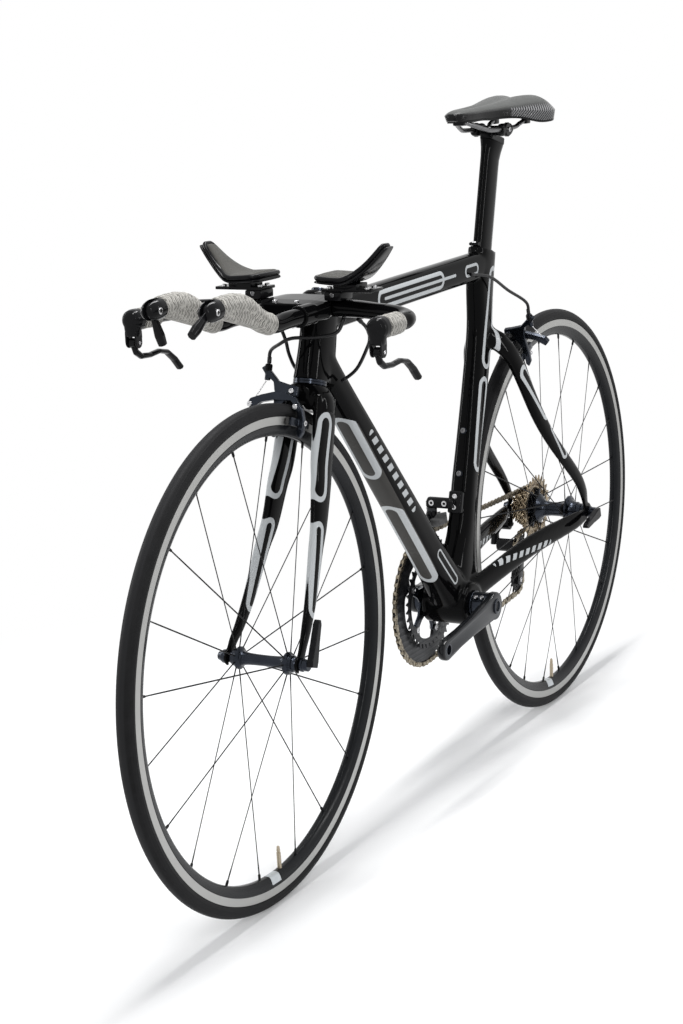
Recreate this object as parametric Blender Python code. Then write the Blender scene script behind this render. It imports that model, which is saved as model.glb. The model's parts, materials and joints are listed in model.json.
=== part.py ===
"""Aero time-trial bicycle: separate pieces at real size, in metres.

+X is forward, +Y is the rider's left and +Z is up. The origin is on the ground midway between the wheels.
"""

import math

import bmesh
import bpy
from mathutils import Matrix, Vector

# Clearances
WELD = 0.000001
SEAT_GAP = 0.0003
RUN_GAP = 0.0007

# Wheels
WHEELBASE = 0.960
WHEEL_RADIUS = 0.334
TYRE_WIDTH = 0.023
RIM_EDGE_RADIUS = 0.317
RIM_DEPTH = 0.0255
RIM_WIDTH = 0.020
RIM_WALL = 0.0017
BRAKE_TRACK = 0.0115
WHEEL_SIDES = 36
SPOKE_RADIUS = 0.0010
FRONT_SPOKES = 20
REAR_SPOKES = 24
REAR_SPOKE_CROSS = math.radians(52)
VALVE_LENGTH = 0.036
REAR_SPOKE_START = math.radians(8.9)
FRONT_SPOKE_START = math.radians(6.9)
FRONT_VALVE_ANGLE = math.radians(-93)
REAR_VALVE_ANGLE = math.radians(-89)
FRONT_HUB_WIDTH = 0.100
REAR_HUB_WIDTH = 0.130
AXLE_RADIUS = 0.0046
FRONT_FLANGE = 0.036
REAR_FLANGE_LEFT = 0.035
REAR_FLANGE_RIGHT = -0.0180

# Frame
CHAINSTAY = 0.3955
BRACKET_DROP = 0.064
HEAD_ANGLE = math.radians(72.5)
SEAT_ANGLE = math.radians(75)
FORK_RAKE = 0.043
FORK_LENGTH = 0.3665
HEAD_TUBE = 0.092
HEAD_BEARING = 0.0075
STEERER_RADIUS = 0.0143
SEAT_TUBE = 0.543
SHELL_RADIUS = 0.0325
SHELL_WIDTH = 0.074
TYRE_ROOM = 0.0042
DOWN_TUBE_WIDTH = 0.041
TOP_TUBE_WIDTH = 0.033
TOP_TUBE_DEPTH = 0.043
DROPOUT = 0.0045
NOTCH_RADIUS = 0.0405

# Saddle and its post
POST_CHORD = 0.053
POST_WIDTH = 0.0190
POST_SINK = 0.060
POST_TOP = 0.704
POST_HEAD = 0.7075
RAIL_RISE = 0.0235
SADDLE_SETBACK = 0.1536
SADDLE_LENGTH = 0.270
SADDLE_WIDTH = 0.136
RAIL_RADIUS = 0.0035
RAIL_SPREAD = 0.022
SKIN_EXTRA = 0.0040
SHELL_SKIN = 0.0040
SKIN = 0.0085

# Cranks and chain
CRANK_LENGTH = 0.1725
CRANK_ANGLE = math.radians(-7.5)
PITCH = 0.0127
RING_TEETH = 50
SMALL_RING_TEETH = 36
COGS = (11, 12, 13, 14, 15, 17, 19, 21, 23, 26)
DRIVEN_COG = 5
JOCKEY_TEETH = 11
RING_Y = -0.0470
SMALL_RING_Y = -0.0405
SMALLEST_COG_Y = -0.0600
COG_PITCH = 0.00395
COG_THICKNESS = 0.0016
TOOTH_THICKNESS = 0.0019
PIN_HALF_LENGTH = 0.0024
CHAIN_HALF_HEIGHT = 0.0041
SPINDLE_RADIUS = 0.0120
ARM_Y = 0.0690
RIGHT_ARM_Y = 0.0590
ARM_THICKNESS = 0.0120
SPIDER_ARM = ((0.0250, -0.45), (0.0560, -0.17), (0.0595, 0.0), (0.0560, 0.17), (0.0250, 0.45))
CAGE_LENGTH = 0.056
CHAIN_CAGE_ANGLE = math.radians(-66)

# Cockpit, measured from the top of the head tube
BAR_FORWARD = 0.0455
BAR_RISE = 0.0110
BAR_THICKNESS = 0.0225
BAR_CHORD = 0.036
HORN_Y = 0.178
HORN_FORWARD = 0.1634
HORN_RISE = 0.0055
EXTENSION_RISE = 0.0092
PAD_STACK = 0.02665
PAD_RISE = BAR_RISE + BAR_THICKNESS / 2 + SEAT_GAP + PAD_STACK
PAD_FORWARD = 0.0520
TAPE_THICKNESS = 0.0028
EXTENSION_Y = 0.040
EXTENSION_RADIUS = 0.0111
PAD_LENGTH = 0.074
PAD_SHARES = (0.0, 0.07, 0.22, 0.50, 0.78, 0.93, 1.0)
CABLE_RADIUS = 0.0024
STEM_HEIGHT = 0.0250
STEM_RADIUS = 0.0275
PAD_GAP = 0.0016
REAR_BRAKE_ANGLE = math.radians(64.5)
BRAKE_BOLT = 0.0030
BRAKE_SETBACK = 0.0125
BRAKE_HEIGHT = 0.3525

LEFT = Vector((0, 1, 0))
UP = Vector((0, 0, 1))
FORWARD = Vector((1, 0, 0))
DOWN = Vector((0, 0, -1))

REAR_AXLE = Vector((-WHEELBASE / 2, 0, WHEEL_RADIUS))
FRONT_AXLE = Vector((WHEELBASE / 2, 0, WHEEL_RADIUS))
BRACKET = REAR_AXLE + Vector((math.sqrt(CHAINSTAY**2 - BRACKET_DROP**2), 0, -BRACKET_DROP))
STEER_UP = Vector((-math.cos(HEAD_ANGLE), 0, math.sin(HEAD_ANGLE)))
STEER_FORE = Vector((math.sin(HEAD_ANGLE), 0, math.cos(HEAD_ANGLE)))
STEER_FOOT = FRONT_AXLE - FORK_RAKE * STEER_FORE
SEAT_UP = Vector((-math.cos(SEAT_ANGLE), 0, math.sin(SEAT_ANGLE)))
SEAT_FORE = Vector((math.sin(SEAT_ANGLE), 0, math.cos(SEAT_ANGLE)))
HEAD_BOTTOM = FORK_LENGTH + SEAT_GAP + HEAD_BEARING
HEAD_TOP = HEAD_BOTTOM + HEAD_TUBE
RIM_INNER = RIM_EDGE_RADIUS - RIM_DEPTH

COLOURS = {
    "gloss_carbon": ((0.012, 0.012, 0.013), 0.12, 0.0),
    "satin_black": ((0.020, 0.020, 0.022), 0.45, 0.0),
    "anodised_black": ((0.022, 0.024, 0.030), 0.30, 0.8),
    "polished_metal": ((0.70, 0.71, 0.73), 0.22, 1.0),
    "chain_metal": ((0.46, 0.40, 0.32), 0.35, 1.0),
    "tyre": ((0.022, 0.022, 0.022), 0.75, 0.0),
    "tape": ((0.52, 0.50, 0.44), 0.80, 0.0),
    "pad_cloth": ((0.060, 0.058, 0.050), 0.90, 0.0),
    "saddle_skin": ((0.045, 0.045, 0.047), 0.50, 0.0),
    "cable_skin": ((0.015, 0.015, 0.016), 0.40, 0.0),
}


def steer(along, fore=0.0, left=0.0):
    """A point by its distance along the steering axis, ahead of it and to the left."""
    return STEER_FOOT + along * STEER_UP + fore * STEER_FORE + left * LEFT


def seat(along, fore=0.0, left=0.0):
    """A point by its distance up the seat tube from the bottom bracket."""
    return BRACKET + along * SEAT_UP + fore * SEAT_FORE + left * LEFT


def cockpit(forward, left, rise):
    """A point measured from the top of the head tube along the row's own axes."""
    return steer(HEAD_TOP) + Vector((forward, left, rise))


def around(centre, radius, angle, left=0.0):
    """A point in a wheel's plane: the angle runs from forward to up."""
    return centre + Vector((radius * math.cos(angle), left, radius * math.sin(angle)))


def material(kind):
    """One Principled material for each finish, made when first asked for."""
    found = bpy.data.materials.get(kind)
    if found:
        return found
    colour, roughness, metallic = COLOURS[kind]
    made = bpy.data.materials.new(kind)
    made.use_nodes = True
    shader = made.node_tree.nodes["Principled BSDF"]
    shader.inputs["Base Color"].default_value = (*colour, 1.0)
    shader.inputs["Roughness"].default_value = roughness
    shader.inputs["Metallic"].default_value = metallic
    return made


def solid_from(bm, name="shape"):
    """Turn a closed bmesh into an object whose faces point out."""
    bmesh.ops.recalc_face_normals(bm, faces=bm.faces)
    mesh = bpy.data.meshes.new(name)
    bm.to_mesh(mesh)
    bm.free()
    made = bpy.data.objects.new(name, mesh)
    bpy.context.scene.collection.objects.link(made)
    return made


def combined(base, others, operation="UNION"):
    """Join or cut the base with other solids, which are used up."""
    for other in others:
        step = base.modifiers.new(operation, "BOOLEAN")
        step.operation = operation
        step.object = other
        step.solver = "EXACT"
    depsgraph = bpy.context.evaluated_depsgraph_get()
    mesh = bpy.data.meshes.new_from_object(base.evaluated_get(depsgraph))
    base.modifiers.clear()
    bm = bmesh.new()
    bm.from_mesh(mesh)
    bmesh.ops.remove_doubles(bm, verts=bm.verts, dist=WELD)
    bm.to_mesh(mesh)
    bm.free()
    base.data = mesh
    for other in others:
        bpy.data.objects.remove(other, do_unlink=True)
    return base


def cut(base, others):
    return combined(base, others, "DIFFERENCE")


def piece(name, made, kind, pivot=None):
    """Name a finished piece, give it its finish and put its origin on its pivot."""
    made.name = name
    made.data.name = name
    made.data.materials.clear()
    made.data.materials.append(material(kind))
    if pivot is not None:
        made.data.transform(Matrix.Translation(-pivot))
        made.location = pivot
    made.data.shade_smooth()
    made.data.set_sharp_from_angle(angle=math.radians(32))
    return made


def ring_points(centre, across, along, half_across, half_along, squareness=2.0, count=12, pinch=0.0):
    """A rounded outline from a circle (2) to nearly a rectangle (6), narrower at one end when pinched."""
    points = []
    for step in range(count):
        angle = 2 * math.pi * (step + 0.5) / count
        c, s = math.cos(angle), math.sin(angle)
        reach = (abs(c) ** squareness + abs(s) ** squareness) ** (-1 / squareness)
        narrow = 1 - pinch * (1 - s * reach) / 2
        width = half_across * c * reach * narrow
        points.append(centre + across * width + along * (half_along * s * reach))
    return points


def lofted(rings, closed=False, split=False):
    """Skin outlines with the same number of points; split makes triangles along short diagonals."""
    bm = bmesh.new()
    rows = [[bm.verts.new(point) for point in ring] for ring in rings]
    count = len(rows[0])
    pairs = list(zip(rows, rows[1:]))
    if closed:
        pairs.append((rows[-1], rows[0]))
    for first, second in pairs:
        for i in range(count):
            j = (i + 1) % count
            bm.faces.new((first[i], first[j], second[j], second[i]))
    if not closed:
        bm.faces.new(rows[0])
        bm.faces.new(rows[-1])
    if split:
        bmesh.ops.triangulate(bm, faces=bm.faces[:], quad_method="SHORT_EDGE")
    return solid_from(bm)


def swept(stations, hint=LEFT, squareness=2.0, count=10, pinch=0.0):
    """Loft along a path of (centre, half size along the hint, half size across it)."""
    centres = [station[0] for station in stations]
    rings = []
    for i, (centre, half_hint, half_across) in enumerate(stations):
        tangent = (centres[min(i + 1, len(centres) - 1)] - centres[max(i - 1, 0)]).normalized()
        across = tangent.cross(hint).normalized()
        along_hint = across.cross(tangent).normalized()
        rings.append(
            ring_points(centre, along_hint, across, half_hint, half_across, squareness, count, pinch)
        )
    return lofted(rings)


def tube(points, radius, sides=8):
    """A round tube through smooth points."""
    rings = []
    side = None
    for i, point in enumerate(points):
        tangent = (points[min(i + 1, len(points) - 1)] - points[max(i - 1, 0)]).normalized()
        if side is None:
            side = tangent.orthogonal().normalized()
        side = (side - tangent * side.dot(tangent)).normalized()
        rings.append(ring_points(point, side, tangent.cross(side), radius, radius, 2.0, sides))
    return lofted(rings)


def smooth_path(points, steps):
    """Points on one smooth curve through the chosen ones."""
    padded = [2 * points[0] - points[1], *points, 2 * points[-1] - points[-2]]
    path = []
    for a, b, c, d in zip(padded, padded[1:], padded[2:], padded[3:]):
        for step in range(steps):
            t = step / steps
            square, cube = 2 * a - 5 * b + 4 * c - d, 3 * b - a - 3 * c + d
            path.append(0.5 * (2 * b + (c - a) * t + square * t**2 + cube * t**3))
    return [*path, points[-1]]


def turned(profile, centre, axis=LEFT, sides=16, closed=True):
    """Revolve (along, radius) points; a closed profile makes a ring, an open one ends on the axis."""
    side = axis.orthogonal().normalized()
    if abs(axis.dot(LEFT)) > 0.99:
        side = FORWARD
    other = axis.cross(side)
    bm = bmesh.new()
    rows = []
    for along, radius in profile:
        if radius == 0:
            rows.append([bm.verts.new(centre + axis * along)])
            continue
        row = []
        for i in range(sides):
            a = 2 * math.pi * i / sides
            outward = side * math.cos(a) + other * math.sin(a)
            row.append(bm.verts.new(centre + axis * along + outward * radius))
        rows.append(row)
    pairs = list(zip(rows, rows[1:]))
    if closed:
        pairs.append((rows[-1], rows[0]))
    for first, second in pairs:
        for i in range(sides):
            corners = [first[i % len(first)], first[(i + 1) % len(first)]]
            corners += [second[(i + 1) % len(second)], second[i % len(second)]]
            bm.faces.new(dict.fromkeys(corners))
    return solid_from(bm)


def rod(start, end, radius, sides=10):
    """A plain round bar from one point to another."""
    length = (end - start).length
    profile = [(0, 0), (0, radius), (length, radius), (length, 0)]
    return turned(profile, start, (end - start).normalized(), sides, closed=False)


def sleeve(start, end, outer, inner, sides=20):
    """A round tube with its bore open at both ends."""
    length = (end - start).length
    profile = [(0, inner), (0, outer), (length, outer), (length, inner)]
    return turned(profile, start, (end - start).normalized(), sides)


def plate(outlines, thickness, centre, across=FORWARD, up=UP):
    """A flat plate from an outline and its holes, given as (across, up) pairs, centred on its thickness."""
    curve = bpy.data.curves.new("outline", "CURVE")
    curve.dimensions = "2D"
    curve.fill_mode = "BOTH"
    curve.extrude = thickness / 2
    for outline in outlines:
        spline = curve.splines.new("POLY")
        spline.points.add(len(outline) - 1)
        for point, (a, b) in zip(spline.points, outline):
            point.co = (a, b, 0, 1)
        spline.use_cyclic_u = True
    drawn = bpy.data.objects.new("outline", curve)
    bpy.context.scene.collection.objects.link(drawn)
    depsgraph = bpy.context.evaluated_depsgraph_get()
    mesh = bpy.data.meshes.new_from_object(drawn.evaluated_get(depsgraph))
    bpy.data.objects.remove(drawn, do_unlink=True)
    bm = bmesh.new()
    bm.from_mesh(mesh)
    bmesh.ops.remove_doubles(bm, verts=bm.verts, dist=WELD)
    turn = Matrix((across, up, across.cross(up))).transposed().to_4x4()
    bmesh.ops.transform(bm, matrix=Matrix.Translation(centre) @ turn, verts=bm.verts)
    return solid_from(bm)


def block(centre, size, across=FORWARD, up=UP, bevel=0.0):
    """A rectangular block, with its edges bevelled if asked."""
    bm = bmesh.new()
    bmesh.ops.create_cube(bm, size=1.0)
    bmesh.ops.scale(bm, vec=size, verts=bm.verts)
    if bevel:
        bmesh.ops.bevel(bm, geom=bm.edges, offset=bevel, segments=1, affect="EDGES")
    turn = Matrix((across, up.cross(across), up)).transposed().to_4x4()
    bmesh.ops.transform(bm, matrix=Matrix.Translation(centre) @ turn, verts=bm.verts)
    return solid_from(bm)


def joined(solids):
    """Put solids that don't touch into one object, to be used as one cutter or one addition."""
    bm = bmesh.new()
    for other in solids:
        bm.from_mesh(other.data)
        bpy.data.objects.remove(other, do_unlink=True)
    return solid_from(bm)


def circle(radius, count, centre=(0.0, 0.0), start=0.0):
    turns = (start + 2 * math.pi * i / count for i in range(count))
    return [(centre[0] + radius * math.cos(a), centre[1] + radius * math.sin(a)) for a in turns]


# Frame


def frame_tubes():
    """The frame's tubes before they are joined: head, top, down and seat tube, and the bracket shell."""
    head_rows = [
        (HEAD_BOTTOM - 0.0040, 0.0205, 0.0270, -0.0300),
        (HEAD_BOTTOM + 0.014, 0.0200, 0.0272, -0.0460),
        (HEAD_BOTTOM + 0.42 * HEAD_TUBE, 0.0190, 0.0262, -0.0480),
        (HEAD_BOTTOM + 0.80 * HEAD_TUBE, 0.0190, 0.0262, -0.0440),
        (HEAD_TOP + 0.0040, 0.0205, 0.0270, -0.0420),
    ]
    head = lofted(
        [
            ring_points(
                steer(s, (nose + tail) / 2), LEFT, STEER_FORE, half, (nose - tail) / 2, 2.5, 12, 0.08
            )
            for s, half, nose, tail in head_rows
        ]
    )
    top_front = steer(HEAD_TOP - 0.0020, -0.018)
    top_rear = seat(SEAT_TUBE - 0.022, -0.006)
    half_wide, half_deep = TOP_TUBE_WIDTH / 2, TOP_TUBE_DEPTH / 2
    top = swept(
        [
            (top_front, half_wide + 0.001, half_deep + 0.001),
            (top_front.lerp(top_rear, 0.12), half_wide, half_deep),
            (top_front.lerp(top_rear, 0.88), half_wide - 0.001, half_deep),
            (top_rear, half_wide - 0.001, half_deep),
        ],
        squareness=3.0,
        count=12,
    )
    down_front, down_rear = down_tube_ends()
    half = DOWN_TUBE_WIDTH / 2
    down = swept(
        [
            (down_front, half - 0.002, 0.0240),
            (down_front.lerp(down_rear, 0.10), half - 0.0015, 0.0205),
            (down_front.lerp(down_rear, 0.45), half, 0.0230),
            (down_front.lerp(down_rear, 0.80), half + 0.001, 0.0265),
            (down_rear, half + 0.006, 0.0300),
        ],
        squareness=3.4,
        count=12,
    )
    seat_rows = [
        (0.004, 0.0270, 0.026, -0.055),
        (0.040, 0.0250, 0.012, -0.060),
        (0.100, 0.0205, 0.010, -0.044),
        (0.180, 0.0195, 0.011, -0.034),
        (0.250, 0.0185, 0.009, -0.036),
        (0.340, 0.0175, 0.009, -0.045),
        (0.420, 0.0165, 0.012, -0.046),
        (0.485, 0.0165, 0.028, -0.039),
        (SEAT_TUBE, 0.0165, 0.031, -0.036),
    ]
    seat_tube = lofted(
        [
            ring_points(seat(s, (nose + tail) / 2), LEFT, SEAT_FORE, wide, (nose - tail) / 2, 2.6, 12, 0.15)
            for s, wide, nose, tail in seat_rows
        ]
    )
    shell = rod(BRACKET - LEFT * SHELL_WIDTH / 2, BRACKET + LEFT * SHELL_WIDTH / 2, SHELL_RADIUS, 20)
    return [head, top, down, seat_tube, shell]


def down_tube_ends():
    return steer(HEAD_BOTTOM + 0.030, -0.012), BRACKET + Vector((0.004, 0, 0.012))


def dropout_centre(side):
    return REAR_AXLE + LEFT * side * (REAR_HUB_WIDTH / 2 + DROPOUT / 2 + SEAT_GAP)


def chainstay(side):
    """One chainstay, from the bracket shell past the tyre to its dropout."""
    end = dropout_centre(side)
    path = [
        (BRACKET + Vector((-0.010, side * 0.0235, 0.010)), 0.0100, 0.0180),
        (BRACKET + Vector((-0.060, side * 0.0295, 0.0225)), 0.0080, 0.0175),
        (BRACKET.lerp(REAR_AXLE, 0.50) + Vector((0, side * 0.0470, 0.0150)), 0.0080, 0.0175),
        (BRACKET.lerp(REAR_AXLE, 0.84) + Vector((0, side * 0.0625, 0.0030)), 0.0060, 0.0150),
        (BRACKET.lerp(REAR_AXLE, 0.945) + Vector((0, end.y, -0.001)), DROPOUT / 2, 0.0125),
        (end + Vector((0.004, 0, -0.002)), DROPOUT / 2, 0.0110),
    ]
    return swept(path, squareness=2.8, count=8)


def seatstay(side):
    """One seatstay, bowed outwards past the rim, from the brake deck to its dropout."""
    end = dropout_centre(side)
    path = [
        (REAR_AXLE + Vector((0.262, side * 0.0120, 0.328)), 0.0080, 0.0150),
        (REAR_AXLE + Vector((0.240, side * 0.0290, 0.309)), 0.0080, 0.0165),
        (REAR_AXLE + Vector((0.218, side * 0.0390, 0.280)), 0.0078, 0.0170),
        (REAR_AXLE + Vector((0.180, side * 0.0545, 0.201)), 0.0070, 0.0160),
        (REAR_AXLE + Vector((0.142, side * 0.0620, 0.151)), 0.0062, 0.0135),
        (REAR_AXLE + Vector((0.097, side * 0.0672, 0.109)), 0.0056, 0.0125),
        (REAR_AXLE + Vector((0.048, side * 0.0700, 0.067)), 0.0052, 0.0118),
        (REAR_AXLE + Vector((0.022, side * 0.0695, 0.038)), 0.0044, 0.0112),
        (end + Vector((0.008, 0, 0.014)), DROPOUT / 2, 0.0100),
        (end + Vector((0, 0, -0.006)), DROPOUT / 2, 0.0095),
    ]
    return swept(path, squareness=2.4, count=8)


def brake_deck():
    """The deck that runs back from the seat tube, over the tyre, to the rear brake's bolt."""
    foot, out, up, _wheel = calliper(False)
    end = foot - out * SEAT_GAP
    return swept(
        [
            (seat(0.424, -0.030), 0.0150, 0.0130),
            (REAR_AXLE + Vector((0.240, 0, 0.322)), 0.0330, 0.0120),
            (end - out * 0.0220 + up * 0.002, 0.0230, 0.0110),
            (end, 0.0150, 0.0100),
        ],
        squareness=2.8,
        count=12,
    )


def dropout_plate(side):
    """The flat plate that the wheel's axle clamps, with the hanger on the right."""
    centre = dropout_centre(side)
    made = plate([circle(0.0150, 12)], DROPOUT, centre)
    if side < 0:
        drop = [(-0.004, -0.010), (0.012, -0.010), (0.0135, -0.030)]
        drop += [(0.009, -0.036), (0.001, -0.036), (-0.003, -0.030)]
        made = combined(made, [plate([drop], DROPOUT - 0.0002, centre)])
    return made


def bottle_bosses():
    """Four small bosses for bottle cages, two on the down tube and two on the seat tube."""
    start, end = down_tube_ends()
    run = (end - start).normalized()
    out = run.cross(LEFT).normalized()
    if out.z < 0:
        out = -out
    bosses = []
    for share, depth in ((0.50, 0.0235), (0.635, 0.0248)):
        foot = start.lerp(end, share) + out * (depth - 0.004)
        bosses.append(rod(foot, foot + out * 0.0065, 0.0050, 8))
    for along, depth in ((0.262, 0.0090), (0.196, 0.0106)):
        foot = seat(along, depth - 0.004)
        bosses.append(rod(foot, foot + SEAT_FORE * 0.0065, 0.0050, 8))
    return joined(bosses)


def frame():
    """The whole frame: tubes and stays joined, then cut for the tyre, bearings, post and axle."""
    tubes = frame_tubes()
    stays = [make(side) for side in (1, -1) for make in (chainstay, seatstay, dropout_plate)]
    brace = block(BRACKET + Vector((-0.048, 0, 0.011)), (0.050, 0.050, 0.0265))
    body = combined(tubes[0], [*tubes[1:], *stays, brake_deck(), brace, bottle_bosses()])
    groove_half = TYRE_WIDTH / 2 + TYRE_ROOM
    groove_radius = WHEEL_RADIUS + TYRE_ROOM
    groove = turned(
        [
            (-groove_half, 0),
            (-groove_half, groove_radius - 0.008),
            (-groove_half * 0.6, groove_radius),
            (groove_half * 0.6, groove_radius),
            (groove_half, groove_radius - 0.008),
            (groove_half, 0),
        ],
        REAR_AXLE,
        LEFT,
        44,
        closed=False,
    )
    fork_room = 0.085 + HEAD_BOTTOM - FORK_LENGTH
    bore = STEERER_RADIUS + 0.0012
    profile = [
        (0, 0),
        (0, NOTCH_RADIUS),
        (fork_room, NOTCH_RADIUS),
        (fork_room, bore),
        (fork_room + HEAD_TUBE, bore),
        (fork_room + HEAD_TUBE, STEM_RADIUS + 0.0150),
        (fork_room + HEAD_TUBE + 0.050, STEM_RADIUS + 0.0150),
        (fork_room + HEAD_TUBE + 0.050, 0),
    ]
    steering_room = turned(profile, steer(FORK_LENGTH - 0.085), STEER_UP, 20, closed=False)
    bracket_bore = rod(
        BRACKET - LEFT * (SHELL_WIDTH / 2 + 0.010), BRACKET + LEFT * (SHELL_WIDTH / 2 + 0.010), 0.0205, 24
    )
    socket_ends = (SEAT_TUBE - POST_SINK - 0.006, SEAT_TUBE + 0.030)
    post_socket = lofted([post_ring(s, SEAT_GAP) for s in socket_ends])
    axle_slots = [
        block(
            REAR_AXLE + LEFT * side * (REAR_HUB_WIDTH / 2 + DROPOUT / 2) + Vector((0, 0, -0.012)),
            (2 * AXLE_RADIUS + 0.0014, 0.020, 0.024 + 2 * AXLE_RADIUS + 0.0014),
        )
        for side in (1, -1)
    ]
    foot, out, _up, _wheel = calliper(False)
    brake_hole = rod(foot - out * 0.0300, foot + out * 0.010, BRAKE_BOLT + 0.0005, 8)
    cutters = [groove, steering_room, bracket_bore, post_socket, joined(axle_slots), brake_hole]
    piece("frame", cut(body, cutters), "gloss_carbon")


# Seatpost and saddle


def post_ring(along, grow=0.0):
    """The aero seatpost's outline, a rounded nose and a slightly narrower tail."""
    half_chord = POST_CHORD / 2 + grow
    half_width = POST_WIDTH / 2 + grow
    return ring_points(seat(along, -0.002), LEFT, SEAT_FORE, half_width, half_chord, 2.4, 12, 0.12)


def seatpost():
    """An aero post whose head flares into a platform for the clamp."""
    rings = [post_ring(s) for s in (SEAT_TUBE - POST_SINK, SEAT_TUBE + 0.010, POST_HEAD - 0.024)]
    for below, fore, wide, deep in ((0.012, -0.003, 0.0105, 0.0275), (0.0, -0.004, 0.0125, 0.0305)):
        rings.append(ring_points(seat(POST_HEAD - below, fore), LEFT, SEAT_FORE, wide, deep, 2.6, 12, 0.05))
    piece("seatpost", lofted(rings), "gloss_carbon")


def seatpost_clamp():
    """A wedge on the top tube that presses on the post's nose."""
    nose = 0.0335 + 2 * SEAT_GAP
    foot = seat(SEAT_TUBE + SEAT_GAP, 0.0)
    tail = POST_CHORD / 2 - 0.002 + 2 * SEAT_GAP
    outline = [(tail, 0.0), (nose - 0.002, 0.0), (nose - 0.0015, 0.0035)]
    outline += [(tail + 0.002, 0.0060), (tail, 0.0060)]
    wedge = plate([outline], 0.0150, foot, SEAT_FORE, SEAT_UP)
    piece("seatpost_clamp", wedge, "satin_black")


def saddle_place(back, left, rise):
    """A point measured back from the saddle's nose, at the height of the rails."""
    post = seat(POST_TOP)
    return Vector((post.x + SADDLE_SETBACK - back, left, post.z + RAIL_RISE + rise))


def saddle_outline():
    """The saddle's plan and side shape: (share of length, half width, edge drop, top height)."""
    return [
        (0.00, 0.0100, 0.0020, 0.0260),
        (0.04, 0.0170, 0.0030, 0.0300),
        (0.12, 0.0210, 0.0045, 0.0340),
        (0.30, 0.0240, 0.0090, 0.0365),
        (0.46, 0.0310, 0.0150, 0.0380),
        (0.62, 0.0440, 0.0230, 0.0420),
        (0.78, 0.0600, 0.0300, 0.0480),
        (0.90, SADDLE_WIDTH / 2, 0.0300, 0.0495),
        (0.97, 0.0600, 0.0230, 0.0480),
        (1.00, 0.0450, 0.0150, 0.0445),
    ]


def saddle_ring(share, half, drop, top, start, end):
    """One section of the saddle between two depths below its top, crowned and turned down at the edges."""
    count = 8
    rows = []
    for depth in (start, end):
        row = []
        for k in range(count + 1):
            v = math.sin(math.pi / 2 * (-1 + 2 * k / count))
            channel = 0.0030 * math.exp(-((v / 0.22) ** 2)) if 0.2 < share < 0.98 else 0.0
            skirt = SKIN_EXTRA * abs(v) ** 6 if depth > 0 else 0.0
            height = top - drop * abs(v) ** 3 - channel - depth - skirt
            row.append(saddle_place(share * SADDLE_LENGTH, v * (half - 0.26 * depth), height))
        rows.append(row)
    return [*rows[0], *reversed(rows[1])]


def saddle():
    cover = lofted([saddle_ring(*row, 0.0, SKIN) for row in saddle_outline()], split=True)
    piece("saddle_cover", cover, "saddle_skin")
    rows = [row for row in saddle_outline() if 0.0 < row[0] < 0.96]
    shell = lofted([saddle_ring(*row, SKIN + 2 * SEAT_GAP, SKIN + SHELL_SKIN) for row in rows], split=True)
    anchors = [
        block(saddle_place(0.037, 0, 0.0166), (0.018, 0.020, 0.0130)),
        *[block(saddle_place(0.230, side * 0.0265, 0.0188), (0.016, 0.0095, 0.0304)) for side in (1, -1)],
    ]
    shell = combined(shell, anchors)
    path = rail_path()
    piece("saddle_shell", cut(shell, [tube(path, RAIL_RADIUS + SEAT_GAP, 6)]), "satin_black")
    piece("saddle_rails", tube(path, RAIL_RADIUS, 6), "polished_metal")


def rail_path():
    """Both saddle rails as one bent rod that turns back under the nose."""
    legs = {}
    for side in (1, -1):
        legs[side] = [
            saddle_place(0.033, side * 0.0045, 0.0158),
            saddle_place(0.045, side * 0.0095, 0.0140),
            saddle_place(0.085, side * RAIL_SPREAD * 0.85, 0.0040),
            saddle_place(0.110, side * RAIL_SPREAD, 0.0),
            saddle_place(0.190, side * RAIL_SPREAD, 0.0),
            saddle_place(0.208, side * 0.0250, 0.0050),
            saddle_place(0.232, side * 0.0265, 0.0110),
        ]
    return [*reversed(legs[1]), *legs[-1]]


def saddle_clamp():
    """A cradle on the post's head with two round jaws that grip the rails."""
    rail = seat(POST_TOP).z + RAIL_RISE
    middle = Vector((seat(POST_HEAD, -0.004).x, 0, rail - 0.0015))
    jaws = [
        swept(
            [
                (middle + FORWARD * along + LEFT * side * RAIL_SPREAD, 0.0065, high)
                for along, high in ((-0.0185, 0.0070), (-0.0130, 0.0098), (0.0130, 0.0098), (0.0185, 0.0070))
            ],
            squareness=3.0,
            count=10,
        )
        for side in (1, -1)
    ]
    tie = block(middle - UP * 0.0030, (0.022, 2 * RAIL_SPREAD, 0.0110), bevel=0.002)
    base = seat(POST_HEAD + SEAT_GAP, -0.004)
    foot = block(base + SEAT_UP * 0.0060, (0.048, 0.0210, 0.0120), SEAT_FORE, SEAT_UP, 0.0015)
    clamp = combined(tie, [foot, *jaws])
    rails = joined(
        [
            rod(
                Vector((middle.x + 0.05, side * RAIL_SPREAD, rail)),
                Vector((middle.x - 0.05, side * RAIL_SPREAD, rail)),
                RAIL_RADIUS + SEAT_GAP,
                8,
            )
            for side in (1, -1)
        ]
    )
    piece("saddle_clamp", cut(clamp, [rails]), "anodised_black")


# Bearings


def bracket_cups():
    for side, name in ((1, "bottom_bracket_cup_left"), (-1, "bottom_bracket_cup_right")):
        start = BRACKET + LEFT * side * (SHELL_WIDTH / 2 - 0.012)
        outer, inner = 0.0205 - SEAT_GAP - 0.0002, SPINDLE_RADIUS + RUN_GAP
        width = 0.012 + SEAT_GAP
        flange = width + 0.0030
        profile = [(0, inner), (0, outer), (width, outer)]
        profile += [(width, 0.0215), (flange, 0.0215), (flange, inner)]
        piece(name, turned(profile, start, LEFT * side, 16), "anodised_black")


def headset_bearing():
    start = steer(FORK_LENGTH + SEAT_GAP)
    end = steer(HEAD_BOTTOM - SEAT_GAP)
    piece("headset_lower_bearing", sleeve(start, end, 0.0225, STEERER_RADIUS + RUN_GAP, 16), "anodised_black")


# Wheels


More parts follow.
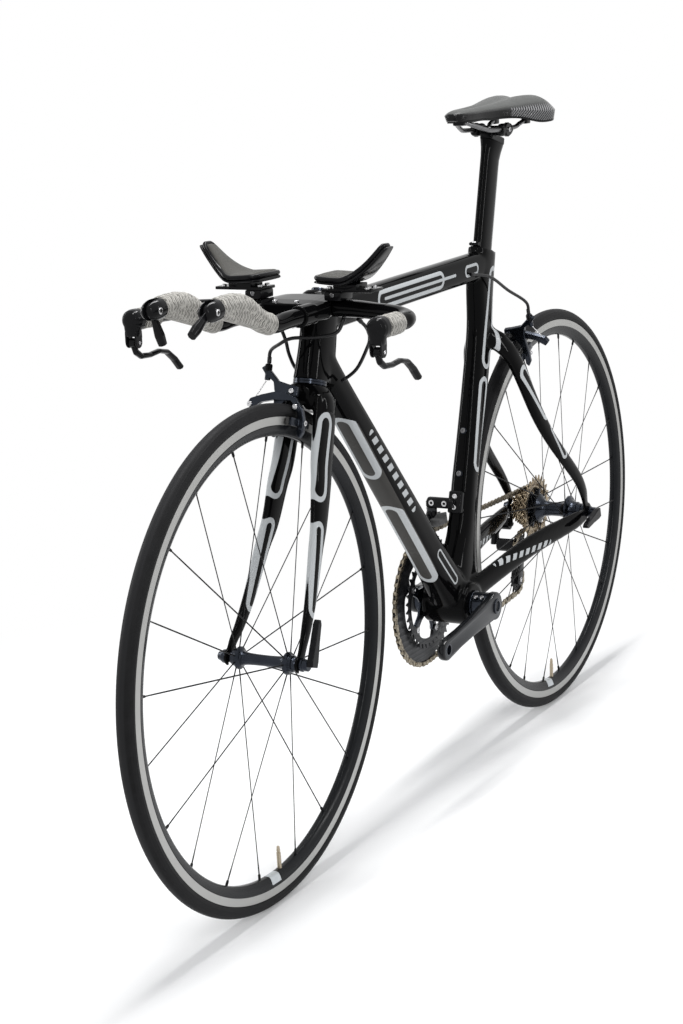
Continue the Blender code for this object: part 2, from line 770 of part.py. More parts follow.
def rim(name, centre, valve_angle):
    half = RIM_WIDTH / 2
    lip = half - RIM_WALL
    well = RIM_EDGE_RADIUS - 0.008
    bed = 0.0040
    profile = [
        (half, RIM_EDGE_RADIUS),
        (lip, RIM_EDGE_RADIUS),
        (lip - 0.0018, well),
        (-lip + 0.0018, well),
        (-lip, RIM_EDGE_RADIUS),
        (-half, RIM_EDGE_RADIUS),
        (-half, RIM_EDGE_RADIUS - BRAKE_TRACK),
        (-bed, RIM_INNER),
        (bed, RIM_INNER),
        (half, RIM_EDGE_RADIUS - BRAKE_TRACK),
    ]
    hoop = turned(profile, centre, LEFT, WHEEL_SIDES)
    inward = around(Vector(), 1, valve_angle)
    valve_foot = centre + inward * (RIM_INNER + 0.004)
    valve = turned(
        [(0, 0), (0, 0.0031), (VALVE_LENGTH - 0.014, 0.0028), (VALVE_LENGTH, 0.0015), (VALVE_LENGTH, 0)],
        valve_foot,
        -inward,
        6,
        closed=False,
    )
    piece(name, combined(hoop, [valve]), "satin_black", centre)


def tyre(name, centre):
    half = TYRE_WIDTH / 2
    lip = RIM_WIDTH / 2 - RIM_WALL - SEAT_GAP - 0.0001
    middle = WHEEL_RADIUS - half
    foot = RIM_EDGE_RADIUS + SEAT_GAP
    arc = [(half * math.cos(a), middle + half * math.sin(a)) for a in (0.0, 0.75, math.pi / 2)]
    left = [(lip - 0.0018, RIM_EDGE_RADIUS - 0.008 + SEAT_GAP), (lip, foot), *arc]
    right = [(-along, radius) for along, radius in reversed(left[:-1])]
    piece(name, turned([*left, *right], centre, LEFT, WHEEL_SIDES), "tyre", centre)


def spoke(centre, angle, start_radius, start_angle, start_left, end_left):
    start = around(centre, start_radius, start_angle, start_left)
    end = around(centre, RIM_INNER * math.cos(math.pi / WHEEL_SIDES) - SEAT_GAP, angle, end_left)
    return rod(start, end, SPOKE_RADIUS, 4)


def hub_shell(centre, profile):
    return turned(profile, centre, LEFT, 12)


def front_hub():
    bore = AXLE_RADIUS + RUN_GAP
    end = FRONT_HUB_WIDTH / 2 - SEAT_GAP
    f = FRONT_FLANGE
    profile = [
        (-end, bore),
        (-end, 0.0080),
        (-f - 0.0060, 0.0105),
        (-f - 0.0018, 0.0190),
        (-f + 0.0018, 0.0190),
        (-f + 0.0070, 0.0100),
        (f - 0.0070, 0.0100),
        (f - 0.0018, 0.0190),
        (f + 0.0018, 0.0190),
        (f + 0.0060, 0.0105),
        (end, 0.0080),
        (end, bore),
    ]
    shell = hub_shell(FRONT_AXLE, profile)
    spokes = []
    for k in range(FRONT_SPOKES):
        side = 1 if k % 2 == 0 else -1
        angle = FRONT_SPOKE_START + 2 * math.pi * k / FRONT_SPOKES
        spokes.append(spoke(FRONT_AXLE, angle, 0.0150, angle, side * f, side * 0.0015))
    piece("front_hub", combined(shell, [joined(spokes)]), "satin_black", FRONT_AXLE)


def rear_hub():
    bore = AXLE_RADIUS + RUN_GAP
    end = REAR_HUB_WIDTH / 2 - SEAT_GAP
    left, right = REAR_FLANGE_LEFT, REAR_FLANGE_RIGHT
    profile = [
        (right - 0.0035, bore),
        (right - 0.0035, 0.0150),
        (right - 0.0018, 0.0240),
        (right + 0.0018, 0.0240),
        (right + 0.0100, 0.0120),
        (left - 0.0080, 0.0120),
        (left - 0.0018, 0.0240),
        (left + 0.0018, 0.0240),
        (left + 0.0060, 0.0140),
        (end - 0.0060, 0.0130),
        (end, 0.0090),
        (end, bore),
    ]
    shell = hub_shell(REAR_AXLE, profile)
    spokes = []
    for k in range(REAR_SPOKES):
        flange = left if k % 2 == 0 else right
        lean = 1 if k % 4 < 2 else -1
        angle = REAR_SPOKE_START + 2 * math.pi * k / REAR_SPOKES
        side = 1 if k % 2 == 0 else -1
        start = angle + lean * REAR_SPOKE_CROSS
        spokes.append(spoke(REAR_AXLE, angle, 0.0205, start, flange + lean * 0.0014, side * 0.0015))
    piece("rear_hub", combined(shell, spokes), "satin_black", REAR_AXLE)


def axle(name, centre, hub_width, grip):
    """An axle with its skewer nut on the right and the skewer's cam end on the left."""
    reach = hub_width / 2 + grip + SEAT_GAP
    profile = [
        (-reach - 0.0130, 0),
        (-reach - 0.0130, 0.0060),
        (-reach - 0.0110, 0.0095),
        (-reach - SEAT_GAP, 0.0095),
        (-reach - SEAT_GAP, AXLE_RADIUS),
        (reach + SEAT_GAP, AXLE_RADIUS),
        (reach + SEAT_GAP, 0.0090),
        (reach + 0.0120, 0.0090),
        (reach + 0.0120, 0),
    ]
    piece(name, turned(profile, centre, LEFT, 12, closed=False), "anodised_black")


def skewer_lever(name, centre, hub_width, grip, direction):
    """The quick-release lever, a paddle that swings out about its cam beside the dropout."""
    thickness = 0.0085
    pivot = centre + LEFT * (hub_width / 2 + grip + 3 * SEAT_GAP + 0.0120 + thickness / 2)
    side = direction.cross(LEFT).normalized()
    shape = [(-0.0022, -0.0075), (0.0060, -0.0085), (0.0300, -0.0100), (0.0540, -0.0085), (0.0600, -0.0030)]
    shape += [(along, -across) for along, across in reversed(shape)]
    piece(name, plate([shape], thickness, pivot, direction, side), "satin_black", pivot)


# Drivetrain


def pitch_radius(teeth):
    return PITCH / (2 * math.sin(math.pi / teeth))


def toothed_outline(teeth, phase):
    """Pointed teeth that stand between rollers seated at the phase angle."""
    radius = pitch_radius(teeth)
    root = radius - CHAIN_HALF_HEIGHT - SEAT_GAP
    tip = radius + 0.0030
    step = 2 * math.pi / teeth
    half_root = 0.5 - (PIN_HALF_LENGTH + 0.0005) / PITCH
    outline = []
    for k in range(teeth):
        middle = phase + (k + 0.5) * step
        for reach, turn in ((root, -half_root), (tip, 0.0), (root, half_root)):
            outline.append((reach * math.cos(middle + turn * step), reach * math.sin(middle + turn * step)))
    return outline


def simple_teeth(teeth, phase):
    """Pointed teeth with two corners each, for sprockets that carry no chain at rest."""
    radius = pitch_radius(teeth)
    step = 2 * math.pi / teeth
    outline = []
    for k in range(teeth):
        gap = phase + k * step
        root = radius - CHAIN_HALF_HEIGHT - SEAT_GAP
        outline.append((root * math.cos(gap), root * math.sin(gap)))
        tip, crest = radius + 0.0030, gap + step / 2
        outline.append((tip * math.cos(crest), tip * math.sin(crest)))
    return outline


def cog_y(index):
    return SMALLEST_COG_Y + COG_PITCH * index


class Wrap:
    """A sprocket that the chain runs over: its centre, teeth, turning sense and side."""

    def __init__(self, centre, teeth, sense, left):
        self.x, self.z = centre
        self.teeth = teeth
        self.radius = pitch_radius(teeth)
        self.sense = sense
        self.left = left


def chain_wraps(cage_angle):
    """The chain's sprockets in running order, with the tension pulley swung by the cage's angle."""
    guide_x, guide_z = REAR_AXLE.x + 0.0340, REAR_AXLE.z - 0.0600
    tension = (guide_x + CAGE_LENGTH * math.cos(cage_angle), guide_z + CAGE_LENGTH * math.sin(cage_angle))
    rear_y = cog_y(DRIVEN_COG)
    return [
        Wrap((BRACKET.x, BRACKET.z), RING_TEETH, -1, RING_Y),
        Wrap(tension, JOCKEY_TEETH, -1, rear_y),
        Wrap((guide_x, guide_z), JOCKEY_TEETH, 1, rear_y),
        Wrap((REAR_AXLE.x, REAR_AXLE.z), COGS[DRIVEN_COG], -1, rear_y),
    ]


def tangent_points(a, b):
    """Where the belt line leaves one sprocket and meets the next; a sense of -1 runs clockwise."""
    dx, dz = b.x - a.x, b.z - a.z
    offset = math.asin((a.sense * a.radius - b.sense * b.radius) / math.hypot(dx, dz))
    normal = math.atan2(dz, dx) - math.pi / 2 + offset
    leave = normal if a.sense > 0 else normal + math.pi
    meet = normal if b.sense > 0 else normal + math.pi
    return leave, meet


def chain_route(cage_angle):
    """The chain's path as arcs and straight runs, measured in links."""
    wraps = chain_wraps(cage_angle)
    lines = [tangent_points(a, b) for a, b in zip(wraps, wraps[1:] + wraps[:1])]
    route = []
    total = 0.0
    for i, wrap in enumerate(wraps):
        enter = lines[i - 1][1]
        leave = lines[i][0]
        sweep = (leave - enter) * wrap.sense % (2 * math.pi)
        links = sweep * wrap.teeth / (2 * math.pi)
        route.append(("arc", wrap, enter, total, links))
        total += links
        after = wraps[(i + 1) % len(wraps)]
        start = (wrap.x + wrap.radius * math.cos(leave), wrap.left, wrap.z + wrap.radius * math.sin(leave))
        meet = lines[i][1]
        end = (after.x + after.radius * math.cos(meet), after.left, after.z + after.radius * math.sin(meet))
        links = math.hypot(end[0] - start[0], end[2] - start[2]) / PITCH
        route.append(("run", (Vector(start), Vector(end)), 0.0, total, links))
        total += links
    return route, total


def solved_cage():
    """Swing the cage until the chain holds a whole, even number of links."""
    count = 2 * round(chain_route(CHAIN_CAGE_ANGLE)[1] / 2)
    low, high = CHAIN_CAGE_ANGLE - 0.9, CHAIN_CAGE_ANGLE + 0.9
    samples = [low + (high - low) * i / 60 for i in range(61)]
    best = min(samples, key=lambda a: abs(chain_route(a)[1] - count))
    step = (high - low) / 60
    for _ in range(40):
        best = min((best - step, best, best + step), key=lambda a: abs(chain_route(a)[1] - count))
        step /= 1.7
    return best, count


CAGE_ANGLE, LINK_COUNT = solved_cage()
ROUTE = chain_route(CAGE_ANGLE)[0]
TENSION_WHEEL, GUIDE_WHEEL = chain_wraps(CAGE_ANGLE)[1:3]


def chain_point(link):
    """A pin's place and the chain's outward direction there, for a distance in links."""
    link %= LINK_COUNT
    for kind, shape, enter, start, links in ROUTE:
        if link <= start + links or shape is ROUTE[-1][1]:
            share = link - start
            if kind == "arc":
                angle = enter + shape.sense * share * 2 * math.pi / shape.teeth
                out = Vector((math.cos(angle), 0, math.sin(angle)))
                point = Vector((shape.x, shape.left, shape.z)) + out * shape.radius
                return point, out * -shape.sense
            first, last = shape
            along = last - first
            along.y = 0
            t = share / links
            point = first.lerp(last, t)
            point.y = first.y + (last.y - first.y) * t * t * (3 - 2 * t)
            return point, along.normalized().cross(LEFT)
    raise ValueError("no place on the chain")


def wrap_phase(teeth, x):
    """The angle at which a roller sits on the sprocket with these teeth near this place."""
    for kind, shape, enter, start, _links in ROUTE:
        if kind == "arc" and shape.teeth == teeth and abs(shape.x - x) < WELD:
            return enter + shape.sense * (math.ceil(start) - start) * 2 * math.pi / teeth
    return 0.0


def chain():
    """Side plates as two stepped bands, joined at every pin by a roller that seats between the teeth."""
    half_pin = PIN_HALF_LENGTH / PITCH
    bm = bmesh.new()
    bands = {1: [], -1: []}
    for link in range(LINK_COUNT):
        inner_face, outer_face = (0.00200, 0.00290) if link % 2 == 0 else (0.00125, 0.00205)
        for shift in (half_pin, 1 - half_pin):
            point, out = chain_point(link + shift)
            for side in (1, -1):
                band = [
                    point + LEFT * side * inner_face + out * CHAIN_HALF_HEIGHT,
                    point + LEFT * side * outer_face + out * CHAIN_HALF_HEIGHT,
                    point + LEFT * side * outer_face - out * CHAIN_HALF_HEIGHT,
                    point + LEFT * side * inner_face - out * CHAIN_HALF_HEIGHT,
                ]
                bands[side].append([bm.verts.new(corner) for corner in band])
    count = 2 * LINK_COUNT
    for side in (1, -1):
        rows = bands[side]
        for i in range(count):
            first, second = rows[i], rows[(i + 1) % count]
            for k in range(3 if i % 2 == 1 else 4):
                m = (k + 1) % 4
                bm.faces.new((first[k], first[m], second[m], second[k]))
    for i in range(1, count, 2):
        j = (i + 1) % count
        a, b = bands[1][i], bands[1][j]
        c, d = bands[-1][i], bands[-1][j]
        bm.faces.new((a[0], b[0], d[0], c[0]))
        bm.faces.new((a[3], b[3], d[3], c[3]))
        bm.faces.new((a[0], a[3], c[3], c[0]))
        bm.faces.new((b[0], b[3], d[3], d[0]))
    piece("chain", solid_from(bm), "chain_metal")


def chainrings():
    phase = wrap_phase(RING_TEETH, BRACKET.x)
    inner = []
    for k in range(30):
        angle = 2 * math.pi * k / 30
        lobe = max(0.0, math.cos(5 * (angle - CRANK_ANGLE - math.pi))) ** 3
        radius = 0.0640 - 0.0140 * lobe
        inner.append((radius * math.cos(angle), radius * math.sin(angle)))
    large = plate([toothed_outline(RING_TEETH, phase), inner], TOOTH_THICKNESS, BRACKET + LEFT * RING_Y)
    piece("chainring_large", large, "anodised_black", BRACKET)
    outlines = [simple_teeth(SMALL_RING_TEETH, 0.0), circle(0.0500, 20)]
    small = plate(outlines, TOOTH_THICKNESS, BRACKET + LEFT * SMALL_RING_Y)
    piece("chainring_small", small, "anodised_black", BRACKET)


def crank_outline(length, hub, end):
    """A crank arm from its hub to its pedal end, in the direction of its length."""
    round_hub = [math.radians(d) for d in (50, 90, 130, 180, 230, 270, 310)]
    round_tip = [math.radians(d) for d in (-80, -40, 0, 40, 80)]
    points = [(hub * math.cos(a), hub * math.sin(a)) for a in round_hub]
    tip = [(length + end * math.cos(a), end * math.sin(a)) for a in round_tip]
    return [*points, *tip]


def crank_arm(side):
    """One crank arm; the right one carries the spindle and the chainrings' spider."""
    direction = Vector((math.cos(CRANK_ANGLE), 0, math.sin(CRANK_ANGLE))) * side
    up = direction.cross(LEFT)
    if up.z < 0:
        up = -up
    along = ARM_Y if side > 0 else RIGHT_ARM_Y
    centre = BRACKET + LEFT * side * along
    holes = [circle(0.0074, 12, (CRANK_LENGTH, 0.0))]
    bore = SPINDLE_RADIUS + SEAT_GAP + 0.0002
    if side > 0:
        holes.append(circle(bore, 16))
    arm = plate([crank_outline(CRANK_LENGTH, 0.0215, 0.0165), *holes], ARM_THICKNESS, centre, direction, up)
    inner_face = along - ARM_THICKNESS / 2
    if side > 0:
        boss = sleeve(BRACKET + LEFT * 0.0412, BRACKET + LEFT * (inner_face + 0.001), 0.0190, bore, 16)
        piece("crank_arm_left", combined(arm, [boss]), "gloss_carbon", BRACKET)
        return
    tab_middle = (RING_Y + SMALL_RING_Y) / 2
    tab_thickness = SMALL_RING_Y - RING_Y - TOOTH_THICKNESS - 2 * SEAT_GAP
    star = []
    for k in range(5):
        base = CRANK_ANGLE + math.pi + 2 * math.pi * k / 5
        for radius, turn in SPIDER_ARM:
            star.append((radius * math.cos(base + turn), radius * math.sin(base + turn)))
    spider = plate([star], tab_thickness, BRACKET + LEFT * tab_middle)
    boss_start = BRACKET + LEFT * (tab_middle + tab_thickness / 2 - 0.0001)
    boss = rod(boss_start, BRACKET - LEFT * (inner_face + 0.002), 0.0200, 16)
    spindle_end = BRACKET + LEFT * (ARM_Y + ARM_THICKNESS / 2 - 0.002)
    spindle = rod(BRACKET - LEFT * (inner_face - 0.004), spindle_end, SPINDLE_RADIUS, 16)
    piece("crank_arm_right", combined(arm, [boss, spider, spindle]), "gloss_carbon", BRACKET)


def cassette():
    """Ten sprockets on the freehub's barrel, smallest outside."""
    bore = AXLE_RADIUS + RUN_GAP
    inner_end = REAR_AXLE + LEFT * (REAR_FLANGE_RIGHT - 0.0035 - SEAT_GAP - 0.0002)
    outer_end = REAR_AXLE + LEFT * (SMALLEST_COG_Y - COG_THICKNESS / 2 - 0.0012)
    barrel = rod(outer_end, inner_end, 0.0165, 12)
    cogs = []
    for index, teeth in enumerate(COGS):
        place = REAR_AXLE + LEFT * cog_y(index)
        if index == DRIVEN_COG:
            outline = toothed_outline(teeth, wrap_phase(teeth, REAR_AXLE.x))
        else:
            outline = simple_teeth(teeth, 0.35 * index)
        cogs.append(plate([outline], COG_THICKNESS, place))
    shaft = rod(outer_end - LEFT * 0.010, inner_end + LEFT * 0.010, bore, 12)
    piece("cassette", cut(combined(barrel, [joined(cogs)]), [shaft]), "chain_metal", REAR_AXLE)


def jockey(name, wheel):
    centre = Vector((wheel.x, wheel.left, wheel.z))
    bore = 0.0034 + RUN_GAP
    outline = toothed_outline(JOCKEY_TEETH, wrap_phase(JOCKEY_TEETH, wheel.x))
    body = plate([outline, circle(bore, 10)], 0.0018, centre)
    hub_ring = sleeve(centre - LEFT * 0.0036, centre + LEFT * 0.0036, 0.0085, bore, 10)
    piece(name, combined(body, [hub_ring]), "satin_black", centre)


def rear_derailleur():
    hanger_hole = REAR_AXLE + Vector((0.005, 0, -0.030))
    face = -(REAR_HUB_WIDTH / 2 + DROPOUT + 2 * SEAT_GAP)
    upper = hanger_hole + LEFT * face
    knuckle = rod(upper, upper - LEFT * 0.022, 0.0105, 12)
    arm = swept(
        [
            (upper + Vector((0, -0.0165, 0.002)), 0.0050, 0.0080),
            (upper + Vector((0.020, -0.0165, -0.008)), 0.0050, 0.0075),
        ],
        squareness=2.6,
        count=8,
    )
    piece("rear_derailleur_knuckle", combined(knuckle, [arm]), "anodised_black", upper)
    guide = Vector((GUIDE_WHEEL.x, GUIDE_WHEEL.left, GUIDE_WHEEL.z))
    tension = Vector((TENSION_WHEEL.x, TENSION_WHEEL.left, TENSION_WHEEL.z))
    plate_y = 0.0062
    cage_face = guide.y - plate_y - 0.0008 - SEAT_GAP
    lower = rod(
        Vector((guide.x, cage_face, guide.z)),
        Vector((guide.x, upper.y - 0.010, guide.z)),
        0.0110,
        12,
    )
    link_end = Vector((guide.x, upper.y - 0.0165, guide.z))
    link_start = upper + Vector((0.0270, -0.0165, -0.0115))
    link = swept(
        [
            (link_start, 0.0060, 0.0085),
            (link_start.lerp(link_end, 0.5), 0.0065, 0.0090),
            (link_end, 0.0070, 0.0095),
        ],
        squareness=2.6,
        count=8,
    )
    piece("rear_derailleur_link", combined(lower, [link]), "anodised_black", guide)
    along = (tension - guide).normalized()
    across = along.cross(LEFT)
    length = (tension - guide).length
    outline = [(-0.0105, 0.0), (-0.0060, 0.0100), (0.012, 0.0100), (length * 0.5, 0.0066)]
    outline += [(length - 0.010, 0.0095), (length + 0.0065, 0.0085), (length + 0.0105, 0.0)]
    outline += [(a, -b) for a, b in reversed(outline[1:-1])]
    sides = [
        plate([outline], 0.0016, guide + LEFT * offset, along, across) for offset in (-plate_y, plate_y)
    ]
    pins = [rod(c - LEFT * plate_y, c + LEFT * plate_y, 0.0034, 10) for c in (guide, tension)]
    piece("rear_derailleur_cage", combined(sides[0], [sides[1], *pins]), "anodised_black", guide)


def front_derailleur():
    """A bracket on the seat tube's nose and a cage of two plates either side of the chain."""
    ring_top = Vector((BRACKET.x, RING_Y, BRACKET.z + pitch_radius(RING_TEETH)))
    low, high, rear = 0.0075, 0.0270, -0.075
    outline = [(0.012, low + 0.0005), (0.018, low + 0.012), (0.010, high), (-0.030, high)]
    outline += [(rear, high - 0.006), (rear - 0.004, low - 0.004), (-0.045, low - 0.0035), (-0.020, low)]
    sides = [plate([outline], 0.0014, ring_top + LEFT * offset) for offset in (-0.0052, 0.0052)]
    bridge = block(ring_top + Vector((-0.010, 0, high - 0.0022)), (0.036, 0.0112, 0.0028))
    nose = seat(0.152, 0.0106 + SEAT_GAP)
    lug_top = nose.z - 0.0066
    lug_low = ring_top.z + high - 0.0030
    lug_x = nose.x + 0.0130
    lug = swept(
        [
            (Vector((lug_x, RING_Y + 0.0030, lug_low)), 0.0075, 0.0050),
            (Vector((lug_x, RING_Y + 0.0095, (lug_low + lug_top) / 2)), 0.0080, 0.0075),
            (Vector((lug_x, RING_Y + 0.0095, lug_top - SEAT_GAP - 0.0002)), 0.0080, 0.0080),
        ],
        hint=FORWARD,
        squareness=2.8,
        count=8,
    )
    piece("front_derailleur_cage", combined(sides[0], [sides[1], bridge, lug]), "polished_metal", ring_top)
    bracket = block(nose + SEAT_FORE * 0.0055, (0.0100, 0.0230, 0.0340), SEAT_FORE, SEAT_UP, 0.002)
    arm = block(Vector((lug_x, -0.0250, lug_top + 0.0060)), (0.0170, 0.0380, 0.0120), bevel=0.002)
    web = block(Vector((lug_x - 0.0005, -0.0060, lug_top + 0.0065)), (0.0170, 0.0110, 0.0130), bevel=0.002)
    piece("front_derailleur_clamp", combined(bracket, [arm, web]), "anodised_black")


# Fork


def fork():
    """Steerer, crown and two bladed legs, joined, and cut for the tyre and the axle."""
    crown_top = FORK_LENGTH
    steerer = rod(steer(crown_top - 0.010), steer(HEAD_TOP + STEM_HEIGHT - 0.006), STEERER_RADIUS, 16)
    crown = lofted(
        [
            ring_points(steer(crown_top - 0.034, -0.0010), LEFT, STEER_FORE, 0.0370, 0.0270, 2.8, 12),
            ring_points(steer(crown_top - 0.014, 0.0005), LEFT, STEER_FORE, 0.0340, 0.0280, 2.4, 12),
            ring_points(steer(crown_top, 0.0), LEFT, STEER_FORE, 0.0240, 0.0250, 2.0, 12),
        ]
    )
    legs = []
    for side in (1, -1):
        foot = FRONT_AXLE + LEFT * side * (FRONT_HUB_WIDTH / 2 + DROPOUT / 2 + SEAT_GAP)
        rows = [
            (steer(crown_top - 0.014, 0.000, side * 0.0250), 0.0080, 0.0250),
            (steer(crown_top - 0.055, -0.001, side * 0.0300), 0.0082, 0.0260),
            (steer(0.240, 0.006, side * 0.0345), 0.0075, 0.0255),
            (steer(0.160, 0.014, side * 0.0405), 0.0066, 0.0195),
            (steer(0.085, 0.028, side * 0.0470), 0.0055, 0.0150),
            (foot + STEER_UP * 0.026 - STEER_FORE * 0.003, 0.0038, 0.0120),
            (foot + STEER_UP * 0.0130, DROPOUT / 2, 0.0105),
            (foot - STEER_UP * 0.004, DROPOUT / 2, 0.0100),
        ]
        legs.append(swept(rows, squareness=2.4, count=12))
        legs.append(plate([circle(0.0120, 12)], DROPOUT, foot))
    body = combined(crown, [steerer, *legs])
    groove_half = TYRE_WIDTH / 2 + TYRE_ROOM
    groove = turned(
        [
            (-groove_half, 0),
            (-groove_half, WHEEL_RADIUS - 0.006),
            (-groove_half * 0.5, WHEEL_RADIUS + TYRE_ROOM),
            (groove_half * 0.5, WHEEL_RADIUS + TYRE_ROOM),
            (groove_half, WHEEL_RADIUS - 0.006),
            (groove_half, 0),
        ],
        FRONT_AXLE,
        LEFT,
        44,
        closed=False,
    )
    slots = [
        block(
            FRONT_AXLE + LEFT * side * (FRONT_HUB_WIDTH / 2 + DROPOUT / 2) - UP * 0.012,
            (2 * AXLE_RADIUS + 0.0014, 0.020, 0.024 + 2 * AXLE_RADIUS + 0.0014),
        )
        for side in (1, -1)
    ]
    foot, out, _up, _wheel = calliper(True)
    brake_hole = rod(foot - out * 0.0290, foot + out * 0.020, BRAKE_BOLT + 0.0005, 8)
    piece("fork", cut(body, [groove, joined(slots), brake_hole]), "gloss_carbon", steer(FORK_LENGTH))


# Brakes


def calliper(front):
    """A brake's bolt on the frame or fork, its way out, its way up and the wheel it grips."""
    if front:
        wheel, out, up = FRONT_AXLE, STEER_FORE, STEER_UP
    else:
        up = Vector((math.cos(REAR_BRAKE_ANGLE), 0, math.sin(REAR_BRAKE_ANGLE)))
        wheel, out = REAR_AXLE, LEFT.cross(up)
        out = -out if out.x > 0 else out
    return wheel + up * BRAKE_HEIGHT - out * BRAKE_SETBACK, out, up, wheel


HOOKED_ARM = (
    *((-0.0610, -0.0200), (-0.0565, -0.0125), (-0.0400, -0.0070), (-0.0230, -0.0030), (-0.0050, -0.0030)),
    *((0.0110, -0.0090), (0.0220, -0.0220), (0.0268, -0.0380), (0.0268, -0.0540), (0.0225, -0.0620)),
    *((0.0180, -0.0580), (0.0178, -0.0400), (0.0145, -0.0250), (0.0050, -0.0140), (-0.0190, -0.0130)),
    *((-0.0400, -0.0170), (-0.0550, -0.0265)),
)
BOLT_ARM = (
    *((-0.0490, 0.0290), (-0.0430, 0.0330), (-0.0360, 0.0270), (-0.0220, 0.0130), (-0.0040, 0.0085)),
    *((0.0075, 0.0065), (0.0085, -0.0060), (0.0000, -0.0120), (-0.0090, -0.0135), (-0.0160, -0.0230)),
    *((-0.0178, -0.0400), (-0.0180, -0.0580), (-0.0225, -0.0620), (-0.0268, -0.0540), (-0.0270, -0.0380)),
    *((-0.0255, -0.0180), (-0.0260, -0.0020), (-0.0290, 0.0110), (-0.0430, 0.0215)),
)


def brake_arm(front, hooked):
    """One calliper arm: the hooked one crosses the tyre, the other is on the bolt and holds the cable."""
    foot, out, up, wheel = calliper(front)
    away = LEFT if front else -LEFT
    if hooked:
        outline, layer, thickness = HOOKED_ARM, 0.0206, 0.0080
    else:
        outline, layer, thickness = BOLT_ARM, 0.0128, 0.0070
    centre = foot + out * layer
    arm = plate([outline], thickness, centre, away, up)
    reach = RIM_EDGE_RADIUS - BRAKE_TRACK / 2 - 0.0005
    sign = 1 if hooked else -1
    pad_centre = wheel + up * math.sqrt(reach**2 - 0.006**2) + out * 0.006
    pad_centre += away * sign * (RIM_WIDTH / 2 + PAD_GAP + 0.0040)
    tangent = (wheel - pad_centre).cross(away)
    tangent = (tangent - away * tangent.dot(away)).normalized()
    pad = block(pad_centre, (0.040, 0.0080, 0.0085), tangent, away.cross(tangent), 0.0012)
    stud_end = pad_centre + away * sign * 0.0100
    stud = rod(pad_centre, stud_end, 0.0046, 8)
    bridge_start = stud_end - away * sign * 0.0035
    bridge = rod(bridge_start, bridge_start + out * (layer - 0.0185), 0.0030, 6)
    arm = combined(arm, [pad, stud, bridge])
    pivot = foot
    if not hooked:
        bolt = rod(foot - out * 0.0240, foot + out * 0.0150, BRAKE_BOLT, 8)
        barrel = rod(centre - away * 0.0400 + up * 0.0130, centre - away * 0.0400 + up * 0.0350, 0.0042, 8)
        arm = combined(arm, [bolt, barrel])
    hand = hand_of(away.y * sign)
    where = "front" if front else "rear"
    if hooked:
        pivot = foot + away * 0.0143 - up * 0.0220
        arm = combined(arm, [rod(pivot + out * layer, pivot + out * (layer + 0.0075), 0.0058, 10)])
    piece(f"{where}_brake_arm_{hand}", arm, "anodised_black", pivot)


# Cockpit


def stem():
    """A faceted stem from the steerer's clamp to the bar, with two noses that hold the extensions."""
    top = HEAD_TOP + STEM_HEIGHT
    collar = lofted(
        [
            ring_points(steer(HEAD_TOP + 2 * SEAT_GAP), LEFT, STEER_FORE, 0.0205, 0.0262, 2.2, 12),
            ring_points(steer(top - 0.004, 0.0), LEFT, STEER_FORE, 0.0200, 0.0255, 2.2, 12),
            ring_points(steer(top, 0.0), LEFT, STEER_FORE, 0.0160, 0.0210, 2.2, 12),
        ]
    )
    cap = rod(steer(top - 0.002), steer(top + 0.0060), 0.0115, 10)
    fairing = lofted(
        [
            ring_points(cockpit(x, 0, rise), LEFT, UP, wide, high, 4.0, 12)
            for x, wide, high, rise in (
                (0.006, 0.0180, 0.0100, 0.0145),
                (0.030, 0.0460, 0.0145, 0.0120),
                (0.070, 0.0580, 0.0140, 0.0105),
                (0.096, 0.0540, 0.0125, 0.0095),
            )
        ]
    )
    noses = [
        rod(
            cockpit(0.090, side * EXTENSION_Y, EXTENSION_RISE),
            cockpit(0.1250, side * EXTENSION_Y, EXTENSION_RISE),
            0.0142,
            12,
        )
        for side in (1, -1)
    ]
    body = combined(collar, [cap, fairing, *noses])
    head_room = rod(steer(HEAD_TOP - 0.050), steer(HEAD_TOP + 2 * SEAT_GAP), STEM_RADIUS + 0.0012, 20)
    t, c = BAR_THICKNESS / 2 + SEAT_GAP, BAR_CHORD / 2 + SEAT_GAP
    bar_room = lofted([bar_ring(cockpit(BAR_FORWARD, y, BAR_RISE), t, c) for y in (-0.075, 0.075)])
    rooms = [
        rod(
            cockpit(0.0690, side * EXTENSION_Y, EXTENSION_RISE),
            cockpit(0.1400, side * EXTENSION_Y, EXTENSION_RISE),
            EXTENSION_RADIUS + SEAT_GAP + 0.0002,
            12,
        )
        for side in (1, -1)
    ]
    steerer_room = rod(steer(HEAD_TOP - 0.010), steer(top - 0.0056), STEERER_RADIUS + SEAT_GAP + 0.0002, 16)
    body = cut(body, [bar_room, steerer_room, head_room, joined(rooms)])
    piece("stem", body, "gloss_carbon", steer(FORK_LENGTH))


def bar_ring(centre, half_thick, half_chord):
    return ring_points(centre, UP, FORWARD, half_thick, half_chord, 2.0, 12)


def bar_path():
    """The left half of the base bar: a wing, an elbow and a horn, as (point, half height, half depth)."""
    t, c = BAR_THICKNESS / 2, BAR_CHORD / 2
    return [
        (cockpit(BAR_FORWARD, 0.0, BAR_RISE), t, c),
        (cockpit(BAR_FORWARD, 0.074, BAR_RISE), t, c),
        (cockpit(BAR_FORWARD + 0.010, 0.115, BAR_RISE - 0.001), t * 0.96, c * 0.92),
        (cockpit(BAR_FORWARD + 0.022, 0.148, BAR_RISE - 0.002), t, c * 0.80),
        (cockpit(BAR_FORWARD + 0.034, 0.168, HORN_RISE + 0.001), t, t * 1.25),
        (cockpit(BAR_FORWARD + 0.052, HORN_Y, HORN_RISE), t, t * 1.04),
        (cockpit(BAR_FORWARD + 0.070, HORN_Y, HORN_RISE), t, t),
        (cockpit(HORN_FORWARD, HORN_Y, HORN_RISE), t, t),
    ]


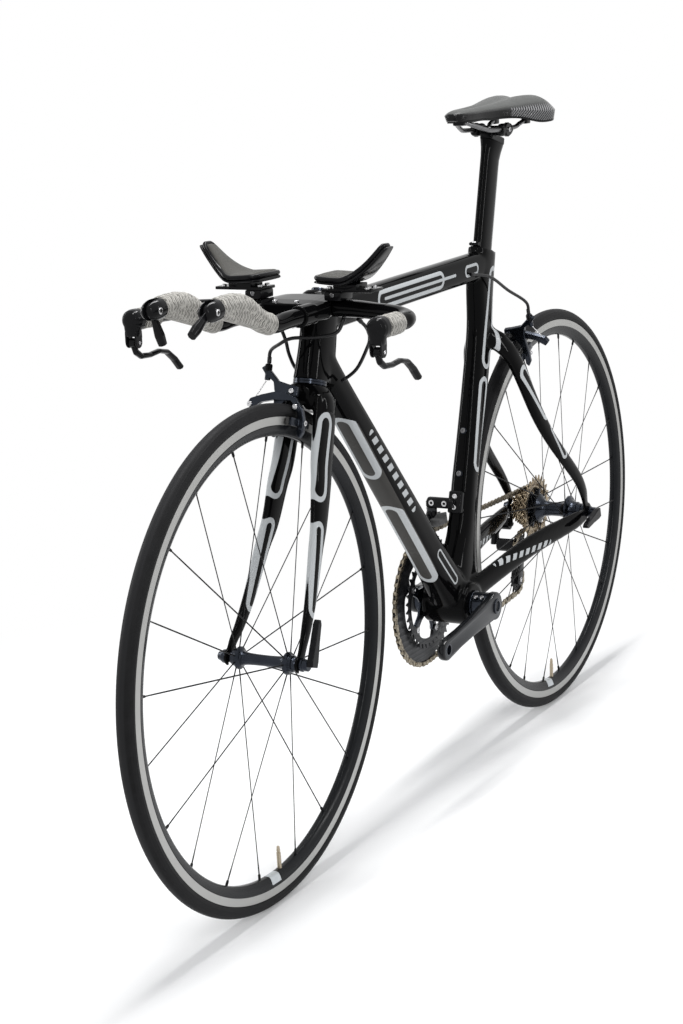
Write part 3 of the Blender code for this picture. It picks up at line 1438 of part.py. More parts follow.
def base_bar():
    left = bar_path()
    mirrored = [(Vector((p.x, -p.y, p.z)), a, b) for p, a, b in reversed(left[1:])]
    bar = swept([*mirrored, *left], hint=UP, squareness=2.0, count=12)
    piece("base_bar", bar, "gloss_carbon", steer(FORK_LENGTH))


def bar_tape(side, name):
    inner = BAR_THICKNESS / 2 + SEAT_GAP + 0.0002
    start = cockpit(BAR_FORWARD + 0.073, side * HORN_Y, HORN_RISE)
    end = cockpit(HORN_FORWARD - 0.004, side * HORN_Y, HORN_RISE)
    piece(name, sleeve(start, end, inner + TAPE_THICKNESS + 0.0010, inner, 12), "tape", steer(FORK_LENGTH))


def extension_path(side):
    """An S-bend: level from its clamp, rising, then level again at the grip."""
    points = [(0.0700, EXTENSION_RISE), (0.1480, EXTENSION_RISE), (0.1900, EXTENSION_RISE - 0.001)]
    points += [(0.2260, 0.0200), (0.2580, 0.0392), (0.2900, 0.0450), (0.3255, 0.0435)]
    return [cockpit(forward, side * EXTENSION_Y, rise) for forward, rise in points]


def extension(side):
    """The extension's tube with the shifter's body as its end cap."""
    path = smooth_path(extension_path(side), 2)
    pipe = tube(path, EXTENSION_RADIUS, 8)
    tip = path[-1]
    heading = (path[-1] - path[-2]).normalized()
    pod = turned(
        [(-0.004, 0), (-0.004, 0.0130), (0.012, 0.0135), (0.020, 0.0110), (0.026, 0.0070), (0.026, 0)],
        tip,
        heading,
        10,
        closed=False,
    )
    slot = block(tip + heading * 0.0160, (0.0300, 0.0084, 0.0400), heading, UP)
    pivot = shift_pivot(side)
    barrel = rod(pivot - LEFT * 0.0110, pivot + LEFT * 0.0110, 0.0040, 8)
    body = combined(pipe, [cut(pod, [slot]), barrel])
    piece(f"extension_{hand_of(side)}", body, "gloss_carbon", steer(FORK_LENGTH))


def shift_pivot(side):
    path = smooth_path(extension_path(side), 2)
    return path[-1] + (path[-1] - path[-2]).normalized() * 0.0125


def hand_of(side):
    return "left" if side > 0 else "right"


def extension_tape(side):
    """The wrap round the extension's grip, from before the bend to the shifter."""
    path = smooth_path(extension_path(side), 2)[4:]
    last = (path[-1] - path[-2]).normalized()
    path[-1] = path[-1] - last * 0.0045
    start = path[0] + (path[1] - path[0]) * 0.35
    path[0] = start
    outer = tube(path, EXTENSION_RADIUS + SEAT_GAP + TAPE_THICKNESS + 0.0008, 8)
    inner_path = [start * 2 - path[1], *path, path[-1] + last * 0.010]
    inner = tube(inner_path, EXTENSION_RADIUS + SEAT_GAP + 0.0004, 8)
    piece(f"extension_tape_{hand_of(side)}", cut(outer, [inner]), "tape", steer(FORK_LENGTH))


def shift_lever(side):
    pivot = shift_pivot(side)
    angle = math.radians(-30 if side > 0 else -112)
    direction = Vector((math.cos(angle), 0, math.sin(angle)))
    rows = [
        (pivot + direction * 0.0070, 0.0030, 0.0058),
        (pivot + direction * 0.0240, 0.0032, 0.0064),
        (pivot + direction * 0.0440, 0.0045, 0.0074),
        (pivot + direction * 0.0620, 0.0040, 0.0060),
    ]
    eye = sleeve(pivot - LEFT * 0.0034, pivot + LEFT * 0.0034, 0.0096, 0.0040 + RUN_GAP, 10)
    eye_room = rod(pivot - LEFT * 0.01, pivot + LEFT * 0.01, 0.0060, 10)
    paddle = cut(swept(rows, squareness=2.6, count=8), [eye_room])
    piece(f"shift_lever_{hand_of(side)}", combined(eye, [paddle]), "satin_black", pivot)


def arm_rest(side):
    """A riser on the bar, a track plate and the winged cup that carries the pad."""
    bar_top = BAR_RISE + BAR_THICKNESS / 2 + SEAT_GAP
    riser = block(cockpit(0.0500, side * 0.0590, bar_top + 0.0085), (0.030, 0.0240, 0.0170), bevel=0.002)
    track = block(cockpit(0.0500, side * 0.0800, bar_top + 0.0155), (0.032, 0.070, 0.0050), bevel=0.0012)
    post = block(cockpit(0.0520, side * 0.0780, bar_top + 0.0215), (0.034, 0.036, 0.0100))
    cup = lofted([pad_ring(share, side, -0.0034, -SEAT_GAP) for share in PAD_SHARES], split=True)
    lip = cut(riser, [bar_shadow(side)])
    piece(f"arm_rest_{hand_of(side)}", combined(lip, [track, post, cup]), "gloss_carbon", steer(FORK_LENGTH))


def bar_shadow(side):
    """The bar's outline with a seat gap, to hollow the riser's foot to the bar's top."""
    t, c = BAR_THICKNESS / 2 + SEAT_GAP, BAR_CHORD / 2 + SEAT_GAP
    return lofted([bar_ring(cockpit(BAR_FORWARD, side * y, BAR_RISE), t, c) for y in (0.03, 0.10)])


def pad_curve(v):
    """The pad's cross line: flat inside, sweeping up outside; v runs from 0 inside to 1 outside."""
    left = 0.042 + 0.088 * v + 0.004 * v**3
    rise = 0.0030 * (1 - v) ** 2 + 0.0440 * max(0.0, (v - 0.42) / 0.58) ** 1.7
    return left, rise


def pad_ring(share, side, low, high, crown=0.0):
    """One cross section of the pad or its cup between two heights above the cup's top."""
    t = 2 * share - 1
    x = PAD_FORWARD + PAD_LENGTH * t / 2
    ease = max(0.0, 1 - abs(t) ** 2.6) ** (1 / 2.6) if abs(t) < 1 else 0.0
    width = 0.45 + 0.55 * ease
    steps = 6
    lines = []
    for height, swells in ((high, crown), (low, 0.0)):
        line = []
        for k in range(steps + 1):
            v = 0.5 + (k / steps - 0.5) * width
            left, rise = pad_curve(v)
            swell = swells * (1 - (2 * k / steps - 1) ** 6) * (1 - t**6)
            line.append(cockpit(x, side * left, PAD_RISE + rise + height + swell))
        lines.append(line)
    return [*lines[0], *reversed(lines[1])]


def arm_pad(side):
    """The cushion: crowned in the middle, drawn in at its edges."""
    rings = [pad_ring(share, side, 0.0, 0.0048, 0.0050) for share in PAD_SHARES]
    piece(f"arm_pad_{hand_of(side)}", lofted(rings, split=True), "pad_cloth", steer(FORK_LENGTH))


def brake_bracket(side):
    """The bracket plugged into the horn's end, hanging down to the lever's pivot."""
    end = cockpit(HORN_FORWARD + SEAT_GAP, side * HORN_Y, HORN_RISE)
    pivot = lever_pivot(side)
    ball = turned(
        [(0, 0), (0, 0.0125), (0.008, 0.0150), (0.016, 0.0125), (0.021, 0.0060), (0.021, 0)],
        end,
        FORWARD,
        10,
        closed=False,
    )
    body = swept(
        [
            (end + Vector((0.009, 0, 0.002)), 0.0085, 0.0090),
            (end + Vector((0.010, 0, -0.014)), 0.0092, 0.0085),
            (pivot + Vector((0.002, 0, 0.004)), 0.0092, 0.0080),
            (pivot + Vector((0.001, 0, -0.007)), 0.0085, 0.0060),
        ],
        squareness=3.0,
        count=8,
    )
    slot = block(pivot + Vector((0, 0, -0.0020)), (0.040, 0.0104, 0.0200))
    pin = rod(pivot - LEFT * 0.0080, pivot + LEFT * 0.0080, 0.0024, 8)
    body = combined(cut(combined(body, [ball]), [slot]), [pin])
    piece(f"brake_bracket_{hand_of(side)}", body, "satin_black", steer(FORK_LENGTH))


def lever_pivot(side):
    return cockpit(HORN_FORWARD + 0.0105, side * HORN_Y, HORN_RISE - 0.0290)


def brake_lever(side):
    """The lever, from its pivot back in a long shallow curve to a curled tip."""
    pivot = lever_pivot(side)
    path = [
        (pivot + Vector((0.0000, 0, -0.0052)), 0.0042, 0.0045),
        (pivot + Vector((-0.0035, 0, -0.0125)), 0.0043, 0.0048),
        (pivot + Vector((-0.0150, 0, -0.0195)), 0.0046, 0.0042),
        (pivot + Vector((-0.0360, 0, -0.0210)), 0.0052, 0.0036),
        (pivot + Vector((-0.0580, 0, -0.0190)), 0.0060, 0.0034),
        (pivot + Vector((-0.0760, 0, -0.0225)), 0.0062, 0.0036),
        (pivot + Vector((-0.0930, 0, -0.0340)), 0.0062, 0.0042),
        (pivot + Vector((-0.1075, 0, -0.0480)), 0.0060, 0.0046),
    ]
    blade = swept(path, squareness=2.3, count=8)
    eye = sleeve(pivot - LEFT * 0.0042, pivot + LEFT * 0.0042, 0.0066, 0.0024 + RUN_GAP, 10)
    bore = rod(pivot - LEFT * 0.01, pivot + LEFT * 0.01, 0.0045, 10)
    piece(f"brake_lever_{hand_of(side)}", combined(eye, [cut(blade, [bore])]), "satin_black", pivot)


# Cables


def cables():
    foot, out, up, _wheel = calliper(True)
    adjuster = foot + out * 0.0128 + up * (0.0350 + 2 * SEAT_GAP) - LEFT * 0.0400
    under = BAR_RISE - BAR_THICKNESS / 2 - 5 * SEAT_GAP
    front = [
        adjuster,
        adjuster + up * 0.016,
        cockpit(0.0720, -0.0200, -0.0350),
        cockpit(0.0732, 0.0000, -0.0262),
        cockpit(0.0640, 0.0300, -0.0250),
        cockpit(0.0540, 0.0560, -0.0200),
        cockpit(BAR_FORWARD, 0.0640, under),
    ]
    piece("front_brake_cable", tube(smooth_path(front, 2), CABLE_RADIUS, 6), "cable_skin", steer(FORK_LENGTH))
    left_bends = [(0.0299, 0.0880, -0.0158), (0.0128, 0.0830, -0.0314)]
    left_bends += [(-0.0064, 0.0680, -0.0491), (-0.0158, 0.0470, -0.0778)]
    right_bends = [(0.0340, 0.0400, -0.0158), (0.0312, 0.0330, -0.0353)]
    right_bends += [(0.0263, 0.0310, -0.0558), (0.0091, 0.0300, -0.0785)]
    for side, start_y, bends in ((1, 0.0840, left_bends), (-1, 0.0460, right_bends)):
        port = steer(HEAD_BOTTOM + 0.006, -0.0460, side * (0.0205 + CABLE_RADIUS + SEAT_GAP))
        route = [cockpit(BAR_FORWARD, side * start_y, under)]
        route += [cockpit(forward, side * left, rise) for forward, left, rise in bends]
        route.append(port)
        piece(f"frame_cable_{hand_of(side)}", tube(smooth_path(route, 2), CABLE_RADIUS, 6), "cable_skin")
    foot, out, up, _wheel = calliper(False)
    anchor = foot + out * 0.0128 + up * (0.0350 + 2 * SEAT_GAP) + LEFT * 0.0400
    start = REAR_AXLE + Vector((0.334, TOP_TUBE_WIDTH / 2 + CABLE_RADIUS, 0.431))
    rear = [
        start,
        start + Vector((-0.050, 0.0095, -0.0095)),
        start + Vector((-0.107, 0.0130, -0.0360)),
        anchor + up * 0.022,
        anchor,
    ]
    piece("rear_brake_cable", tube(smooth_path(rear, 3), CABLE_RADIUS, 6), "cable_skin")


def carrier(name, place, names, parent=None):
    """An empty on a moving group's axis, with the pieces that follow it."""
    made = bpy.data.objects.new(name, None)
    made.empty_display_size = 0.05
    bpy.context.scene.collection.objects.link(made)
    made.location = place
    if parent:
        hang([made], parent)
    hang([bpy.data.objects[held] for held in names], made)
    return made


def hang(pieces, parent):
    """Let pieces follow an empty without moving them; every location here is a place in the world."""
    for held in pieces:
        held.parent = parent
        held.matrix_parent_inverse = Matrix.Translation(-parent.location)


def carriers():
    """The empties of the groups that turn together."""
    steered = ["fork", "stem", "base_bar", "front_axle", "front_skewer_lever", "front_brake_cable"]
    steered += ["front_brake_arm_left", "front_brake_arm_right", "frame_cable_left", "frame_cable_right"]
    paired = ["bar_tape", "extension", "extension_tape", "shift_lever", "arm_rest", "arm_pad"]
    paired += ["brake_bracket", "brake_lever"]
    steered += [f"{name}_{hand}" for name in paired for hand in ("left", "right")]
    steering = carrier("steering_axis", steer(FORK_LENGTH), steered)
    carrier("front_wheel_axis", FRONT_AXLE, ["front_hub", "front_rim", "front_tyre"], steering)
    carrier("rear_wheel_axis", REAR_AXLE, ["rear_hub", "rear_rim", "rear_tyre"])
    cranks = ["crank_arm_left", "crank_arm_right", "chainring_large", "chainring_small"]
    carrier("crank_axis", BRACKET, cranks)


def main():
    for item in list(bpy.data.objects):
        bpy.data.objects.remove(item, do_unlink=True)
    frame()
    seatpost()
    seatpost_clamp()
    saddle()
    saddle_clamp()
    bracket_cups()
    headset_bearing()
    rim("front_rim", FRONT_AXLE, FRONT_VALVE_ANGLE)
    rim("rear_rim", REAR_AXLE, REAR_VALVE_ANGLE)
    tyre("front_tyre", FRONT_AXLE)
    tyre("rear_tyre", REAR_AXLE)
    front_hub()
    rear_hub()
    axle("front_axle", FRONT_AXLE, FRONT_HUB_WIDTH, DROPOUT)
    axle("rear_axle", REAR_AXLE, REAR_HUB_WIDTH, DROPOUT)
    skewer_lever("front_skewer_lever", FRONT_AXLE, FRONT_HUB_WIDTH, DROPOUT, STEER_UP)
    along_stay = (BRACKET - REAR_AXLE + DOWN * 0.03).normalized()
    skewer_lever("rear_skewer_lever", REAR_AXLE, REAR_HUB_WIDTH, DROPOUT, along_stay)
    chain()
    chainrings()
    crank_arm(1)
    crank_arm(-1)
    cassette()
    jockey("jockey_wheel_upper", GUIDE_WHEEL)
    jockey("jockey_wheel_lower", TENSION_WHEEL)
    rear_derailleur()
    front_derailleur()
    fork()
    for front in (True, False):
        for hooked in (True, False):
            brake_arm(front, hooked)
    stem()
    base_bar()
    for side in (1, -1):
        bar_tape(side, f"bar_tape_{hand_of(side)}")
        extension(side)
        extension_tape(side)
        shift_lever(side)
        arm_rest(side)
        arm_pad(side)
        brake_bracket(side)
        brake_lever(side)
    cables()
    carriers()


if __name__ == "__main__":
    main()
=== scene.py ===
"""Looks of the time-trial bicycle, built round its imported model.

Metres: +X is forward, +Y is the rider's left and +Z is up. The origin is on the ground midway between the wheels.
"""

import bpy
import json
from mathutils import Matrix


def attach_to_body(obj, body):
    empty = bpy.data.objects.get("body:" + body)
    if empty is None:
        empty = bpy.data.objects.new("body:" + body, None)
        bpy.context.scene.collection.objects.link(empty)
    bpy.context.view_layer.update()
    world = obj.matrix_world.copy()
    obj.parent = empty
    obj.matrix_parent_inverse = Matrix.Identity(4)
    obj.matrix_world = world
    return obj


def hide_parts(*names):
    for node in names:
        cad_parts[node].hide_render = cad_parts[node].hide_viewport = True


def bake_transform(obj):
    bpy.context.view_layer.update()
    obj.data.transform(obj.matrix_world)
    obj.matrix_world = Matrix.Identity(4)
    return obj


bl_info = {
    "name": "Time-Trial Bicycle",
    "version": (1, 0, 0),
    "blender": (4, 5, 0),
    "location": "View3D > Sidebar > Bicycle",
    "description": "Builds the visible pieces of a time-trial bicycle round its mechanical model",
    "category": "Add Mesh",
}

import json
import math
from functools import cache

import bmesh
import bpy
from mathutils import Euler, Matrix, Vector

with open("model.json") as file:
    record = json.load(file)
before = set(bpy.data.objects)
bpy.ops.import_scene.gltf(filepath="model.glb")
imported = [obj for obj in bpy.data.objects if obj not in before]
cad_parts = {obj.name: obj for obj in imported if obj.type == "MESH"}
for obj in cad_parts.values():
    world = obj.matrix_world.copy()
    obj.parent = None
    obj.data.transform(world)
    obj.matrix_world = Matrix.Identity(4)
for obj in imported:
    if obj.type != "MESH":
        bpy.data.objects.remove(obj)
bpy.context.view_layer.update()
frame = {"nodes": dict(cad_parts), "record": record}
BODY_OF = {node: body for body, held in frame["record"]["behaviour"]["bodies"].items() for node in held}
SLOT_OF = {part["node"]: part["material_slot"] for part in frame["record"]["subparts"]}

WELD = 0.000001
SEAT_GAP = 0.0003
WHEELBASE = 0.960
WHEEL_RADIUS = 0.334
TYRE_WIDTH = 0.023
RIM_EDGE_RADIUS = 0.317
RIM_INNER = 0.2915
RIM_WIDTH = 0.020
RIM_WALL = 0.0017
BRAKE_TRACK = 0.0115
WHEEL_SIDES = 192
FRONT_SPOKES = 20
REAR_SPOKES = 24
REAR_SPOKE_CROSS = math.radians(52)
REAR_SPOKE_START = math.radians(8.9)
FRONT_SPOKE_START = math.radians(6.9)
VALVE_ANGLE = {"front": math.radians(-93), "rear": math.radians(-89)}
HUB_WIDTH = {"front": 0.100, "rear": 0.130}
AXLE_RADIUS = 0.0046
FRONT_FLANGE = 0.036
REAR_FLANGE_LEFT = 0.035
REAR_FLANGE_RIGHT = -0.0180

CHAINSTAY = 0.3955
BRACKET_DROP = 0.064
HEAD_ANGLE = math.radians(72.5)
SEAT_ANGLE = math.radians(75)
FORK_RAKE = 0.043
FORK_LENGTH = 0.3665
HEAD_TUBE = 0.092
HEAD_BOTTOM = FORK_LENGTH + SEAT_GAP + 0.0075
HEAD_TOP = HEAD_BOTTOM + HEAD_TUBE
STEERER_RADIUS = 0.0143
SEAT_TUBE = 0.543
SHELL_RADIUS = 0.0325
SHELL_WIDTH = 0.074
TYRE_ROOM = 0.0042
DROPOUT = 0.0045
NOTCH_RADIUS = 0.0405
STEM_RADIUS = 0.0275
STEM_HEIGHT = 0.0250

POST_SINK = 0.060
POST_TOP = 0.704
POST_HEAD = 0.7075
POST_WIDTH = 0.0190
POST_CHORD = 0.053
RAIL_RISE = 0.0235
SADDLE_SETBACK = 0.1536
SADDLE_LENGTH = 0.270
RAIL_RADIUS = 0.0035
RAIL_SPREAD = 0.022
SHELL_SKIN = 0.0040

CRANK_LENGTH = 0.1725
CRANK_ANGLE = math.radians(-7.5)
PITCH = 0.0127
COGS = (11, 12, 13, 14, 15, 17, 19, 21, 23, 26)
DRIVEN_COG = 5
JOCKEY_TEETH = 11
RING_TEETH = 50
SMALL_RING_TEETH = 36
RING_Y = -0.0470
SMALL_RING_Y = -0.0405
SMALLEST_COG_Y = -0.0600
COG_PITCH = 0.00395
CAGE_LENGTH = 0.056
CAGE_ANGLE = -1.25565
LINK_COUNT = 104
ARM_Y = 0.0690
RIGHT_ARM_Y = 0.0590
ARM_THICKNESS = 0.0120

BAR_FORWARD = 0.0455
BAR_RISE = 0.0110
BAR_THICKNESS = 0.0225
BAR_CHORD = 0.036
HORN_Y = 0.178
HORN_FORWARD = 0.1634
HORN_RISE = 0.0055
EXTENSION_RISE = 0.0092
EXTENSION_Y = 0.040
EXTENSION_RADIUS = 0.0111
TAPE_THICKNESS = 0.0028
PAD_RISE = 0.0492
PAD_FORWARD = 0.0520
CABLE_RADIUS = 0.0024
BRAKE_HEIGHT = 0.3525
BRAKE_SETBACK = 0.0125
REAR_BRAKE_ANGLE = math.radians(64.5)

LEFT = Vector((0, 1, 0))
UP = Vector((0, 0, 1))
FORWARD = Vector((1, 0, 0))
SIDES = ((1, "left"), (-1, "right"))
HAND = dict(SIDES)
REAR_AXLE = Vector((-WHEELBASE / 2, 0, WHEEL_RADIUS))
FRONT_AXLE = Vector((WHEELBASE / 2, 0, WHEEL_RADIUS))
AXLE = {"front": FRONT_AXLE, "rear": REAR_AXLE}
BRACKET = REAR_AXLE + Vector((math.sqrt(CHAINSTAY**2 - BRACKET_DROP**2), 0, -BRACKET_DROP))
STEER_UP = Vector((-math.cos(HEAD_ANGLE), 0, math.sin(HEAD_ANGLE)))
STEER_FORE = Vector((math.sin(HEAD_ANGLE), 0, math.cos(HEAD_ANGLE)))
STEER_FOOT = FRONT_AXLE - FORK_RAKE * STEER_FORE
SEAT_UP = Vector((-math.cos(SEAT_ANGLE), 0, math.sin(SEAT_ANGLE)))
SEAT_FORE = Vector((math.sin(SEAT_ANGLE), 0, math.cos(SEAT_ANGLE)))


def steer(along, fore=0.0, left=0.0):
    """A point by its distance along the steering axis, ahead of it and to the left."""
    return STEER_FOOT + along * STEER_UP + fore * STEER_FORE + left * LEFT


def seat(along, fore=0.0, left=0.0):
    """A point by its distance up the seat tube from the bottom bracket."""
    return BRACKET + along * SEAT_UP + fore * SEAT_FORE + left * LEFT


def cockpit(forward, left, rise):
    """A point measured from the top of the head tube."""
    return steer(HEAD_TOP) + Vector((forward, left, rise))


def around(centre, radius, angle, left=0.0):
    """A point in a wheel's plane: the angle runs from forward to up."""
    return centre + Vector((radius * math.cos(angle), left, radius * math.sin(angle)))


# Outlines and paths


def polar(radius, angle, centre=(0.0, 0.0)):
    return centre[0] + radius * math.cos(angle), centre[1] + radius * math.sin(angle)


def circle(radius, count, centre=(0.0, 0.0)):
    return [polar(radius, 2 * math.pi * i / count, centre) for i in range(count)]


def mirrored(profile):
    """The other half of a profile of (along, radius) points."""
    return [(-along, radius) for along, radius in reversed(profile)]


def ring_points(centre, across, along, half_across, half_along, squareness=2.0, count=32, pinch=0.0):
    """A rounded outline from a circle (2) to nearly a rectangle (6), narrower at one end when pinched."""
    points = []
    for step in range(count):
        angle = 2 * math.pi * (step + 0.5) / count
        c, s = math.cos(angle), math.sin(angle)
        reach = (abs(c) ** squareness + abs(s) ** squareness) ** (-1 / squareness)
        narrow = 1 - pinch * (1 - s * reach) / 2
        points.append(centre + across * (half_across * c * reach * narrow) + along * (half_along * s * reach))
    return points


def curved(a, b, c, d, t):
    """The value at a share of the way from b to c, on one smooth curve through all four."""
    return 0.5 * (2 * b + (c - a) * t + (2 * a - 5 * b + 4 * c - d) * t**2 + (3 * b - a - 3 * c + d) * t**3)


def smooth_rows(rows, steps, before=None, after=None):
    """Rows of points and numbers, with more rows on one smooth curve between them."""
    padded = [before or rows[0], *rows, after or rows[-1]]
    made = []
    for four in zip(padded, padded[1:], padded[2:], padded[3:]):
        made += [tuple(curved(*values, step / steps) for values in zip(*four)) for step in range(steps)]
    return [*made, rows[-1]]


def smooth_path(points, steps):
    """Points on one smooth curve through the chosen ones."""
    before, after = 2 * points[0] - points[1], 2 * points[-1] - points[-2]
    return [row[0] for row in smooth_rows([(point,) for point in points], steps, (before,), (after,))]


def heading(points, i):
    """The direction of a path at one of its points."""
    return (points[min(i + 1, len(points) - 1)] - points[max(i - 1, 0)]).normalized()


def swept_rings(stations, hint=LEFT, squareness=2.0, count=32):
    """Outlines along a path of (centre, half size along the hint, half size across it)."""
    centres = [station[0] for station in stations]
    rings = []
    for i, (centre, half_hint, half_across) in enumerate(stations):
        tangent = heading(centres, i)
        across = tangent.cross(hint).normalized()
        along_hint = across.cross(tangent).normalized()
        rings.append(ring_points(centre, along_hint, across, half_hint, half_across, squareness, count))
    return rings


def tube_rings(points, radius, sides=16):
    """Round outlines along smooth points."""
    rings = []
    side = heading(points, 0).orthogonal().normalized()
    for i, point in enumerate(points):
        tangent = heading(points, i)
        side = (side - tangent * side.dot(tangent)).normalized()
        rings.append(ring_points(point, side, tangent.cross(side), radius, radius, 2.0, sides))
    return rings


# Building


class Nodes:
    """A node tree, with short words for adding to it."""

    def __init__(self, tree):
        self.tree = tree

    def feed(self, socket, value):
        """Link a socket to another or give it a value; a colour may be its three shares."""
        if isinstance(value, bpy.types.NodeSocket):
            self.tree.links.new(value, socket)
        else:
            socket.default_value = (*value[:3], 1.0) if socket.type == "RGBA" else value

    def add(self, kind, inputs=(), **settings):
        """Add a node, set it up, and feed its inputs by name or by number."""
        node = self.tree.nodes.new(kind)
        for key, value in settings.items():
            setattr(node, key, value)
        for key, value in dict(inputs).items():
            self.feed(node.inputs[key], value)
        return node

    def math(self, operation, *values):
        return self.add("ShaderNodeMath", enumerate(values), operation=operation).outputs[0]

    def seen(self):
        """One where the camera looks, straight, in a reflection or through something clear."""
        rays = self.add("ShaderNodeLightPath").outputs
        straight = self.math("MAXIMUM", rays["Is Camera Ray"], rays["Is Glossy Ray"])
        return self.math("MAXIMUM", straight, rays["Is Transmission Ray"])


def link_object(name, data):
    made = bpy.data.objects.new(name, data)
    bpy.context.scene.collection.objects.link(made)
    return made


def evaluated(made):
    """An object's mesh with its modifiers applied."""
    return bpy.data.meshes.new_from_object(made.evaluated_get(bpy.context.evaluated_depsgraph_get()))


def shaded(made, angle):
    made.data.shade_smooth()
    made.data.set_sharp_from_angle(angle=math.radians(angle))
    return made


def modifier(made, kind, **settings):
    step = made.modifiers.new(kind.lower(), kind)
    for key, value in settings.items():
        setattr(step, key, value)


def settled(made, angle):
    """Apply an object's modifiers and shade the result."""
    materials = list(made.data.materials)
    made.data = evaluated(made)
    made.modifiers.clear()
    made.data.materials.clear()
    for material in materials:
        made.data.materials.append(material)
    return shaded(made, angle)


def carved(made, cutters, angle):
    """Cut an object with shapes that aren't kept."""
    blades = [cutter.made("cutter", SATIN) for cutter in cutters]
    for blade in blades:
        modifier(made, "BOOLEAN", operation="DIFFERENCE", object=blade, solver="EXACT")
    settled(made, angle)
    for blade in blades:
        bpy.data.objects.remove(blade, do_unlink=True)
    return made


def attach(made, body, slot):
    """Let a small added piece ride on a body."""
    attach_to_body(made, body)
    return made


def place(made, node, slot=None):
    """Let a piece ride with its node's body and stand for that node."""
    attach(made, BODY_OF[node], slot or SLOT_OF[node])
    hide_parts(node)
    return made


class Shape:
    """A mesh in the making: the first methods each add a closed form, and the last ones finish the piece."""

    def __init__(self, node=None):
        self.bm = bmesh.new()
        if node:
            self.bm.from_mesh(frame["nodes"][node].data)
            bmesh.ops.remove_doubles(self.bm, verts=self.bm.verts, dist=10 * WELD)

    def joined(self, mesh):
        self.bm.from_mesh(mesh)
        bpy.data.meshes.remove(mesh)
        return self

    def loft(self, rings, closed=False, uv=None):
        """Skin a row of outlines; uv gives each row's length along the surface."""
        rows = [[self.bm.verts.new(point) for point in ring] for ring in rings]
        count = len(rows[0])
        layer = self.bm.loops.layers.uv.verify() if uv else None
        for n, (first, second) in enumerate(zip(rows, rows[1:] + rows[: int(closed)])):
            for i in range(count):
                j = (i + 1) % count
                face = self.bm.faces.new((first[i], first[j], second[j], second[i]))
                if uv:
                    corners = ((i, uv[n]), (i + 1, uv[n]), (i + 1, uv[n + 1]), (i, uv[n + 1]))
                    for loop, (u, v) in zip(face.loops, corners):
                        loop[layer].uv = (u / count, v)
        if not closed:
            for row in (rows[0], rows[-1]):
                self.bm.faces.new(row)
        return self

    def turned(self, profile, centre, axis=LEFT, sides=48, closed=False):
        """Revolve (along, radius) points; a closed profile makes a ring, an open one ends on the axis."""
        side = FORWARD if abs(axis.dot(LEFT)) > 0.99 else axis.orthogonal().normalized()
        other = axis.cross(side)
        turns = [side * math.cos(a) + other * math.sin(a) for a in (2 * math.pi * i / sides for i in range(sides))]
        rows = []
        for along, radius in profile:
            foot = centre + axis * along
            rows.append([self.bm.verts.new(foot + turn * radius) for turn in (turns if radius else turns[:1])])
        for first, second in zip(rows, rows[1:] + rows[: int(closed)]):
            for i in range(sides):
                corners = [first[i % len(first)], first[(i + 1) % len(first)]]
                corners += [second[(i + 1) % len(second)], second[i % len(second)]]
                self.bm.faces.new(dict.fromkeys(corners))
        return self

    def rod(self, start, end, radius, sides=24, edge=0.0004):
        """A round bar from one point to another with its end edges broken."""
        length = (end - start).length
        edge = min(edge, radius / 3, length / 3)
        half = [(0, 0), (0, radius - edge), (edge, radius)]
        profile = [*half, *[(length - along, reach) for along, reach in reversed(half)]]
        return self.turned(profile, start, (end - start).normalized(), sides)

    def plate(self, outlines, thickness, centre, across=FORWARD, up=UP, edge=0.0):
        """A flat plate from an outline and its holes, given as (across, up) pairs, with its edges rounded."""
        curve = bpy.data.curves.new("outline", "CURVE")
        curve.dimensions = "2D"
        curve.fill_mode = "BOTH"
        curve.extrude = thickness / 2 - edge
        curve.bevel_depth = edge
        curve.bevel_resolution = 1
        curve.offset = -edge
        for outline in outlines:
            spline = curve.splines.new("POLY")
            spline.points.add(len(outline) - 1)
            for point, (a, b) in zip(spline.points, outline):
                point.co = (a, b, 0, 1)
            spline.use_cyclic_u = True
        drawn = link_object("outline", curve)
        mesh = evaluated(drawn)
        bpy.data.objects.remove(drawn, do_unlink=True)
        bpy.data.curves.remove(curve)
        turn = Matrix((across, up, across.cross(up))).transposed().to_4x4()
        mesh.transform(Matrix.Translation(centre) @ turn)
        return self.joined(mesh)

    def block(self, centre, size, across=FORWARD, up=UP, edge=0.0008):
        """A rectangular block with two-step rounded edges."""
        part = bmesh.new()
        bmesh.ops.create_cube(part, size=1.0)
        bmesh.ops.scale(part, vec=size, verts=part.verts)
        if edge:
            bmesh.ops.bevel(part, geom=part.edges, offset=edge, segments=2, profile=0.6, affect="EDGES")
        turn = Matrix((across, up.cross(across), up)).transposed().to_4x4()
        bmesh.ops.transform(part, matrix=Matrix.Translation(centre) @ turn, verts=part.verts)
        mesh = bpy.data.meshes.new("block")
        part.to_mesh(mesh)
        part.free()
        return self.joined(mesh)

    def made(self, name, finish, angle=38):
        """The shaded object, with its faces pointing out; a plain finish is given by its name."""
        bmesh.ops.remove_doubles(self.bm, verts=self.bm.verts, dist=WELD)
        bmesh.ops.recalc_face_normals(self.bm, faces=self.bm.faces)
        mesh = bpy.data.meshes.new(name)
        self.bm.to_mesh(mesh)
        self.bm.free()
        mesh.materials.append(plain_finish(finish) if isinstance(finish, str) else finish)
        return shaded(link_object(name, mesh), angle)

    def skin(self, node, finish, angle=38, name=None, slot=None):
        """Finish a piece that stands for a node."""
        return place(self.made(name or node + "_skin", finish, angle), node, slot)

    def fit(self, name, finish, body, angle=38, slot=None):
        """Finish a small added piece in a plain finish and let it ride on a body."""
        return attach(self.made(name, finish, angle), body, slot or PLAIN_FINISHES[finish][0])

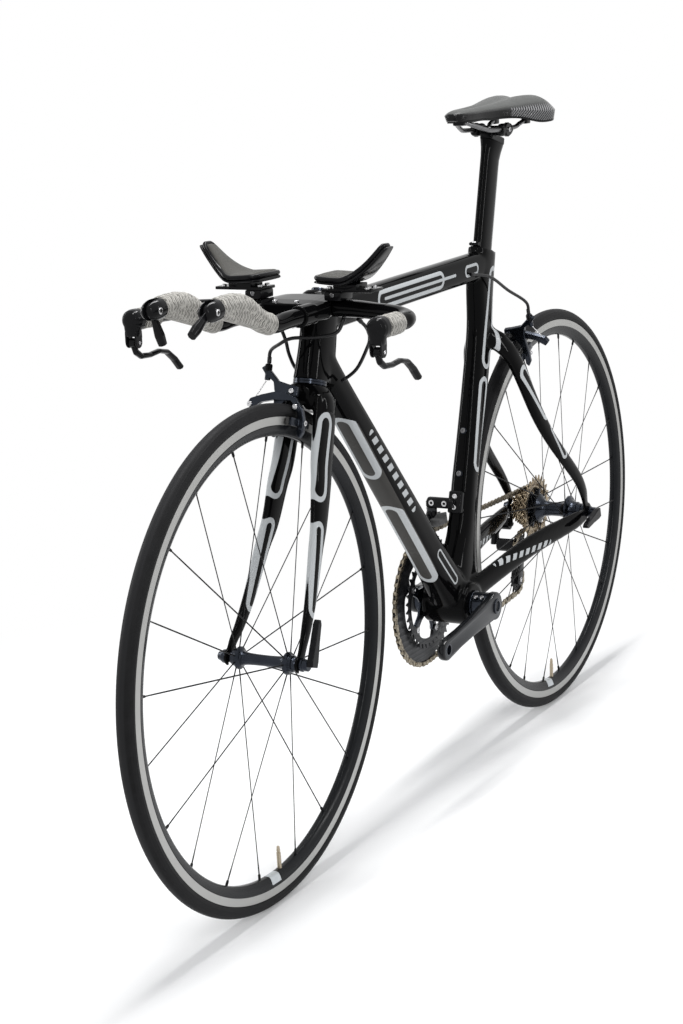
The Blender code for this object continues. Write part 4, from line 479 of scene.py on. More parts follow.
    def melted(self, node, finish, voxel, rounds, cutters=(), angle=38):
        """Melt the overlapping forms into one skin with soft joints, cut it and let it stand for a node."""
        made = self.made(node + "_skin", finish)
        modifier(made, "REMESH", mode="VOXEL", voxel_size=voxel)
        modifier(made, "SMOOTH", factor=0.5, iterations=rounds)
        return place(carved(settled(made, angle), cutters, angle), node)


def edged(node, finish, width):
    """A copy of a plate-like node with its corners broken."""
    shape = Shape(node)
    bmesh.ops.dissolve_limit(shape.bm, angle_limit=math.radians(1.0), verts=shape.bm.verts, edges=shape.bm.edges)
    made = shape.made(node + "_skin", finish)
    modifier(made, "BEVEL", width=width, segments=2, limit_method="ANGLE", angle_limit=math.radians(28))
    place(settled(made, 40), node)


def repeat_tree():
    """The node tree that sets a stamp on every point, turned by the point's own value."""
    name = "Stamp on points"
    if name in bpy.data.node_groups:
        return bpy.data.node_groups[name]
    tree = bpy.data.node_groups.new(name, "GeometryNodeTree")
    for label, kind in (("Geometry", "Geometry"), ("Stamp", "Object"), ("Finish", "Material")):
        tree.interface.new_socket(label, in_out="INPUT", socket_type="NodeSocket" + kind)
    tree.interface.new_socket("Geometry", in_out="OUTPUT", socket_type="NodeSocketGeometry")
    kit = Nodes(tree)
    entry = kit.add("NodeGroupInput").outputs
    turn = kit.add("GeometryNodeInputNamedAttribute", {"Name": "turn"}, data_type="FLOAT_VECTOR")
    words = {
        "Points": entry["Geometry"],
        "Instance": kit.add("GeometryNodeObjectInfo", {"Object": entry["Stamp"]}).outputs["Geometry"],
        "Rotation": kit.add("FunctionNodeEulerToRotation", {0: turn.outputs["Attribute"]}).outputs[0],
    }
    stamped = kit.add("GeometryNodeInstanceOnPoints", words).outputs["Instances"]
    real = kit.add("GeometryNodeRealizeInstances", {"Geometry": stamped}).outputs["Geometry"]
    finished = kit.add("GeometryNodeSetMaterial", {"Geometry": real, "Material": entry["Finish"]})
    kit.add("NodeGroupOutput", {"Geometry": finished.outputs["Geometry"]})
    return tree


def repeated(name, shape, spots, finish, angle=38):
    """One piece made of a shape at many spots, each a point and a rotation."""
    stamp = shape.made(name + "_stamp", finish, angle)
    mesh = bpy.data.meshes.new(name)
    mesh.from_pydata([point for point, _turn in spots], [], [])
    mesh.attributes.new("turn", "FLOAT_VECTOR", "POINT")
    mesh.attributes["turn"].data.foreach_set("vector", [share for _point, turn in spots for share in turn])
    made = link_object(name, mesh)
    step = made.modifiers.new("repeat", "NODES")
    step.node_group = repeat_tree()
    sockets = {item.name: item.identifier for item in step.node_group.interface.items_tree if item.in_out == "INPUT"}
    step[sockets["Stamp"]] = stamp
    step[sockets["Finish"]] = stamp.data.materials[0]
    made.data = evaluated(made)
    made.modifiers.clear()
    made.data.name = name
    if "turn" in made.data.attributes:
        made.data.attributes.remove(made.data.attributes["turn"])
    bpy.data.objects.remove(stamp, do_unlink=True)
    return made


def screws(name, spots, body, radius, height, finish="bright steel", slot="polished_metal"):
    """Socket screws at (point, direction) places, as one piece on one body."""
    sides, rim = 18, radius * 0.56
    turns = [2 * math.pi * i / sides for i in range(sides)]
    collar = ((radius, 0.0), (radius, height * 0.82), (radius * 0.86, height), (rim * 1.12, height))
    rows = [[Vector((*polar(reach, a), z)) for a in turns] for reach, z in collar]
    sixth = math.pi / 3
    for z in (height, height * 0.45):
        flats = [rim * math.cos(sixth / 2) / math.cos((a % sixth) - sixth / 2) for a in turns]
        rows.append([Vector((*polar(flat, a), z)) for flat, a in zip(flats, turns)])
    placed = []
    for point, direction in spots:
        z = direction.normalized()
        x = z.orthogonal().normalized()
        placed.append((point, Matrix((x, z.cross(x), z)).transposed().to_euler()))
    return attach(repeated(name, Shape().loft(rows), placed, finish, 30), body, slot)


# Finishes

SATIN = "satin black"
PLASTIC = "gloss black plastic"
METAL = "black anodised metal"
GRAPHITE = "graphite anodised metal"
STEEL = "bright steel"
DARK_STEEL = "dark steel screws"
HOUSING = "cable housing"
RUBBER = "brake block rubber"
BRASS = "valve brass"
FOIL = "blank foil label"

# For each plain finish: its slot, how metallic it is, its gloss level, its colour as (grain, detail, dark, light), its
# roughness as one value or (grain, detail, the noise's span, the roughness's span), and its relief as (grain, detail,
# depth, strength).
PLAIN_FINISHES = {
    SATIN: (
        "satin_black", 0.0, 0.11,
        (260, 4.0, (0.005, 0.005, 0.0055), (0.011, 0.011, 0.012)),
        (30, 4.0, 0.25, 0.75, 0.34, 0.50),
        (1500, 2.0, 0.00004, 0.6),
    ),
    PLASTIC: (
        "satin_black", 0.0, 0.10,
        (120, 3.0, (0.004, 0.004, 0.0045), (0.008, 0.008, 0.009)),
        (60, 4.0, 0.3, 0.7, 0.09, 0.16),
        (500, 2.0, 0.00002, 0.4),
    ),
    METAL: (
        "anodised_black", 0.85, 0.5,
        (45, 5.0, (0.013, 0.016, 0.022), (0.031, 0.036, 0.047)),
        (160, 4.0, 0.3, 0.7, 0.16, 0.28),
        (2200, 2.0, 0.00002, 0.5),
    ),
    GRAPHITE: (
        "anodised_black", 0.7, 0.5,
        (60, 4.0, (0.018, 0.019, 0.021), (0.036, 0.037, 0.040)),
        (300, 4.0, 0.3, 0.7, 0.30, 0.42),
        (1800, 2.0, 0.00002, 0.5),
    ),
    STEEL: (
        "polished_metal", 1.0, 0.5,
        (70, 4.0, (0.42, 0.42, 0.43), (0.66, 0.66, 0.67)),
        (400, 4.0, 0.3, 0.7, 0.20, 0.34),
        (1500, 3.0, 0.00001, 0.5),
    ),
    DARK_STEEL: (
        "polished_metal", 1.0, 0.5,
        (90, 4.0, (0.10, 0.10, 0.105), (0.22, 0.22, 0.225)),
        (400, 4.0, 0.3, 0.7, 0.28, 0.42),
        (1500, 3.0, 0.00001, 0.5),
    ),
    HOUSING: (
        "cable_skin", 0.0, 0.22,
        (90, 3.0, (0.008, 0.008, 0.009), (0.016, 0.016, 0.017)),
        (300, 3.0, 0.3, 0.7, 0.28, 0.40),
        (1200, 2.0, 0.00003, 0.5),
    ),
    RUBBER: (
        "satin_black", 0.0, 0.5,
        (200, 4.0, (0.018, 0.018, 0.018), (0.035, 0.034, 0.033)),
        0.8,
        (900, 3.0, 0.00008, 0.7),
    ),
    BRASS: (
        "polished_metal", 1.0, 0.5,
        (300, 3.0, (0.30, 0.25, 0.18), (0.46, 0.40, 0.31)),
        (600, 3.0, 0.3, 0.7, 0.24, 0.36),
        None,
    ),
    FOIL: (
        "polished_metal", 0.3, 0.5,
        (150, 3.0, (0.42, 0.45, 0.47), (0.58, 0.61, 0.63)),
        (200, 3.0, 0.3, 0.7, 0.30, 0.42),
        None,
    ),
}


class Finish(Nodes):
    """One procedural material, built node by node."""

    def __init__(self, name, **values):
        self.material = bpy.data.materials.new(name)
        self.material.use_nodes = True
        super().__init__(self.material.node_tree)
        self.shader = self.tree.nodes["Principled BSDF"]
        coordinates = self.add("ShaderNodeTexCoord").outputs
        self.place, self.normal, self.uv = (coordinates[name] for name in ("Object", "Normal", "UV"))
        self.set(**values)

    def set(self, **values):
        """Feed the shader's sockets by name, with spaces written as underscores."""
        for key, value in values.items():
            self.feed(self.shader.inputs[key.replace("_", " ")], value)
        return self

    def dot(self, a, b):
        return self.add("ShaderNodeVectorMath", {0: a, 1: b}, operation="DOT_PRODUCT").outputs["Value"]

    def absolute(self, value):
        return self.math("ABSOLUTE", value)

    def product(self, *values):
        total = values[0]
        for value in values[1:]:
            total = self.math("MULTIPLY", total, value)
        return total

    def widest(self, masks):
        """The union of several masks."""
        total = masks[0]
        for mask in masks[1:]:
            total = self.math("MAXIMUM", total, mask)
        return total

    def parts(self, vector):
        return self.add("ShaderNodeSeparateXYZ", {0: vector}).outputs

    def shifted(self, centre):
        return self.add("ShaderNodeVectorMath", {0: self.place, 1: centre}, operation="SUBTRACT").outputs[0]

    def scaled(self, vector, size):
        return self.add("ShaderNodeMapping", {"Vector": vector, "Scale": size}).outputs[0]

    def noise(self, scale, detail=4.0, place=None, roughness=0.5):
        words = {"Vector": place or self.place, "Scale": scale, "Detail": detail, "Roughness": roughness}
        return self.add("ShaderNodeTexNoise", words).outputs["Fac"]

    def between(self, value, low, high, start=0.0, end=1.0):
        """Map a value's span onto another, held at its ends."""
        words = {"Value": value, "From Min": low, "From Max": high, "To Min": start, "To Max": end}
        return self.add("ShaderNodeMapRange", words).outputs["Result"]

    def mix(self, share, first, second):
        return self.add("ShaderNodeMix", {0: share, 6: first, 7: second}, data_type="RGBA").outputs[2]

    def bump(self, height, distance, strength=1.0):
        words = {"Strength": strength, "Distance": distance, "Height": height}
        return self.set(Normal=self.add("ShaderNodeBump", words).outputs["Normal"])

    def radius(self, centre):
        """Distance from a wheel's axle."""
        flat = self.scaled(self.shifted(centre), (1, 0, 1))
        return self.add("ShaderNodeVectorMath", {0: flat}, operation="LENGTH").outputs["Value"]

    def stadium(self, centre, along, across, half_long, half_wide, line=0.0, toward=None, depth=0.05, dash=None):
        """A long rounded bar, its outline, or a row of slanted dashes, on faces that look one way."""
        soft = 0.00020
        offset = self.shifted(centre)
        u, v = self.dot(offset, along), self.dot(offset, across)
        reach = self.math("MAXIMUM", self.math("SUBTRACT", self.absolute(u), half_long - half_wide), 0.0)
        square = self.math("ADD", self.product(reach, reach), self.product(v, v))
        distance = self.math("SUBTRACT", self.math("SQRT", square), half_wide)
        if line:
            distance = self.math("SUBTRACT", self.absolute(distance), line / 2)
        mask = self.between(distance, -soft, soft, 1.0, 0.0)
        if dash:
            pitch, slant = dash
            lean = self.math("ADD", u, self.product(v, slant))
            share = self.math("FRACT", self.math("DIVIDE", lean, pitch))
            off_middle = self.absolute(self.math("SUBTRACT", share, 0.5))
            mask = self.product(mask, self.between(off_middle, 0.27, 0.29, 1.0, 0.0))
        if toward:
            near = self.between(self.absolute(self.dot(offset, toward)), depth, depth + soft, 1.0, 0.0)
            look = self.between(self.dot(self.normal, toward), 0.30, 0.34)
            mask = self.product(mask, near, look)
        return mask


def shades(colour, share):
    return [part * share for part in colour]


@cache
def plain_finish(name):
    """A finish whose colour, roughness and relief each vary in a fine grain."""
    _slot, metallic, level, (scale, detail, dark, light), rough, relief = PLAIN_FINISHES[name]
    kit = Finish(name, Metallic=metallic, Specular_IOR_Level=level)
    kit.set(Base_Color=kit.mix(kit.noise(scale, detail), dark, light))
    kit.set(Roughness=kit.between(kit.noise(*rough[:2]), *rough[2:]) if isinstance(rough, tuple) else rough)
    if relief:
        kit.bump(kit.noise(*relief[:2]), *relief[2:])
    return kit.material


def lacquer(name, bands=(), panels=()):
    """Gloss lacquer with painted bands; each band and panel is the words of a stadium."""
    paint = bpy.context.scene.bike_paint
    kit = Finish(name, Metallic=0.0, IOR=1.5, Coat_Weight=paint.coat, Coat_Roughness=0.03)
    fleck = kit.between(kit.noise(900, 2.0), 0.35, 0.75)
    colour = kit.mix(fleck, paint.lacquer, shades(paint.lacquer, 1.35))
    roughness = kit.between(kit.noise(18, 3.0), 0.3, 0.7, 0.04, 0.07)
    layers = [(panels, paint.panel, 0.22)] if panels else []
    if bands:
        sparkle = kit.between(kit.noise(1400, 1.0), 0.3, 0.8, 0.88, 1.06)
        layers.append((bands, kit.mix(sparkle, shades(paint.band, 0.85), paint.band), 0.12))
    for marks, tint, dull in layers:
        mask = kit.widest([kit.stadium(*words) for words in marks])
        colour = kit.mix(mask, colour, tint)
        roughness = kit.math("ADD", roughness, kit.product(mask, dull))
    kit.set(Base_Color=colour, Roughness=roughness, Specular_IOR_Level=0.035)
    return kit.bump(kit.noise(240, 2.0), 0.00002, 0.4).material


@cache
def black_lacquer():
    return lacquer("black lacquer")


def chain_nickel(tone, light, dark):
    """Plated steel with a little oil and dirt in its corners."""
    kit = Finish("chain nickel " + tone, Metallic=1.0)
    dirt = kit.between(kit.noise(220, 5.0, roughness=0.6), 0.42, 0.62)
    kit.set(Base_Color=kit.mix(dirt, light, dark), Roughness=kit.between(dirt, 0, 1, 0.26, 0.48))
    return kit.bump(kit.noise(900, 3.0), 0.00003, 0.5).material


def tyre_rubber(end):
    """Slick rubber with moulded lines round the shoulder and fine dust."""
    rubber = bpy.context.scene.bike_wheels.tyre
    kit = Finish("tyre rubber " + end, Metallic=0.0, Specular_IOR_Level=0.10)
    reach = kit.radius(AXLE[end])
    dust = kit.noise(55, 6.0, roughness=0.65)
    colour = kit.mix(kit.between(dust, 0.35, 0.75), rubber, shades(rubber, 1.9))
    tread = kit.between(reach, 0.3325, 0.3335)
    kit.set(Base_Color=kit.mix(tread, colour, shades(rubber, 2.3)))
    kit.set(Roughness=kit.between(dust, 0.2, 0.8, 0.50, 0.68))
    lines = kit.math("SINE", kit.product(reach, 9000))
    ribs = kit.product(lines, kit.between(reach, 0.3265, 0.3285, 0.5, 0.0))
    return kit.bump(kit.math("ADD", ribs, kit.noise(700, 4.0)), 0.00010, 0.6).material


def rim_metal(end):
    """Black anodised rim with a turned brake track."""
    silver = bpy.context.scene.bike_wheels.track
    kit = Finish("rim metal " + end, Specular_IOR_Level=0.12)
    reach = kit.radius(AXLE[end])
    foot = RIM_EDGE_RADIUS - BRAKE_TRACK + 0.0006
    track = kit.product(kit.between(reach, foot, foot + 0.0002), kit.between(reach, 0.3168, 0.3170, 1.0, 0.0))
    rings = kit.add("ShaderNodeCombineXYZ", {0: kit.product(reach, 1600.0)}).outputs[0]
    turned = kit.noise(2.0, 6.0, place=rings, roughness=0.8)
    worn = kit.mix(kit.between(kit.noise(24, 5.0), 0.35, 0.7, 0.82, 1.05), shades(silver, 0.75), silver)
    black = kit.mix(kit.noise(70, 4.0), (0.004, 0.0045, 0.0055), (0.009, 0.010, 0.012))
    kit.set(Base_Color=kit.mix(track, black, worn), Metallic=kit.between(track, 0, 1, 0.0, 0.9))
    kit.set(Roughness=kit.between(track, 0, 1, 0.24, 0.40))
    return kit.bump(kit.product(turned, track), 0.00012, 0.7).material


@cache
def tape_cloth():
    """Pale tape printed with a net of broken dark threads, wound in overlapping turns."""
    tape = bpy.context.scene.bike_tape
    kit = Finish("bar tape", Metallic=0.0, Roughness=0.86, Specular_IOR_Level=0.25, Sheen_Weight=0.12)
    around_it, along_it, _depth = kit.parts(kit.uv)
    wobble = kit.product(kit.math("SUBTRACT", kit.noise(150, 3.0), 0.5), 0.9)
    corner = kit.math("FRACT", kit.product(around_it, 7.0))
    zigzag = kit.product(kit.absolute(kit.math("SUBTRACT", corner, 0.5)), 0.9)
    threads = []
    for rise, shift, low, high in ((285.0, 0.0, 0.10, 0.19), (142.0, 0.37, 0.05, 0.10)):
        climb = kit.math("ADD", kit.product(along_it, rise), zigzag)
        phase = kit.math("FRACT", kit.math("ADD", climb, kit.math("ADD", wobble, shift)))
        threads.append(kit.between(kit.absolute(kit.math("SUBTRACT", phase, 0.5)), low, high, 1.0, 0.0))
    net = kit.product(kit.widest(threads), kit.between(kit.noise(210, 3.0), 0.36, 0.46))
    pale = kit.mix(kit.noise(60, 5.0), shades(tape.colour, 0.80), tape.colour)
    kit.set(Base_Color=kit.mix(kit.product(net, 0.9), pale, tape.thread))
    height = kit.math("ADD", kit.product(net, -0.6), kit.noise(1300, 3.0))
    return kit.bump(height, 0.00022, 0.8).material


@cache
def pad_cloth():
    """Knitted cloth over foam, a fine ribbed weave."""
    kit = Finish("pad cloth", Metallic=0.0, Roughness=0.95, Specular_IOR_Level=0.2)
    kit.set(Sheen_Weight=0.25, Sheen_Roughness=0.5)
    warp = kit.math("SINE", kit.dot(kit.place, (5200.0, 900.0, 0.0)))
    weft = kit.math("SINE", kit.dot(kit.place, (-900.0, 5200.0, 2600.0)))
    weave = kit.product(warp, weft)
    base = kit.mix(kit.noise(70, 5.0), (0.022, 0.021, 0.018), (0.050, 0.048, 0.041))
    kit.set(Base_Color=kit.mix(kit.between(weave, -1, 1, 0.0, 0.55), base, (0.085, 0.082, 0.072)))
    return kit.bump(kit.math("ADD", weave, kit.noise(900, 3.0)), 0.00016, 0.8).material


def saddle_hide():
    """Smooth synthetic hide, with a woven stripe panel on each rear wing; its rougher top is painted a lighter grey as
    a painted sheen of the light from above.
    """
    kit = Finish("saddle hide", Metallic=0.0, Specular_IOR_Level=0.16)
    black = (0.004, 0.004, 0.0045)
    forward, left, _up = kit.parts(kit.place)
    words = {"Vector": kit.place, "Scale": 900.0}
    pebble = kit.add("ShaderNodeTexVoronoi", words, feature="DISTANCE_TO_EDGE").outputs["Distance"]
    up_facing = kit.between(kit.dot(kit.normal, UP), 0.72, 0.84)
    aft = kit.between(forward, saddle_place(0.148, 0, 0).x, saddle_place(0.152, 0, 0).x)
    wing = kit.product(kit.between(kit.absolute(left), 0.030, 0.031), aft)
    wing = kit.product(wing, kit.between(up_facing, 0.0, 0.5, 1.0, 0.0))
    stripe = kit.math("SINE", kit.dot(kit.place, (1150.0, 0.0, 1150.0)))
    weave = kit.math("SINE", kit.dot(kit.place, (2800.0, -2800.0, 0.0)))
    pattern = kit.between(kit.math("ADD", stripe, kit.product(weave, 0.15)), -0.1, 0.35)
    # Painted sheen: the up-facing top gets a lighter grey as if lit from above, while the sides stay black.
    top = kit.mix(kit.noise(40, 4.0), (0.050, 0.052, 0.050), (0.070, 0.072, 0.070))
    carbon = kit.mix(pattern, black, (0.20, 0.20, 0.205))
    kit.set(Base_Color=kit.mix(wing, kit.mix(up_facing, black, top), carbon))
    kit.set(Roughness=kit.between(up_facing, 0, 1, 0.08, 0.42))
    return kit.bump(kit.between(pebble, 0.0, 0.12), 0.00006, 0.5).material


@cache
def crank_finish():
    """Gloss edges round a satin graphite face."""
    kit = Finish("crank finish", Specular_IOR_Level=0.25)
    face = kit.between(kit.absolute(kit.dot(kit.normal, LEFT)), 0.93, 0.97)
    brushed = kit.noise(60, 4.0, place=kit.scaled(kit.place, (3, 1, 30)))
    grey = kit.mix(brushed, (0.020, 0.022, 0.025), (0.040, 0.042, 0.046))
    kit.set(Base_Color=kit.mix(face, (0.005, 0.0055, 0.0065), grey), Metallic=kit.between(face, 0, 1, 0.0, 0.5))
    kit.set(Roughness=kit.between(face, 0, 1, 0.16, 0.38))
    return kit.bump(kit.noise(900, 3.0), 0.00002, 0.5).material


# Settings


def colour_setting(name, description, default):
    return bpy.props.FloatVectorProperty(
        name=name, description=description, subtype="COLOR", size=3, min=0.0, max=1.0, default=default
    )


def size_setting(name, description, default, **limits):
    words = {"min": 0.0, "unit": "LENGTH", **limits}
    return bpy.props.FloatProperty(name=name, description=description, default=default, **words)


class BicyclePaintSettings(bpy.types.PropertyGroup):
    """The lacquer and what is painted on it."""

    lacquer: colour_setting("Lacquer", "Colour of the frame's lacquer", (0.0022, 0.0022, 0.0024))
    band: colour_setting("Bands", "Colour of the painted outlines", (0.50, 0.52, 0.53))
    panel: colour_setting("Panels", "Colour of the satin panels inside the outlines", (0.060, 0.058, 0.055))
    line: size_setting("Line", "Width of the painted outlines", 0.0072)
    coat: size_setting("Clear coat", "Strength of the clear coat over the paint", 0.03, max=1.0, unit="NONE")


class BicycleWheelSettings(bpy.types.PropertyGroup):
    """Sizes and colours of the wheels."""

    tyre: colour_setting("Tyre", "Colour of the tyre rubber", (0.0075, 0.0075, 0.008))
    track: colour_setting("Brake track", "Colour of the turned brake track", (0.40, 0.40, 0.39))
    blade: size_setting("Spoke blade", "Width of a bladed spoke at its middle", 0.0021)
    wire: size_setting("Spoke wire", "Thickness of a spoke at its ends", 0.0018)


class BicycleTapeSettings(bpy.types.PropertyGroup):
    """How the handlebar tape is wound."""

    colour: colour_setting("Tape", "Colour of the tape's cloth", (0.47, 0.455, 0.42))
    thread: colour_setting("Threads", "Colour of the printed net", (0.045, 0.043, 0.038))
    turn: size_setting("Turn", "Distance between two turns of the tape", 0.0175)
    step: size_setting("Overlap", "Height of the step where one turn lies on the last", 0.0007)


class BicycleStageSettings(bpy.types.PropertyGroup):
    """The floor, the light and the camera."""

    floor: size_setting("Floor", "Radius of the floor", 6.0)
    lens: size_setting("Lens", "Focal length", 76.126, min=1.0, unit="CAMERA")
    key: size_setting("Key light", "Power of the lamp overhead", 60.0, unit="NONE")
    fill: size_setting("Side light", "Power of each side lamp", 26.0, unit="NONE")


SETTINGS = {
    "bike_paint": BicyclePaintSettings,
    "bike_wheels": BicycleWheelSettings,
    "bike_tape": BicycleTapeSettings,
    "bike_stage": BicycleStageSettings,
}


# Wheels


def tyre(end):
    half = TYRE_WIDTH / 2
    middle = WHEEL_RADIUS - half
    lip = RIM_WIDTH / 2 - RIM_WALL - SEAT_GAP - 0.0001
    left = [(lip - 0.0018, RIM_EDGE_RADIUS - 0.0077), (lip, RIM_EDGE_RADIUS + SEAT_GAP), (0.0098, 0.3174)]
    for degrees in (-24, -15, -8, -2, 1, 3, 5, 12, 20, 28, 36, 38, 40, 42, 50, 58, 66, 74, 82, 90):
        angle = math.radians(degrees)
        bead = 0.00018 if degrees in (1, 3, 38, 40) else 0.0
        inset = 0.0001 - bead if degrees < 60 else 0
        left.append(((half - 0.0001 + bead) * math.cos(angle), middle + (half - inset) * math.sin(angle)))
    shape = Shape().turned([*left, *mirrored(left[:-1])], AXLE[end], LEFT, WHEEL_SIDES, closed=True)
    shape.skin(end + "_tyre", tyre_rubber(end), 50)


def rim_outline():
    half = RIM_WIDTH / 2
    lip = half - RIM_WALL
    foot = RIM_EDGE_RADIUS - BRAKE_TRACK
    outer = [(lip - 0.0018, RIM_EDGE_RADIUS - 0.008), (lip, RIM_EDGE_RADIUS)]
    outer += [(half - 0.0002, RIM_EDGE_RADIUS), (half, RIM_EDGE_RADIUS - 0.0003), (half, foot + 0.0004)]
    outer += [(half - 0.0003, foot), (half - 0.0001, foot - 0.0006), (0.0092, 0.3022), (0.0083, 0.2990)]
    outer += [(0.0070, 0.2958), (0.0054, 0.2932), (0.0034, 0.2918), (0.0012, 0.2915)]
    return [*outer, *mirrored(outer)]


def rim(end):
    """A rim, its valve and a blank label beside the valve."""
    node, centre, valve_angle = end + "_rim", AXLE[end], VALVE_ANGLE[end]
    body = BODY_OF[node]
    Shape().turned(rim_outline(), centre, LEFT, WHEEL_SIDES, closed=True).skin(node, rim_metal(end), 30)
    inward = around(Vector(), 1, valve_angle)
    stem = [(0, 0), (0, 0.0030), (0.006, 0.0030)]
    for k in range(14):
        along = 0.006 + 0.0012 * k
        stem += [(along, 0.00285), (along + 0.0006, 0.0030)]
    stem += [(0.0232, 0.0029), (0.0236, 0.0022), (0.0250, 0.0022), (0.0254, 0.0027), (0.0316, 0.0020), (0.0330, 0)]
    valve = Shape().turned(stem, centre + inward * (RIM_INNER + 0.001), -inward, 20)
    valve.fit(node + "_valve", BRASS, body, 30)
    section = [(along, radius) for along, radius in rim_outline() if radius < 0.3030]
    rows = []
    for k in range(9):
        angle = valve_angle + math.radians(4.6 + 4.4 * (k / 8 - 0.5))
        outer, inner = (
            [around(centre, radius - grow, angle, along + math.copysign(grow, along)) for along, radius in section]
            for grow in (0.00012, 0.00002)
        )
        rows.append([*outer, *reversed(inner)])
    Shape().loft(rows).fit(node + "_label", FOIL, body, 50)


def add_spoke(shape, start, end):
    """A bladed spoke with its bent head in the flange and its nipple at the rim."""
    wheels = bpy.context.scene.bike_wheels
    along = (end - start).normalized()
    length = (end - start).length
    wire, blade = wheels.wire / 2, wheels.blade / 2
    flat = along.cross(LEFT).normalized()
    thick = flat.cross(along)
    stations = [(0.000, wire, wire), (0.010, wire, wire), (0.030, blade, 0.00045), (length - 0.032, blade, 0.00045)]
    stations += [(length - 0.016, wire, wire), (length, wire, wire)]
    shape.loft([ring_points(start + along * s, flat, thick, a, b, 2.0, 8) for s, a, b in stations])
    shape.rod(start - LEFT * 0.0022, start + LEFT * 0.0022, wire * 1.25, 8, 0.0002)
    nipple = [(0, 0), (0, 0.0019), (0.0070, 0.0018), (0.0082, 0.0012), (0.0082, 0)]
    shape.turned(nipple, end + along * 0.0006, -along, 8)


def hub(end):
    """A hub's turned shell, and its spokes as one group repeated round the axle."""
    bore = AXLE_RADIUS + 0.0007
    tip = HUB_WIDTH[end] / 2 - SEAT_GAP
    spokes = Shape()
    reach = RIM_INNER + 0.0004
    zero = Vector()
    if end == "front":
        f = FRONT_FLANGE
        half = [(0.0, 0.0074), (0.012, 0.0075), (0.022, 0.0080), (f - 0.0080, 0.0088), (f - 0.0042, 0.0104)]
        half += [(f - 0.0022, 0.0142), (f - 0.0014, 0.0150), (f + 0.0014, 0.0150), (f + 0.0022, 0.0142)]
        half += [(f + 0.0036, 0.0120), (f + 0.0062, 0.0114), (f + 0.0082, 0.0112), (f + 0.0088, 0.0096)]
        half += [(tip - 0.0012, 0.0086), (tip, 0.0078), (tip, bore)]
        profile = [*mirrored(half), *half[1:]]
        groups = FRONT_SPOKES // 2
        for k, side in enumerate((1, -1)):
            angle = FRONT_SPOKE_START + 2 * math.pi * k / FRONT_SPOKES
            start = around(zero, 0.0122, angle, side * (FRONT_FLANGE + 0.0012))
            add_spoke(spokes, start, around(zero, reach, angle, side * 0.0015))
    else:
        right, left = REAR_FLANGE_RIGHT, REAR_FLANGE_LEFT
        profile = [(right - 0.0035, bore), (right - 0.0035, 0.0165), (right - 0.0022, 0.0232), (right - 0.0014, 0.0240)]
        profile += [(right + 0.0014, 0.0240), (right + 0.0022, 0.0230), (right + 0.0048, 0.0170)]
        profile += [(right + 0.0110, 0.0128), (right + 0.0230, 0.0116), (left - 0.0160, 0.0116)]
        profile += [(left - 0.0080, 0.0130), (left - 0.0040, 0.0165), (left - 0.0022, 0.0230), (left - 0.0014, 0.0240)]
        profile += [(left + 0.0014, 0.0240), (left + 0.0022, 0.0230), (left + 0.0044, 0.0162), (left + 0.0070, 0.0150)]
        profile += [(tip - 0.0140, 0.0146), (tip - 0.0136, 0.0128), (tip - 0.0070, 0.0126), (tip - 0.0064, 0.0104)]
        profile += [(tip - 0.0010, 0.0100), (tip, 0.0090), (tip, bore)]
        groups = REAR_SPOKES // 4
        for k in range(4):
            flange, side = (left, 1) if k % 2 == 0 else (right, -1)
            lean = 1 if k < 2 else -1
            angle = REAR_SPOKE_START + 2 * math.pi * k / REAR_SPOKES
            start = around(zero, 0.0205, angle + lean * REAR_SPOKE_CROSS, flange + lean * 0.0014)
            add_spoke(spokes, start, around(zero, reach, angle, side * 0.0015))
    node = end + "_hub"
    Shape().turned(profile, AXLE[end], LEFT, 64, closed=True).skin(node, METAL, 34)
    spots = [(AXLE[end], Euler((0, -2 * math.pi * k / groups, 0))) for k in range(groups)]
    attach(repeated(node + "_spokes", spokes, spots, SATIN), BODY_OF[node], "satin_black")


def axle(end):
    """The axle's ends: a knurled nut on the right, the skewer's cam body on the left."""
    reach = HUB_WIDTH[end] / 2 + DROPOUT + SEAT_GAP
    nut = [(0.0130, 0), (0.0130, 0.0042), (0.0124, 0.0056), (0.0092, 0.0066), (0.0050, 0.0092), (0.0012, 0.0095)]
    nut += [(SEAT_GAP, 0.0090), (SEAT_GAP, AXLE_RADIUS)]
    cam = [(SEAT_GAP, AXLE_RADIUS), (SEAT_GAP, 0.0086), (0.0010, 0.0090), (0.0040, 0.0090), (0.0046, 0.0078)]
    cam += [(0.0112, 0.0078), (0.0120, 0.0070), (0.0120, 0)]
    profile = [(-reach - along, radius) for along, radius in nut] + [(reach + along, radius) for along, radius in cam]
    Shape().turned(profile, AXLE[end], LEFT, 32).skin(end + "_axle", METAL, 30)


def skewer_lever(end):
    """The quick-release lever, drawn in to a slim blade beyond its round base."""
    node, centre = end + "_skewer_lever", AXLE[end]
    shape = Shape(node)
    flat = [Vector((vert.co.x - centre.x, 0, vert.co.z - centre.z)) for vert in shape.bm.verts]
    along = max(flat, key=lambda offset: offset.length).normalized()
    for vert, offset in zip(shape.bm.verts, flat):
        reach = offset.dot(along)
        if reach > 0.012:
            vert.co -= (offset - along * reach) * 0.42 * min(1.0, (reach - 0.012) / 0.015)
    shape.melted(node, PLASTIC, 0.0005, 14)


class BICYCLE_OT_wheels(bpy.types.Operator):
    """Build both wheels: tyres, rims with valves, hubs and bladed spokes"""

    bl_idname = "bicycle.wheels"
    bl_label = "Wheels"

    def execute(self, context):
        for end in AXLE:
            for build in (tyre, rim, hub, axle, skewer_lever):
                build(end)
        return {"FINISHED"}


# Drivetrain


def pitch_radius(teeth):
    return PITCH / (2 * math.sin(math.pi / teeth))


def cog_y(index):
    return SMALLEST_COG_Y + COG_PITCH * index


